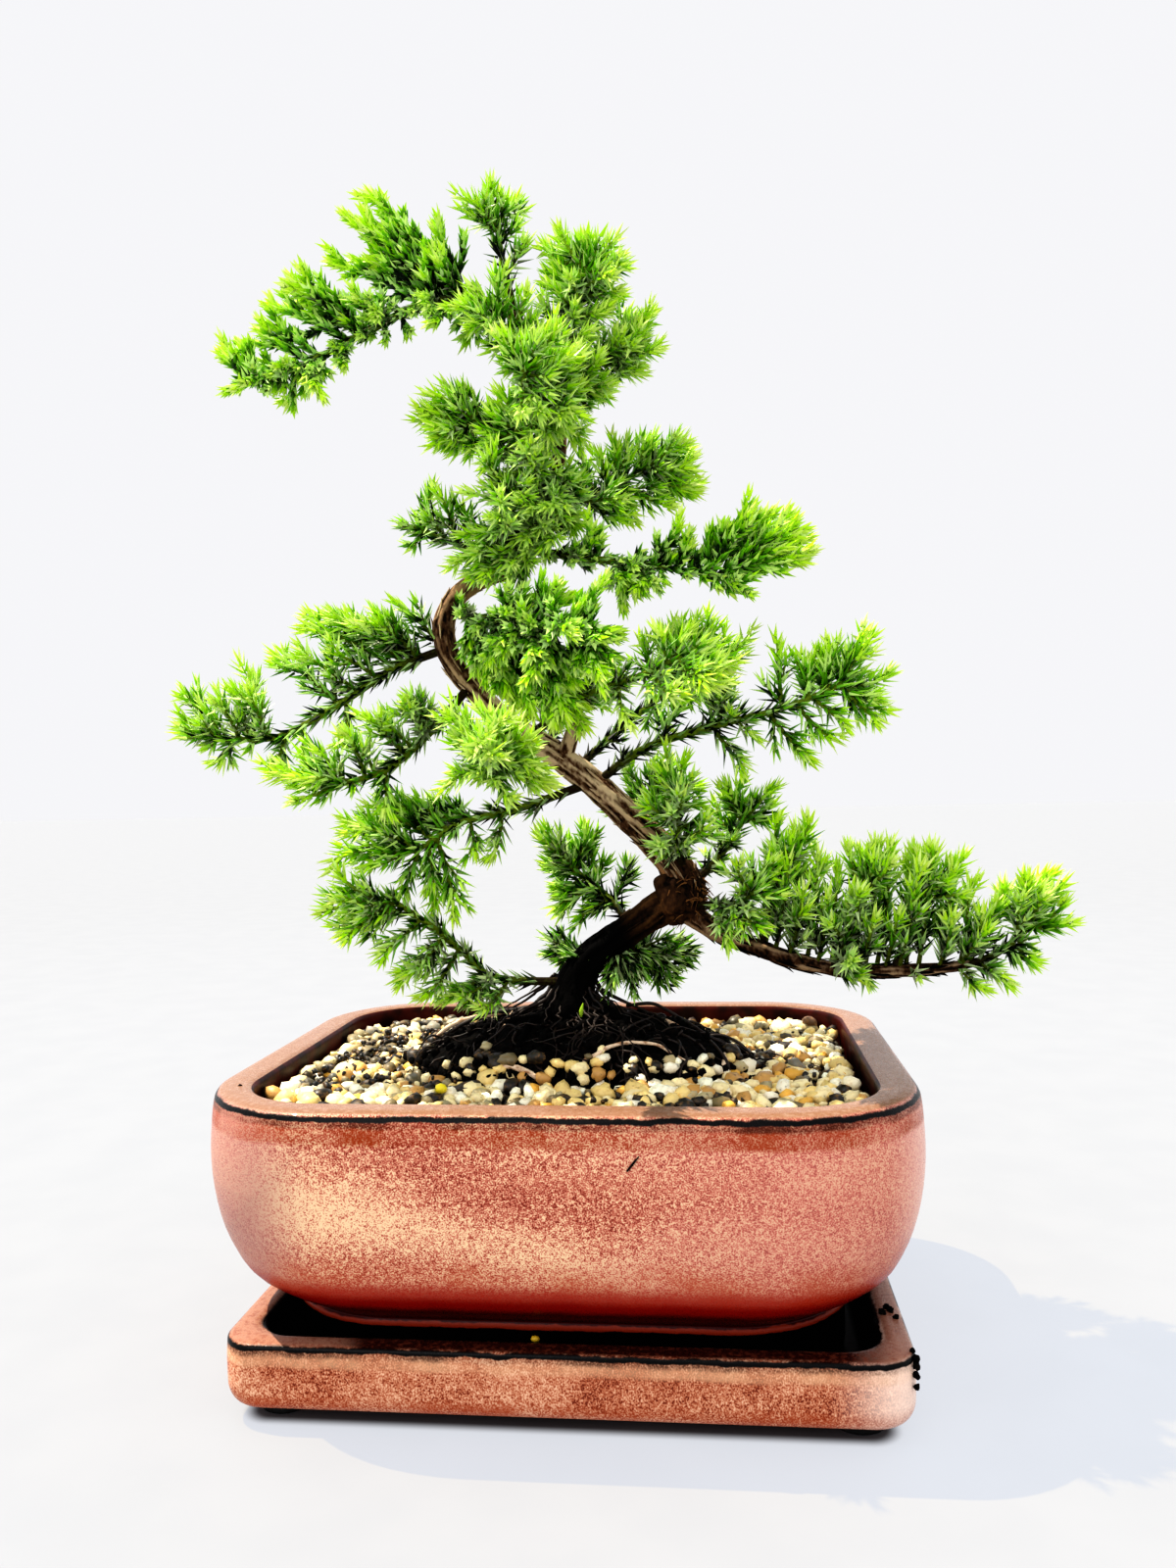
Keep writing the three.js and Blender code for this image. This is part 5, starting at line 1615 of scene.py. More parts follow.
    def add_knot_fibres(self, skin: Skin) -> None:
        """Adds torn bark fibres on the knot: short threads that stand off it and droop at their ends."""
        random = np.random.default_rng(74)
        count = self.knot_fibres
        outward = unit(random.normal(self.knot_fibre_way, 0.8, (count, 3)))
        root = outward * np.array(self.knot_radii) * 0.96
        beside = unit(np.cross(outward, random.normal(size=(count, 3))))
        along = np.linspace(0, 1, 6)[None, :, None]
        length = random.uniform(*self.knot_fibre_length, (count, 1, 1))
        centres = root[:, None] + length * (outward[:, None] * 0.45 * along + beside[:, None] * 0.8 * along)
        centres[..., 2] -= (length * 0.35 * along**2)[..., 0]
        radii = random.uniform(*self.knot_fibre_radius, (count, 1)) * (1.1 - along[..., 0])
        points, quads, fans = tubes(centres + np.array(self.knot_centre), radii, 4)
        height = np.repeat(random.uniform(0.5, 1.3, count), len(points) // count)
        tint = np.column_stack([height, np.full(len(points), 0.1), np.zeros(len(points))])
        skin.add(from_tree(points), quads, fans, tint=tint)

    def add_strips(self, skin: Skin) -> None:
        """Adds thin strips of peeling bark: ribbons that follow the trunk and lift at one end."""
        random = np.random.default_rng(73)
        trunk = np.vstack([smooth_route(route, 1.0)[first:last] for route, (first, last) in (
            (self.lower_trunk, self.lower_strips), (self.upper_trunk, self.upper_strips),
            (self.low_limb, self.limb_strips))])
        spot = random.integers(1, len(trunk) - 1, self.strips)
        centre, radius = trunk[spot, :3], trunk[spot, 3]
        tangent = unit(trunk[spot + 1, :3] - trunk[spot - 1, :3])
        outward = unit(np.cross(tangent, random.normal(size=(self.strips, 3))))
        half = random.uniform(*self.strip_half_length, self.strips)
        along = np.linspace(-1, 1, 6)
        lift = random.uniform(*self.strip_lift, self.strips)[:, None] * np.clip(along, 0, 1) ** 2
        off = (radius * 0.98)[:, None] + lift
        centres = centre[:, None] + outward[:, None] * off[..., None] + (
            tangent[:, None] * (along * half[:, None])[..., None])
        radii = random.uniform(*self.strip_radius, self.strips)[:, None] * np.sqrt(1.02 - along**2)
        points, quads, fans = tubes(centres, radii, self.strip_sides)
        height = np.repeat(random.uniform(0.35, 1.0, self.strips), len(points) // self.strips)
        damp_and_shade = self.damp_and_shade(points[:, 2])
        tint = np.column_stack([height, damp_and_shade, np.clip(height - damp_and_shade, 0, 1)])
        skin.add(from_tree(points), quads, fans, tint=tint)

    def build(self) -> None:
        """Makes the wood in one piece."""
        skin = Skin()
        self.add_limb(skin, self.lower_trunk, 56, 61, depth=1.9)
        self.add_limb(skin, self.upper_trunk, 40, 64)
        self.add_limb(skin, self.low_limb, 28, 67, damp_and_shade_share=0.1)
        self.add_limb(skin, self.cut_stub, 24, 70)
        for number, root in enumerate(self.roots):
            self.add_limb(skin, self.root_route(*root), 22, 80 + number)
        self.add_knot(skin)
        self.add_knot_fibres(skin)
        self.add_strips(skin)
        seat(skin.to_object("wood_barked", [StringyBark().material()], welded=True), ["wood"])

    def keeps_clear(self, points: np.ndarray, room: float) -> np.ndarray:
        """Tells which points stand clear of the trunk and the limb.

        Args:
            points: positions in the tree's frame.
            room: the least distance from the bark.

        Returns:
            True or False a point.
        """
        routes = np.vstack([smooth_route(route, 2.5)
                            for route in (self.lower_trunk, self.upper_trunk, self.low_limb)])
        away = np.linalg.norm(points[:, None] - routes[None, :, :3], axis=-1) - routes[None, :, 3]
        return away.min(axis=1) > room


@dataclass
class FineRoots:
    """Bare roots that show on the mound, in millimetres: a few pale ones and many thin brown ones.

    A route's row is x, y, height above the soil and radius.
    """

    soil: SoilMound
    pale: tuple[Route, ...] = (
        ((-42, -2, 2.0, 0.4), (-38, -2, 3.3, 0.65), (-33, -1, 3.5, 0.7), (-26, -1, 2.8, 0.7),
         (-17, 0, 2.4, 0.5)),
        ((-21, -10, 0.3, 0.3), (-20, -7, 0.9, 0.45), (-19, 0, 2.6, 0.3)),
        ((-22, -20, 0.1, 0.4), (-18, -24, 1.2, 0.75), (-15, -25, 1.4, 0.8), (-10, -27, 1.6, 0.8),
         (-5, -29, 1.6, 0.5)),
        ((4, -24, 0.3, 0.5), (7, -23, 0.9, 0.65), (10, -21, 1.3, 0.6), (15, -19, 1.7, 0.52),
         (19, -18, 1.7, 0.48), (24, -17, 1.4, 0.45), (28, -18, 1.0, 0.42), (34, -18, 0.2, 0.3)),
        ((23, 4, 0.3, 0.45), (27, -2, 0.9, 0.7), (31, -3, 0.3, 0.45)),
        ((42, -8, 0.3, 0.5), (42, -12, 0.8, 0.8), (41, -14, 0.2, 0.5)),
    )
    dark: tuple[Route, ...] = (
        ((14, 3, 2.8, 0.5), (21, 4, 4.4, 0.5), (25, 5, 3.6, 0.45), (31, 4, 1.6, 0.45), (37, -2, 0.9, 0.45),
         (42, -3, 0.9, 0.45), (47, -4, 0.3, 0.3)),
        ((12, -18, 0.3, 0.3), (15, -12, 0.9, 0.38), (21, -3, 1.4, 0.38), (24, 2, 2.4, 0.25)),
        ((19, -17, 0.3, 0.3), (23, -14, 0.9, 0.38), (27, -13, 0.9, 0.38), (30, -14, 0.9, 0.35),
         (32, -17, 0.2, 0.25)),
        ((27, -17, 0.2, 0.3), (26, -21, 0.9, 0.38), (23, -23, 0.8, 0.35), (21, -25, 0.2, 0.25)),
        ((-9, 1, 3.1, 0.8), (-17, 0, 2.5, 0.8), (-26, -1, 3.2, 0.7), (-34, -2, 2.5, 0.6),
         (-42, -2, 0.3, 0.4)),
        ((13, -26, 0.2, 0.3), (16, -24, 0.8, 0.4), (19, -24, 0.8, 0.4), (22, -25, 0.2, 0.3)),
        ((14, -27, 0.3, 0.3), (17, -26, 0.8, 0.4), (20, -25, 0.8, 0.4), (23, -25, 0.3, 0.3)),
        ((38, -6, 1.0, 0.5), (42, -12, 1.6, 0.5), (46, -18, 1.4, 0.45), (47, -23, 2.0, 0.3)),
    )
    threads: int = 110
    thread_points: int = 22
    thread_step: Pair = (0.5, 1.1)
    thread_radius: Pair = (0.16, 0.42)
    thread_arch: float = 3.2
    above_soil: float = 0.7
    above_gravel: float = 4.0
    collar_threads: int = 60
    collar_points: int = 14
    collar_radius: float = 6.5
    collar_reach: Pair = (9.0, 24.0)
    collar_z: Pair = (87.0, 98.0)
    collar_thread_radius: Pair = (0.2, 0.7)

    def laid(self, route: Sequence[Sequence[float]], lumps: float, seed: int,
             ) -> tuple[np.ndarray, np.ndarray]:
        """Lays a route on the soil: its height is the soil's plus its own.

        Args:
            route: rows of x, y, height above the soil and radius.
            lumps: how lumpy the root is, as a share of its radius.
            seed: picks the lumps.

        Returns:
            The points and their radii.
        """
        smooth = smooth_route(route, 0.8)
        smooth[:, 2] += self.soil.surface(smooth[:, 0], smooth[:, 1])
        return smooth[:, :3], smooth[:, 3] * (1 + lumps * soft_noise(smooth[:, :3], 2.0, seed))

    def build(self) -> None:
        """Makes the pale roots and, in their own piece, the brown threads."""
        pale = Skin()
        for route in self.pale:
            centres, radii = self.laid(route, 0.14, 91)
            points, quads, fans = tubes(centres[None], radii[None], 10)
            pale.add(from_pot(points), quads, fans)
        seat(pale.to_object("bare_roots", [PeeledRoot().material()]))
        brown = Skin()
        for route in self.dark:
            centres, radii = self.laid(route, 0.2, 92)
            points, quads, fans = tubes(centres[None], radii[None], 8)
            brown.add(from_pot(points), quads, fans)
        for centres, radii in (self.thread_routes(), self.collar_routes()):
            points, quads, fans = tubes(centres, radii, 5)
            brown.add(from_pot(points), quads, fans)
        finish = PeeledRoot("brown_root", "281810", "080403")
        seat(brown.to_object("root_threads", [finish.material()]))

    def collar_routes(self) -> tuple[np.ndarray, np.ndarray]:
        """Routes of the threads round the trunk's foot: each leaves the bark and falls onto the mound.

        Its height goes from its start to the soil's by a power of the way along, so that it bows out.

        Returns:
            The routes as (thread, point, 3) and the radii as (thread, point).
        """
        random = np.random.default_rng(94)
        count, steps = self.collar_threads, self.collar_points
        turn = random.uniform(0, 2 * math.pi, (count, 1)) + np.cumsum(
            random.normal(0, 0.07, (count, steps)), axis=1)
        along = np.linspace(0, 1, steps)[None]
        reach = self.collar_radius + random.uniform(*self.collar_reach, (count, 1)) * along
        x, y = reach * np.cos(turn) - 1, reach * np.sin(turn) * 0.7
        start = random.uniform(*self.collar_z, (count, 1))
        soil = self.soil.surface(x, y) + 0.4
        z = start + (soil - start) * along ** random.uniform(0.35, 0.7, (count, 1))
        radii = random.uniform(*self.collar_thread_radius, (count, 1)) * (1.1 - 0.8 * along)
        return np.stack([x, y, z], axis=-1), radii

    def thread_routes(self) -> tuple[np.ndarray, np.ndarray]:
        """Routes of the threads: each starts on the mound, runs outward and wanders by summed chances.

        Returns:
            The routes as (thread, point, 3) and the radii as (thread, point).
        """
        random = np.random.default_rng(93)
        count, steps = self.threads, self.thread_points
        turn = random.uniform(0, 2 * math.pi, (count, 1))
        reach = random.uniform(0.25, 0.85, (count, 1))
        heading = turn + random.uniform(-1.1, 1.1, (count, 1)) + np.cumsum(
            random.normal(0, 0.24, (count, steps)), axis=1)
        step = random.uniform(*self.thread_step, (count, 1))
        x = self.soil.half_x * reach * np.cos(turn) + np.cumsum(step * np.cos(heading), axis=1)
        y = self.soil.half_y * reach * np.sin(turn) + np.cumsum(step * np.sin(heading), axis=1)
        along = np.linspace(0, 1, steps)[None]
        arch = random.uniform(0, self.thread_arch, (count, 1)) * np.sin(math.pi * along)
        arch = arch * random.integers(0, 2, (count, 1))
        soil = self.soil.surface(x, y)
        z = soil + self.above_soil + arch + 0.5 * np.sin(9 * along + turn)
        z += np.where(soil < self.soil.flat_z + 1, self.above_gravel, 0.0) * along
        radii = random.uniform(*self.thread_radius, (count, 1)) * (1.15 - 0.7 * along)
        return np.stack([x, y, z], axis=-1), radii


@dataclass
class LooseBits:
    """Soil that was spilt on the tray, marks on the pot and a seedling, in millimetres.

    A smear's row is x, y, z and how far its crumbs stray; a mark's row is x, y, z and radius.
    """

    smears: Route = (
        (83.4, -60.5, 20.2, 0.7), (83.9, -62.0, 19.2, 0.6), (83.9, -63.0, 18.0, 0.6),
        (83.7, -63.6, 16.0, 0.5), (83.5, -64.2, 13.5, 0.4), (83.9, -62.6, 18.6, 0.6),
        (79.1, -41.7, 20.7, 0.6), (81.2, -40.4, 20.7, 0.7), (82.1, -44.2, 20.7, 0.4),
        (76.8, -46.7, 20.6, 0.4), (80.7, -38.8, 20.7, 0.4), (72.0, -54.0, 9.0, 2.2),
        (68.0, -56.0, 9.0, 2.0), (60.0, -57.5, 9.0, 1.6),
    )
    crumbs_each: int = 9
    scratch: Route = ((19.3, -76.05, 65.4, 0.2), (20.6, -76.1, 67.0, 0.26), (22.0, -76.05, 68.7, 0.12))
    pit: Triple = (-81.1, -50.2, 77.45)
    seedling: Route = ((1.0, -9.6, 87.4, 0.35), (1.1, -10.2, 89.2, 0.6), (1.6, -10.6, 91.4, 0.15))
    fresh_tint: Triple = (0.9, 0.5, 0.0)

    def build(self) -> None:
        """Makes the spilt soil with the dark marks, and the green seedling by the trunk."""
        random = np.random.default_rng(97)
        rows = np.repeat(np.array(self.smears), self.crumbs_each, axis=0)
        strayed = random.normal(0, 0.6, (len(rows), 3)) * rows[:, 3:] * np.array([0.5, 1, 0.5])
        centres = np.vstack([rows[:, :3] + strayed, self.pit])
        points, faces = crumbs(centres, (0.25, 0.7), (0.6, 1.4), random)
        soil = Skin()
        soil.add(from_pot(points), faces)
        scratch = smooth_route(self.scratch, 0.4)
        points, quads, fans = tubes(scratch[None, :, :3], scratch[None, :, 3], 6)
        soil.add(from_pot(points), quads, fans)
        seat(soil.to_object("soil_spilt", [PottingSoil().material()]))
        leaf = smooth_route(self.seedling, 0.4)
        points, quads, fans = tubes(leaf[None, :, :3], leaf[None, :, 3], 8)
        green = Skin()
        green.add(from_tree(points), quads, fans, tint=self.fresh_tint)
        seat(green.to_object("seedling_leaf", [ShootSkin().material()]))


class Habit(Enum):
    """How the needles of a spray stand on their shoots."""

    OPEN = "open"
    PRESSED = "pressed"


@dataclass(frozen=True)
class Spray:
    """One leafy branch, in millimetres in the tree's frame.

    The stem is its route, tips are the ends of its main shoots, glow is how fresh its growth is and also
    how brightly lit it is painted, below zero for the shaded sprays at the trunk's foot, bare is the
    length of stem without needles at its start, fill is how many shoots the rule adds a tip, limb_tips
    are the ends of shoots that stand on the low limb itself, and side is how long the side shoots are as a
    share of the usual.
    """

    name: str
    stem: Route
    tips: Route
    glow: float = 0.5
    habit: Habit = Habit.OPEN
    bare: float = 5.0
    fill: float = 1.0
    limb_tips: Route = ()
    side: float = 1.0


SPRAYS = (
    Spray(
        "spray_top_left",
        ((-26, 3, 297), (-42, 1, 294), (-56, -2, 286), (-69, -5, 278), (-82, -8, 271),
         (-93, -10, 268)),
        ((-60, 12, 335), (-38, -6, 316), (-53, 18, 320), (-73, 14, 314), (-76, -10, 298),
         (-90, 6, 298), (-98, -2, 282), (-96, -16, 263), (-82, 4, 265), (-69, -20, 262),
         (-58, -22, 288),
         (-95, -10, 279), (-84, -12, 265), (-73, -8, 265), (-62, -12, 270), (-51, -6, 279),
         (-37, -10, 283), (-77, -14, 273), (-58, -12, 280), (-40, -8, 294), (-27, -8, 290),
         (-44, 2, 292), (-22, -4, 284), (-91, 2, 279)),
        glow=0.5, habit=Habit.PRESSED, fill=1.2,
    ),
    Spray(
        "spray_top_shoot",
        ((-15, 4, 293), (-18, 6, 308), (-20, 5, 321)),
        ((-22, 4, 334), (-13, 12, 332), (-29, -4, 320), (-9, -4, 312)),
        glow=0.6,
    ),
    Spray(
        "spray_crown_right",
        ((-5, 4, 279), (3, -4, 292), (7, -8, 300)),
        ((-2, -14, 310), (7, -4, 312), (16, 2, 309), (17, -12, 292),
         (1, -8, 293), (8, -6, 285), (-4, -2, 304),
         (-4, 2, 308), (4, -10, 292), (13, -12, 285), (9, 8, 304),
         (-5, 4, 313), (8, -4, 310), (14, -10, 301), (19, 4, 298), (3, -14, 297), (-8, -10, 292),
         (7, -16, 278)),
        glow=0.85,
    ),
    Spray(
        "spray_crown_outer",
        ((-3, 4, 269), (8, 8, 278), (18, 10, 285)),
        ((20, 18, 300), (28, 6, 294), (31, 12, 284), (23, 0, 272), (13, 22, 272),
         (12, 2, 282), (6, -4, 272), (19, 8, 290),
         (18, -8, 280), (22, -4, 285), (10, -12, 271), (6, 6, 268),
         (24, 0, 291), (28, -6, 277), (22, 4, 275), (15, -8, 267), (10, -4, 264), (6, -14, 276)),
        glow=0.75,
    ),
    Spray(
        "spray_crown_front",
        ((-2, 4, 262), (-7, -15, 261), (-11, -30, 263)),
        ((-18, -30, 273), (-6, -38, 272), (3, -24, 268), (3, -30, 252), (-12, -38, 247),
         (-4, -26, 261), (-8, -24, 270), (-1, -22, 248), (-15, -20, 261), (6, -18, 263),
         (0, -20, 274), (-4, -16, 281), (6, -22, 270), (-11, -22, 245),
         (-13, -20, 261), (-7, -24, 251), (3, -16, 256), (6, -12, 248), (-5, -16, 243),
         (0, -28, 259), (-16, -14, 255)),
        glow=0.85,
    ),
    Spray(
        "spray_crown_back",
        ((-3, 3, 250), (-6, 22, 263), (-8, 36, 278)),
        ((-14, 34, 292), (1, 42, 295), (7, 40, 273), (-20, 42, 274), (-6, 55, 286)),
        glow=0.4,
    ),
    Spray(
        "spray_crown_left",
        ((-4, 4, 273), (-13, -4, 279), (-20, -9, 285)),
        ((-29, -6, 291), (-19, -12, 300), (-9, -18, 291), (-27, -19, 281),
         (-21, -12, 286), (-13, -14, 281), (-29, -10, 292), (-6, -12, 279), (-16, -6, 295),
         (-21, -10, 284), (-24, -8, 276), (-18, -14, 268), (-12, -18, 276), (-29, -8, 292)),
        glow=0.7,
    ),
    Spray(
        "spray_trunk_front",
        ((-4, 3, 236), (-8, -8, 243), (-12, -15, 252)),
        ((-26, -13, 253), (-19, -14, 266), (-2, -20, 259), (-12, -28, 243), (-22, -8, 236),
         (-6, -14, 252), (-1, -16, 240), (2, -12, 227), (-5, -15, 219), (-11, -18, 228),
         (-14, -12, 215), (6, -6, 238),
         (-16, -14, 241), (-9, -18, 234), (0, -14, 235), (6, -6, 243), (-14, -14, 227),
         (-5, -12, 223), (-22, -10, 237), (3, -8, 227)),
        glow=0.7,
    ),
    Spray(
        "spray_mid_left",
        ((-2, 3, 245), (-15, -4, 252), (-27, -8, 257)),
        ((-34, -4, 270), (-39, -16, 264), (-44, -6, 259), (-39, -14, 250), (-24, -20, 241),
         (-21, 6, 268),
         (-43, -8, 261), (-38, -12, 252), (-34, -8, 246), (-31, 0, 259), (-24, -14, 247),
         (-22, -8, 262), (-27, -4, 268)),
        glow=0.6,
    ),
    Spray(
        "spray_trunk_left",
        ((-12, 3, 222), (-16, -8, 228), (-18, -16, 235)),
        ((-29, -14, 236), (-22, -20, 247), (-9, -22, 233), (-20, -25, 224), (-6, -15, 243),
         (-22, -10, 224), (-28, -10, 220), (-17, -12, 217), (-31, -8, 212), (-23, -10, 212),
         (-35, -6, 217), (-18, -10, 209), (-11, -12, 214)),
        glow=0.45,
    ),
    Spray(
        "spray_left_small",
        ((-22, 3, 216), (-34, 10, 226), (-45, 13, 231)),
        ((-42, 16, 246), (-53, 10, 234), (-50, 20, 225), (-31, 2, 238)),
        glow=0.25,
    ),
    Spray(
        "spray_right_upper",
        ((-6, 3, 234), (7, 14, 240), (23, 22, 250)),
        ((18, 14, 259), (28, 27, 262), (40, 20, 257), (42, 30, 244), (4, 26, 255), (18, 32, 236),
         (24, 16, 258), (39, 20, 254), (12, 12, 251), (42, 22, 243), (21, 14, 242), (33, 16, 236),
         (9, 10, 238), (18, 12, 231)),
        glow=0.6,
    ),
    Spray(
        "spray_right_long",
        ((-11, 3, 222), (5, -4, 218), (25, -10, 214), (44, -14, 210)),
        ((49, -10, 227), (67, -6, 223), (67, -18, 214), (51, -22, 203), (32, -20, 225),
         (19, -16, 203), (8, -16, 226),
         (-6, -6, 220), (1, -10, 215), (8, -8, 220), (15, -12, 216), (22, -8, 221), (30, -14, 218),
         (39, -10, 220), (47, -12, 222), (6, -4, 225), (16, -14, 207), (27, -16, 207),
         (38, -14, 207), (48, -16, 205), (65, -14, 225), (58, -10, 230)),
        glow=0.4, habit=Habit.PRESSED, fill=1.4,
    ),
    Spray(
        "spray_centre_front",
        ((-35, 0, 204), (-21, -14, 199), (-6, -26, 195), (6, -32, 194)),
        ((-2, -24, 209), (9, -36, 207), (16, -30, 193), (5, -36, 179), (-9, -38, 179),
         (-22, -26, 184), (-16, -32, 207), (0, -52, 191),
         (-22, -22, 201), (-13, -30, 195), (-5, -34, 189), (-16, -26, 187), (3, -30, 202),
         (10, -36, 188), (-27, -18, 194),
         (-28, -9, 204), (-29, -9, 195), (-28, -9, 186), (-23, -12, 180), (-17, -16, 175),
         (-10, -18, 170), (-3, -20, 167), (5, -20, 166), (2, -26, 173), (15, -30, 179),
         (-11, -16, 208), (-1, -20, 207), (5, -34, 194), (-31, -8, 209)),
        glow=0.4, habit=Habit.PRESSED, fill=1.2,
    ),
    Spray(
        "spray_centre_bright",
        ((-13, 1, 167), (2, -22, 176), (17, -38, 180), (28, -46, 184)),
        ((23, -50, 192), (38, -44, 189), (39, -54, 178), (26, -58, 172), (14, -44, 168)),
        glow=1.0,
    ),
    Spray(
        "spray_right_mid",
        ((6, -1, 153), (21, -5, 163), (42, -12, 169), (59, -16, 173), (75, -18, 179)),
        ((83, -14, 195), (91, -18, 182), (85, -24, 167), (73, -4, 191), (59, -10, 194),
         (67, -20, 157), (49, -16, 155), (43, -26, 183), (34, 2, 181)),
        glow=0.65,
    ),
    Spray(
        "spray_right_mid_back",
        ((0, 0, 157), (16, 14, 171), (35, 24, 186)),
        ((33, 20, 204), (46, 30, 207), (57, 24, 198), (21, 28, 200), (50, 36, 182), (30, 36, 172)),
        glow=0.35,
    ),
    Spray(
        "spray_left_long",
        ((-37, 0, 193), (-52, -2, 187), (-67, -5, 177), (-84, -8, 168), (-101, -10, 168)),
        ((-112, -6, 184), (-113, -12, 169), (-98, -20, 180), (-94, 2, 189), (-104, 2, 160),
         (-77, -16, 192), (-78, 6, 206), (-60, -12, 201), (-51, 2, 208), (-84, -16, 157),
         (-68, 8, 164)),
        glow=0.6,
    ),
    Spray(
        "spray_left_front",
        ((-30, 1, 182), (-39, -12, 169), (-50, -22, 158), (-62, -30, 154)),
        ((-75, -34, 149), (-84, -24, 157), (-68, -36, 165), (-55, -32, 173), (-44, -32, 178),
         (-51, -26, 144)),
        glow=0.7,
    ),
    Spray(
        "spray_front_bright",
        ((-20, 1, 173), (-22, -20, 163), (-20, -40, 158)),
        ((-33, -44, 173), (-20, -50, 173), (-8, -46, 166), (-5, -40, 153), (-15, -50, 147),
         (-32, -52, 153), (-19, -66, 160),
         (-26, -44, 168), (-20, -52, 163), (-15, -50, 159), (-10, -44, 163), (-8, -44, 157),
         (-23, -48, 155), (-17, -40, 168), (-28, -46, 162)),
        glow=1.0,
    ),
    Spray(
        "spray_low_left_upper",
        ((4, -1, 153), (-17, -6, 146), (-31, -12, 143), (-44, -16, 135)),
        ((-66, -14, 144), (-69, -20, 133), (-56, -8, 150), (-44, 2, 148), (-23, -14, 131),
         (-52, -8, 119), (-33, -14, 115)),
        glow=0.5,
    ),
    Spray(
        "spray_low_left",
        ((3, -2, 96), (-23, -4, 98), (-32, -8, 106), (-40, -18, 115), (-50, -24, 123)),
        ((-70, -26, 121), (-67, -14, 113), (-54, -30, 107), (-42, -22, 94), (-27, -20, 90),
         (-64, -34, 131)),
        glow=0.3, bare=12,
    ),
    Spray(
        "spray_inner_left",
        ((17, -3, 111), (9, 6, 120), (-1, 10, 128)),
        ((-11, 6, 142), (4, 16, 142), (-9, 8, 115), (17, 16, 130), (-9, 22, 127),
         (-8, 6, 138), (-4, 10, 129), (1, 6, 121), (7, 8, 129), (4, 12, 114), (-8, 8, 120),
         (10, 4, 118), (1, 14, 136), (-10, 14, 130), (-2, 10, 112)),
        glow=0.1,
    ),
    # The two sprays at the trunk's foot have glow below zero: painted shade, as they stand under the crown.
    Spray(
        "spray_base_left",
        ((7, -2, 101), (-1, 9, 104)),
        ((-8, 14, 110), (-6, 19, 98),
         (-5, 4, 103), (-2, 6, 106), (-8, 8, 105)),
        glow=-0.6, fill=2.0,
    ),
    Spray(
        "spray_base_right",
        ((12, -3, 107), (24, 10, 102)),
        ((36, 14, 99), (29, 3, 109), (25, 18, 89), (17, 20, 107),
         (15, 4, 100), (12, 2, 95), (18, 2, 105), (10, 0, 93), (20, 2, 96), (8, 0, 98),
         (16, 2, 91)),
        glow=-0.6, fill=2.5,
    ),
    Spray(
        "spray_above_knot",
        ((31, -5, 126), (29, -14, 139), (29, -15, 151)),
        ((26, -11, 163), (34, -22, 156), (38, -24, 141), (18, -24, 149), (21, -26, 137),
         (22, -14, 155), (26, -16, 147), (32, -12, 152), (35, -14, 142), (28, -16, 133),
         (19, -12, 144), (22, -18, 136), (34, -12, 133)),
        glow=0.55,
    ),
    Spray(
        "spray_above_knot_right",
        ((33, -5, 123), (43, -2, 133), (50, 0, 143)),
        ((58, -4, 153), (49, 8, 155), (61, 6, 141), (42, 13, 145),
         (44, -2, 152), (40, 0, 140), (48, -4, 135), (43, -2, 127), (50, 4, 145), (38, 4, 129)),
        glow=0.35,
    ),
    Spray(
        "spray_knot_front",
        ((33, -6, 118), (43, -18, 119), (49, -24, 123)),
        ((41, -27, 108), (50, -33, 112), (59, -26, 122), (55, -18, 133), (42, -32, 133),
         (48, -20, 127), (42, -26, 118), (55, -16, 125), (50, -24, 116), (37, -22, 119)),
        glow=0.45,
    ),
    Spray(
        "spray_back_upper",
        ((-7, 0, 163), (-6, 28, 174), (-5, 50, 185)),
        ((-15, 50, 201), (6, 58, 203), (19, 50, 186), (-23, 56, 181), (3, 66, 172), (-6, 76, 192)),
        glow=0.35,
    ),
    Spray(
        "spray_back_lower",
        ((19, -3, 139), (22, 24, 144), (26, 42, 148)),
        ((16, 46, 160), (34, 54, 162), (44, 46, 146), (21, 59, 137), (9, 38, 144)),
        glow=0.15,
    ),
    Spray(
        "spray_limb_first",
        ((51, -11, 106), (56, -12, 118), (59, -12, 130)),
        ((57, -8, 144), (67, -16, 144), (73, -8, 129), (49, -4, 127), (64, -25, 117)),
        glow=0.5, side=0.7,
        limb_tips=((57, -8, 135), (59, -18, 132), (64, -12, 139), (68, -14, 133), (74, -8, 129),
                   (69, -22, 122), (62, -24, 124)),
    ),
    Spray(
        "spray_limb_second",
        ((71, -16, 101), (76, -18, 111), (80, -18, 123)),
        ((76, -12, 136), (86, -14, 137), (86, -29, 132), (67, -28, 117), (89, -5, 117),
         (78, -27, 99)),
        glow=0.65, fill=0.7, side=0.6,
        limb_tips=((80, -12, 128), (75, -24, 124), (84, -16, 135), (87, -20, 135), (94, -10, 131),
                   (80, -28, 117), (78, -26, 98), (87, -24, 117)),
    ),
    Spray(
        "spray_limb_third",
        ((87, -17, 99), (92, -18, 111), (97, -18, 123)),
        ((95, -10, 135), (98, -26, 136), (107, -14, 131), (107, -27, 122), (105, -5, 112)),
        glow=0.8, fill=0.7, side=0.6,
        limb_tips=((98, -18, 134), (92, -28, 130), (103, -20, 129), (102, -12, 121),
                   (108, -20, 125), (101, -28, 116), (92, -26, 99)),
    ),
    Spray(
        "spray_limb_end",
        ((104, -20, 101), (114, -20, 104), (125, -20, 112)),
        ((119, -12, 122), (121, -29, 127), (130, -14, 127), (135, -22, 126), (136, -24, 114),
         (130, -14, 100), (109, -30, 95), (110, -32, 114),
         (123, -20, 125), (125, -26, 125), (135, -18, 124), (135, -22, 113), (128, -20, 101)),
        glow=0.75, fill=0.7, side=0.6,
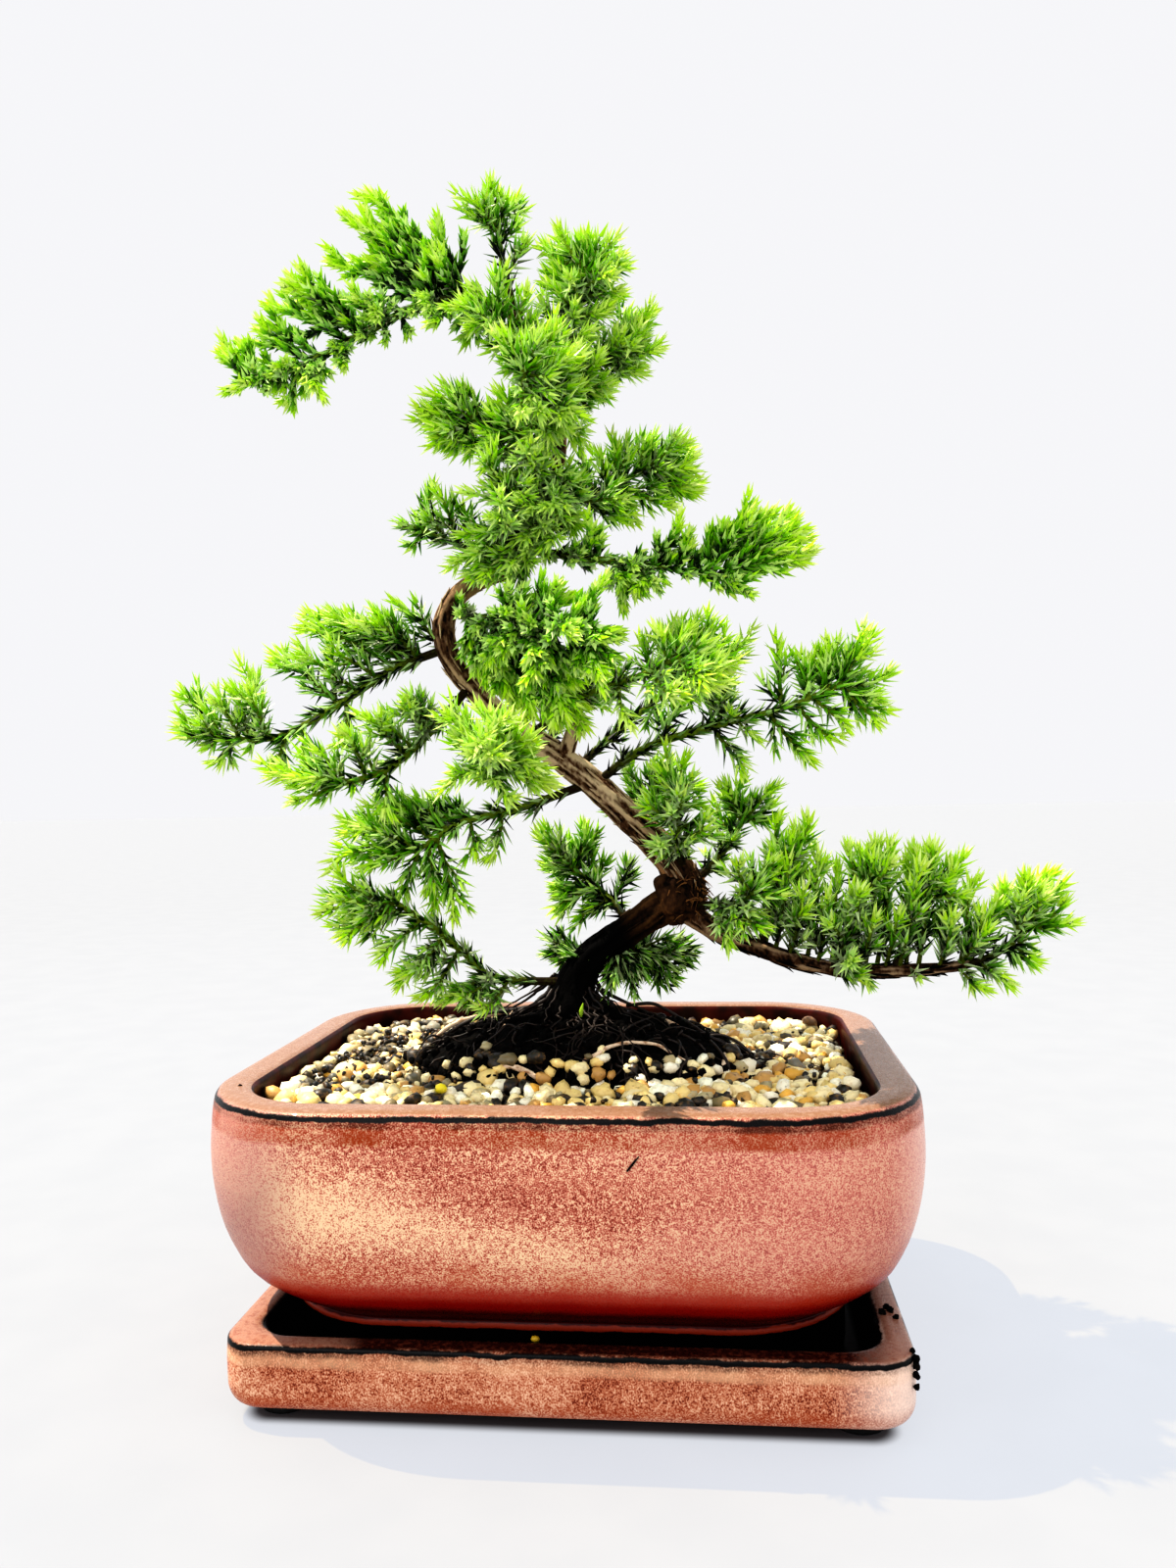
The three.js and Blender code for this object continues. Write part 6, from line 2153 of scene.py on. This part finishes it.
        limb_tips=((115, -20, 119), (109, -28, 117), (121, -14, 122), (106, -26, 96),
                   (117, -24, 97)),
    ),
)


def numbered(counts: np.ndarray) -> tuple[np.ndarray, np.ndarray]:
    """Numbers things that stand in groups.

    Args:
        counts: how many stand in each group.

    Returns:
        Each thing's group, and its own number in that group.
    """
    group = np.repeat(np.arange(len(counts)), counts)
    return group, np.arange(len(group)) - np.repeat(np.cumsum(counts) - counts, counts)


def standing_off(along: np.ndarray, turn: np.ndarray, start: Triple) -> np.ndarray:
    """Directions at right angles to others: the turn's cosine across them plus its sine beside them.

    Args:
        along: the directions that they stand off, one a row.
        turn: how far each is turned about its own, in radians.
        start: a direction; the turn is counted from what stands across both it and along.

    Returns:
        One direction a row.
    """
    across = unit(np.cross(along, np.array(start)))
    beside = np.cross(along, across)
    return np.cos(turn)[:, None] * across + np.sin(turn)[:, None] * beside


def shoot_tint(age: np.ndarray) -> np.ndarray:
    """Returns the tint of a shoot's points: how young they are, a middle shade, and no place along."""
    return np.column_stack([age, np.full_like(age, 0.5), np.zeros_like(age)])


@dataclass
class Shoots:
    """Many shoots as arrays, one row a shoot: each is the parabola from start past bend to end.

    The ages run from 0, old, to 1, new. Bare is the share of the way that has no needles.
    """

    start: np.ndarray
    bend: np.ndarray
    end: np.ndarray
    age_start: np.ndarray
    age_end: np.ndarray
    bare: np.ndarray

    def point(self, rows: np.ndarray, t: np.ndarray) -> np.ndarray:
        """Returns the points of these shoots at the shares t of their way."""
        t = t[:, None]
        return (1 - t) ** 2 * self.start[rows] + 2 * t * (1 - t) * self.bend[rows] + t**2 * self.end[rows]

    def direction(self, rows: np.ndarray, t: np.ndarray) -> np.ndarray:
        """Returns the directions of these shoots at the shares t of their way."""
        t = t[:, None]
        return unit((1 - t) * (self.bend[rows] - self.start[rows]) + t * (self.end[rows] - self.bend[rows]))

    def age(self, rows: np.ndarray, t: np.ndarray) -> np.ndarray:
        """Returns how young these shoots are at the shares t: the fresh growth is all near the tip."""
        return self.age_start[rows] + (self.age_end - self.age_start)[rows] * t**3

    def lengths(self) -> np.ndarray:
        """Returns the length of each shoot, as the mean of its chord and its two legs."""
        legs = np.linalg.norm(self.bend - self.start, axis=1) + np.linalg.norm(self.end - self.bend, axis=1)
        return (np.linalg.norm(self.end - self.start, axis=1) + legs) / 2

    def kept(self, keep: np.ndarray) -> "Shoots":
        """Returns the shoots whose row is marked True."""
        return Shoots(*(values[keep] for values in vars(self).values()))

    def with_more(self, more: "Shoots") -> "Shoots":
        """Returns these shoots followed by more."""
        return Shoots(*(np.concatenate(pair) for pair in zip(vars(self).values(), vars(more).values())))


@dataclass
class Foliage:
    """The needles and their shoots, one piece for each spray; sizes are in millimetres.

    Needles stand in whorls of three, and each whorl is turned by sixty degrees from the one below it.
    Main shoots leave the stem for their tips. Side shoots leave stem and main shoots by a seeded rule.
    Pressed needles open at an age, and over how much more. A stem's radii are at its start and end.
    """

    wood: Wood
    in_whorl: int = 3
    whorl_spacing: float = 1.65
    whorl_jitter: float = 0.22
    needle_length: float = 6.2
    length_spread: Pair = (0.82, 1.15)
    needle_width: float = 1.25
    width_spread: Pair = (0.85, 1.15)
    lean: float = 0.84
    lean_jitter: float = 0.12
    bud_length: float = 4.5
    bud_closes: float = 0.62
    pressed_spacing: float = 1.0
    pressed_length: float = 3.2
    pressed_width: float = 1.25
    pressed_lean: float = 0.55
    pressed_opens: Pair = (0.5, 0.3)
    fill: float = 1.8
    tip_between: Pair = (0.3, 0.7)
    tip_strays: Triple = (2.0, 5.0, 2.0)
    tip_reach: Pair = (0.72, 1.0)
    side_spacing: float = 3.4
    side_length: float = 11.0
    side_spread: Pair = (0.65, 1.2)
    side_lean: Pair = (0.6, 0.9)
    side_lift: float = 0.12
    limb_set_back: float = 0.12
    twig_radius: float = 0.62
    stem_radius: Pair = (1.3, 0.7)
    stem_sides: int = 8
    stem_piece: float = 12.0
    wood_room: float = 2.5
    lowest_z: float = 84.0

    def tip_age(self, spray: Spray) -> float:
        """Returns how young the tips of a spray's main shoots are, from its glow, which also holds painted
        light and shade.
        """
        return 0.66 + 0.38 * spray.glow

    def tips(self, spray: Spray, route: np.ndarray, random: np.random.Generator) -> np.ndarray:
        """Adds tips between the given ones: each lies between two neighbours, a little nearer the stem.

        Args:
            spray: the spray.
            route: points along its stem.
            random: source of the chances.

        Returns:
            The given tips, then the added ones.
        """
        given = np.array(spray.tips, dtype=float)
        count = round(len(given) * spray.fill * self.fill)
        first = np.arange(count) % len(given)
        gap = np.linalg.norm(given[first][:, None] - given[None], axis=-1)
        gap[np.arange(count), first] = np.inf
        near = np.argsort(gap, axis=1)[:, :2]
        second = near[np.arange(count), random.integers(0, 2, count)]
        share = random.uniform(*self.tip_between, (count, 1))
        between = given[first] * (1 - share) + given[second] * share
        between += random.normal(0, 1, (count, 3)) * np.array(self.tip_strays)
        away = np.linalg.norm(between[:, None] - route[None], axis=-1)
        root = route[np.argmin(away, axis=1)]
        added = root + (between - root) * random.uniform(*self.tip_reach, (count, 1))
        return np.vstack([given, added])

    def main_shoots(self, spray: Spray, route: np.ndarray, tips: np.ndarray) -> Shoots:
        """Shoots from the stem to the tips, each from the stem's point that it leaves best.

        Args:
            spray: the spray.
            route: points along its stem.
            tips: where the shoots end.

        Returns:
            One shoot a tip.
        """
        tangent = unit(np.gradient(route, axis=0))
        way = tips[:, None] - route[None]
        distance = np.linalg.norm(way, axis=-1)
        forward = (unit(way) * tangent[None]).sum(axis=-1)
        best = np.argmin(distance * (1 + 0.5 * np.abs(forward - 0.6)), axis=1)
        best = np.minimum(best, len(route) - 2)
        start, along = route[best], tangent[best]
        chord = tips - start
        off = chord - along * (chord * along).sum(axis=1, keepdims=True)
        reach = np.linalg.norm(chord, axis=1, keepdims=True)
        bend = start + 0.35 * chord + unit(off) * 0.16 * reach
        end = tips - unit(chord) * self.needle_length * 0.45
        place = best / (len(route) - 1)
        count = len(tips)
        return Shoots(start, bend, end, 0.16 + 0.12 * place + 0.08 * spray.glow,
                      np.full(count, self.tip_age(spray)), np.full(count, 0.02))

    def limb_shoots(self, spray: Spray) -> Shoots:
        """Shoots that stand on the low limb, each a little behind the place under its tip.

        Args:
            spray: the spray that they belong to.

        Returns:
            One shoot a limb tip.
        """
        limb = smooth_route(self.wood.low_limb, 1.0)[:, :3]
        tips = np.array(spray.limb_tips, dtype=float).reshape(-1, 3)
        wanted = tips[:, 0] - self.limb_set_back * np.abs(tips[:, 2] - limb[:, 2].min())
        start = limb[np.argmin(np.abs(limb[None, :, 0] - wanted[:, None]), axis=1)]
        bend = start * 0.6 + tips * 0.4 + np.array([self.limb_set_back, 0, 0]) * 10
        count = len(tips)
        return Shoots(start, bend, tips, np.full(count, 0.2), np.full(count, self.tip_age(spray)),
                      np.full(count, 0.12))

    def side_shoots(self, mains: Shoots, length: float, fresh: float, random: np.random.Generator,
                    ) -> Shoots:
        """Side shoots along other shoots: each is turned by the golden angle from the one before it.

        Args:
            mains: the shoots that they grow from.
            length: usual length at the root of a main shoot; it falls off to half at the tip.
            fresh: how much younger the end of a side shoot is than its root.
            random: source of the chances.

        Returns:
            The side shoots.
        """
        whole = mains.lengths()
        counts = np.maximum(((whole * (1 - mains.bare) - 3) / self.side_spacing).astype(int), 0)
        rows, order = numbered(counts)
        place = (order + 0.6 + random.uniform(-0.3, 0.3, len(rows))) / np.maximum(counts[rows], 1)
        t = mains.bare[rows] + place * (0.94 - mains.bare[rows])
        start, along = mains.point(rows, t), mains.direction(rows, t)
        turn = order * GOLDEN_ANGLE + rows * 1.7 + random.uniform(-0.4, 0.4, len(rows))
        outward = standing_off(along, turn, (0.36, 0.48, 0.8))
        lean = random.uniform(*self.side_lean, len(rows))[:, None]
        heading = along * np.cos(lean) + outward * np.sin(lean)
        size = length * (1 - 0.5 * t) * random.uniform(*self.side_spread, len(rows))
        size = (size * np.minimum(1, 0.45 + whole[rows] / 45))[:, None]
        bend = start + heading * size * 0.55
        end = start + heading * size * 0.8 + along * size * 0.3 + np.array([0, 0, self.side_lift]) * size
        root_age = mains.age(rows, t)
        return Shoots(start, bend, end, root_age * 0.92, np.minimum(root_age + fresh, 1.0),
                      np.full(len(rows), 0.04))

    def needles(self, shoots: Shoots, spray: Spray, random: np.random.Generator, skin: Skin) -> None:
        """Adds the needles: each is a slim awl of three long sides on a small three-cornered base.

        A needle leans from its shoot by an angle that falls towards the shoot's tip, where the youngest
        needles close into a bud. The inner side of a needle is the flat one that faces along the shoot.

        Args:
            shoots: the shoots that carry them.
            spray: the spray, for its habit.
            random: source of the chances.
            skin: the surfaces that the needles join.
        """
        pressed = spray.habit is Habit.PRESSED
        spacing = self.pressed_spacing if pressed else self.whorl_spacing
        lengths = shoots.lengths()
        counts = np.maximum((lengths * (1 - shoots.bare) / spacing).astype(int), 3)
        rows, order = numbered(counts)
        t = shoots.bare[rows] + (order + 0.5) / counts[rows] * (1 - shoots.bare[rows])
        rows, t, order = (np.repeat(values, self.in_whorl) for values in (rows, t, order))
        total = len(rows)
        arm = np.tile(np.arange(self.in_whorl), total // self.in_whorl)
        root, along = shoots.point(rows, t), shoots.direction(rows, t)
        turn = arm * 2 * math.pi / self.in_whorl + order * math.pi / self.in_whorl
        turn += random.normal(0, self.whorl_jitter, total)
        outward = standing_off(along, turn, (0.6, -0.64, 0.48))
        young = np.clip(shoots.age(rows, t), 0, 1)
        bud = np.clip(1 - (1 - t) * lengths[rows] / self.bud_length, 0, 1)
        lean = self.lean * (1 - 0.15 * t) * (1 - self.bud_closes * bud)
        full = self.needle_length * np.clip(0.7 + lengths[rows] / 50, 0.78, 1.0) * (1 - 0.22 * bud)
        if pressed:
            opened = rising(young, *self.pressed_opens)
            lean = self.pressed_lean * (1 - opened) + lean * opened
            full = self.pressed_length * (1 - opened) + full * opened * 0.9
        lean = (lean + random.normal(0, self.lean_jitter, total))[:, None]
        length = (full * random.uniform(*self.length_spread, total))[:, None]
        heading = unit(along * np.cos(lean) + outward * np.sin(lean))
        inner = unit(along - heading * (along * heading).sum(axis=1, keepdims=True))
        width = self.needle_width * (self.pressed_width if pressed else 1.0)
        width = width * random.uniform(*self.width_spread, total)[:, None]
        base = root + outward * 0.25 + heading * length * 0.1
        across = np.cross(heading, inner) * width / 2
        left, right = (base + side * across + inner * width * 0.12 for side in (1, -1))
        keel = base - inner * width * 0.45
        tip = base + heading * length * 0.9 + inner * length * 0.07
        points = np.stack([left, right, keel, tip], axis=1).reshape(-1, 3)
        shape = np.array([[0, 3, 1], [1, 3, 2], [2, 3, 0], [0, 1, 2]])
        faces = (shape[None] + 4 * np.arange(total)[:, None, None]).reshape(-1, 3)
        finish = np.tile([1, 0, 0, 0], total)
        own = random.uniform(0, 1, total)
        tint = np.stack([np.repeat(young, 4), np.repeat(own, 4), np.tile([0, 0, 0, 1.0], total)], axis=-1)
        skin.add(from_tree(points), faces, finish=finish, tint=tint)

    def cores(self, shoots: Shoots, radius: float, skin: Skin) -> None:
        """Adds the slim core of every shoot: a four-sided tube that tapers to half at its tip.

        Args:
            shoots: the shoots.
            radius: radius at the root.
            skin: the surfaces that the cores join.
        """
        count, rows = len(shoots.start), 6
        t = np.tile(np.linspace(0, 0.97, rows), count)
        which = np.repeat(np.arange(count), rows)
        centres = shoots.point(which, t).reshape(count, rows, 3)
        taper = radius * (1 - 0.5 * np.linspace(0, 1, rows))[None]
        scale = np.clip(shoots.lengths() / 14, 0.6, 1.0)[:, None]
        points, quads, fans = tubes(centres, taper * scale, 4)
        age = shoots.age(which, t).reshape(count, rows)
        age = np.concatenate([np.repeat(age, 4, axis=1), age[:, :1], age[:, -1:]], axis=1).ravel()
        skin.add(from_tree(points), quads, fans, finish=2, tint=shoot_tint(age))

    def stem_pieces(self, route: np.ndarray, spray: Spray) -> Shoots:
        """Cuts a stem into short shoots, stem_piece or so long, so that the rules for shoots hold.

        Args:
            route: points along the stem.
            spray: the spray.

        Returns:
            The pieces in order from the root.
        """
        length = float(np.linalg.norm(np.diff(route, axis=0), axis=1).sum())
        count = max(2, round(length / self.stem_piece))
        cut = np.linspace(0, len(route) - 1, 2 * count + 1).round().astype(int)
        start, middle, end = route[cut[0:-1:2]], route[cut[1::2]], route[cut[2::2]]
        bend = 2 * middle - (start + end) / 2
        place = np.arange(count) / count
        bare = np.clip(spray.bare / length * count - np.arange(count), 0, 0.98)
        return Shoots(start, bend, end, 0.06 + 0.3 * place, 0.06 + 0.3 * (place + 1 / count), bare)

    def build(self) -> None:
        """Makes one piece for each spray, with its needles, its shoots and its stem."""
        materials = [
            NeedleSkin("needle_outer_face", 0.0).material(),
            NeedleSkin("needle_inner_face", 0.45).material(),
            ShootSkin().material(),
        ]
        total = 0
        for number, spray in enumerate(SPRAYS):
            random = np.random.default_rng(200 + number)
            route = smooth_route(spray.stem, 1.0)
            stem = self.stem_pieces(route, spray)
            mains = self.main_shoots(spray, route, self.tips(spray, route, random))
            mains = mains.with_more(self.limb_shoots(spray))
            sides = self.side_shoots(mains, self.side_length * spray.side, 0.18 + 0.2 * spray.glow, random)
            carried = stem.kept(stem.bare < 0.9)
            inner = self.side_shoots(carried, self.side_length * 0.8, 0.12 + 0.1 * spray.glow, random)
            small = sides.with_more(inner)
            clear = self.wood.keeps_clear(small.end, self.wood_room)
            small = small.kept(clear & (small.end[:, 2] > self.lowest_z))
            skin = Skin()
            self.needles(carried.with_more(mains).with_more(small), spray, random, skin)
            self.cores(small, self.twig_radius * 0.8, skin)
            self.cores(mains, self.twig_radius * 1.15, skin)
            radii = np.linspace(*self.stem_radius, len(route))[None]
            points, quads, fans = tubes(route[None], radii, self.stem_sides)
            green = np.clip((np.arange(len(route)) - spray.bare) / 35, 0.02, 0.34)
            age = np.append(np.repeat(green, self.stem_sides), [green[0], green[-1]])
            skin.add(from_tree(points), quads, fans, finish=2, tint=shoot_tint(age))
            piece = skin.to_object(f"{spray.name}_needles", materials, smooth=False)
            seat(piece, [spray.name])
            total += sum(len(part) * (part.shape[1] - 2) for part in skin.faces)
        LOG.info("foliage: %d triangles", total)


@dataclass
class Studio:
    """Floor, backdrop, lights and camera. The camera stands where the photograph's did."""

    lens_px: float = 1204.0
    frame_height_px: float = 1600.0
    sensor_mm: float = 36.0
    camera_from_pot: Triple = (4.2, -342.7, 149.5)
    tilt_up_deg: float = 0.6
    roll_deg: float = -1.1
    sees_from_to: Pair = (0.01, 60.0)
    floor_half: float = 12.0
    floor_points: int = 9
    sun_way: Triple = (0.5, -0.12, -1.0)
    sun_width_deg: float = 0.4
    tree_sun: float = 5.0
    tree_sun_colour: str = "fff6e6"
    floor_sun: float = 2.2
    floor_sun_colour: str = "ffd97c"
    paper: str = "626366"
    paper_fibre: str = "66676a"
    fibre_size: float = 30.0
    glow_colour: str = "b5b8bd"
    # How far inside the tray's outline the glow fades out, which paints the dark shadow under the tray.
    painted_shadow_inset: Pair = (-7.0, -2.5)
    gap_bend: float = 11.0
    far_from_to: Pair = (0.2, 1.6)
    far_glow: float = 0.955
    key_watts: float = 3.0
    key_side: float = 0.8
    key_place: Triple = (-0.55, -1.2, 0.75)
    key_aim: Triple = (0.0, 0.0, 0.12)
    sky_light: str = "f0f3f8"
    sky_seen: str = "d3d3d5"

    def add_camera(self) -> None:
        """Makes the camera: level but for a slight upward tilt and a slight roll."""
        camera = bpy.data.cameras.new("camera")
        camera.lens = self.lens_px / self.frame_height_px * self.sensor_mm
        camera.sensor_width = self.sensor_mm
        camera.clip_start, camera.clip_end = self.sees_from_to
        tilt, roll = math.radians(self.tilt_up_deg), math.radians(self.roll_deg)
        turn = Matrix.Rotation(TREE_TURN, 3, "Z")
        level_right = turn @ Vector((1, 0, 0))
        forward = turn @ Vector((0, math.cos(tilt), math.sin(tilt)))
        level_up = level_right.cross(forward)
        right = level_right * math.cos(roll) + level_up * math.sin(roll)
        up = level_up * math.cos(roll) - level_right * math.sin(roll)
        holder = bpy.data.objects.new("camera", camera)
        holder.matrix_world = Matrix((right, up, -forward)).transposed().to_4x4()
        holder.location = from_tree(np.array([self.camera_from_pot]))[0]
        bpy.context.scene.collection.objects.link(holder)
        bpy.context.scene.camera = holder

    def add_floor(self) -> bpy.types.Object:
        """Makes the floor: a wide level sheet of white paper, lit from below as on a light table.

        The glow stops under the tray, which paints a thin dark shadow there, and it fades a little far away,
        where the floor meets the sky.

        Returns:
            The floor.
        """
        count = self.floor_points
        step = np.linspace(-self.floor_half, self.floor_half, count)
        x, y = np.meshgrid(step, step)
        level = np.stack([x, y, np.zeros_like(x)], axis=-1).reshape(-1, 3)
        skin = Skin()
        skin.add(level, grid_faces(count, count, around=False))
        sheet = NodeSheet("white_paper")
        share = sheet.add("MapRange", sheet.grain(self.fibre_size, 3), *GRAIN_REACH)
        colour = sheet.add("Mix", share, linear(self.paper), linear(self.paper_fibre))
        # Painted shadow: the glow stops a little inside the tray's outline, so the floor under the tray
        # stays dark.
        past_tray = sheet.add("MapRange", self.past_tray(sheet), *metres(*self.painted_shadow_inset))
        distance = sheet.add("VectorMath", sheet.place, operation="LENGTH")
        far = sheet.add("MapRange", distance, *self.far_from_to, 1.0, self.far_glow)
        glow = sheet.add("Math", past_tray, far, operation="MULTIPLY")
        paper = sheet.shade(Base_Color=colour, Roughness=0.95, IOR=1.3, Specular_IOR_Level=0.1,
                            Emission_Color=linear(self.glow_colour), Emission_Strength=glow)
        floor = skin.to_object("studio_floor", [paper])
        floor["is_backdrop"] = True
        return floor

    def past_tray(self, sheet: NodeSheet) -> bpy.types.NodeSocket:
        """Distance outside the tray's outline, a box with round corners; inside it is negative.

        It is the length of what the place is past the corners' middles, less the corners' radius.

        Args:
            sheet: the node tree.

        Returns:
            The distance's socket, in metres.
        """
        low, high = (np.array(corner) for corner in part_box("tray"))
        middle, half = (low + high) / 2, (high - low) / 2
        bend = self.gap_bend * MM
        squares = []
        for axis, place in enumerate(sheet.split(sheet.place)[:2]):
            off = sheet.add("Math", sheet.add("Math", place, -float(middle[axis])), operation="ABSOLUTE")
            outside = sheet.add("Math", off, -float(half[axis]))
            past = sheet.add("Math", sheet.add("Math", outside, -bend, operation="MAXIMUM"), bend)
            squares.append(sheet.add("Math", past, past, operation="MULTIPLY"))
        length = sheet.add("Math", sheet.add("Math", *squares), operation="SQRT")
        return sheet.add("Math", length, -bend)

    def add_sun(self, name: str, energy: float, floor: bpy.types.Object, on_floor: bool,
                colour: str) -> None:
        """Adds a sun from the upper left and behind that lights either the floor or all the rest.

        The floor has a sun of its own, so that the tree can stand in strong light on pale paper whose
        shadows are as faint as in the photograph.

        Args:
            name: name of the light.
            energy: its strength.
            floor: the floor.
            on_floor: whether it lights the floor alone, or everything but the floor.
            colour: hex colour of the light.
        """
        sun = bpy.data.lights.new(name, "SUN")
        sun.energy = energy
        sun.angle = math.radians(self.sun_width_deg)
        sun.color = linear(colour)[:3]
        holder = bpy.data.objects.new(name, sun)
        holder.rotation_mode = "QUATERNION"
        holder.rotation_quaternion = Vector(self.sun_way).to_track_quat("-Z", "Y")
        bpy.context.scene.collection.objects.link(holder)
        lit = bpy.data.collections.new(f"{name}_receivers")
        lit.objects.link(floor)
        lit.collection_objects[0].light_linking.link_state = "INCLUDE" if on_floor else "EXCLUDE"
        holder.light_linking.receiver_collection = lit

    def add_key(self) -> None:
        """Adds a soft square light in front, which gives the glaze its highlights."""
        light = bpy.data.lights.new("front_key", "AREA")
        light.energy = self.key_watts
        light.size = self.key_side
        holder = bpy.data.objects.new("front_key", light)
        holder.location = self.key_place
        aim = Vector(self.key_aim) - holder.location
        holder.rotation_mode = "QUATERNION"
        holder.rotation_quaternion = aim.to_track_quat("-Z", "Y")
        bpy.context.scene.collection.objects.link(holder)

    def add_sky(self) -> None:
        """Makes the pale sky: slightly blue where it lights things, neutral where it is seen."""
        world = bpy.data.worlds.new("pale_sky")
        world.use_nodes = True
        tree = world.node_tree
        lighting = tree.nodes["Background"]
        lighting.inputs["Color"].default_value = linear(self.sky_light)
        lighting.inputs["Strength"].default_value = 1.0
        seen = tree.nodes.new("ShaderNodeBackground")
        seen.inputs["Color"].default_value = linear(self.sky_seen)
        path = tree.nodes.new("ShaderNodeLightPath")
        mix = tree.nodes.new("ShaderNodeMixShader")
        tree.links.new(path.outputs["Is Camera Ray"], mix.inputs[0])
        tree.links.new(lighting.outputs[0], mix.inputs[1])
        tree.links.new(seen.outputs[0], mix.inputs[2])
        tree.links.new(mix.outputs[0], tree.nodes["World Output"].inputs["Surface"])
        bpy.context.scene.world = world

    def build(self) -> None:
        """Sets up the whole stage."""
        self.add_camera()
        floor = self.add_floor()
        self.add_sun("tree_sun", self.tree_sun, floor, on_floor=False, colour=self.tree_sun_colour)
        self.add_sun("floor_sun", self.floor_sun, floor, on_floor=True, colour=self.floor_sun_colour)
        self.add_key()
        self.add_sky()
        view = bpy.context.scene.view_settings
        view.view_transform = "Standard"
        view.look = "High Contrast"


def write_sizes() -> None:
    boxes = {"cad": CAD_BOX, "scene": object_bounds()}
    lists = {name: [list(corner) for corner in box] for name, box in boxes.items()}


def main() -> None:
    """Builds the parts of the bonsai from the table upward, then the stage."""
    logging.basicConfig(level=logging.INFO, format="%(name)s %(message)s")
    Studio().build()
    RubberFeet().build()
    DripTray().build()
    Pot().build()
    soil = SoilMound()
    soil.build()
    GravelBed(soil).build()
    wood = Wood(soil)
    wood.build()
    FineRoots(soil).build()
    LooseBits().build()
    Foliage(wood).build()
    write_sizes()


if __name__ == "__main__":
    main()
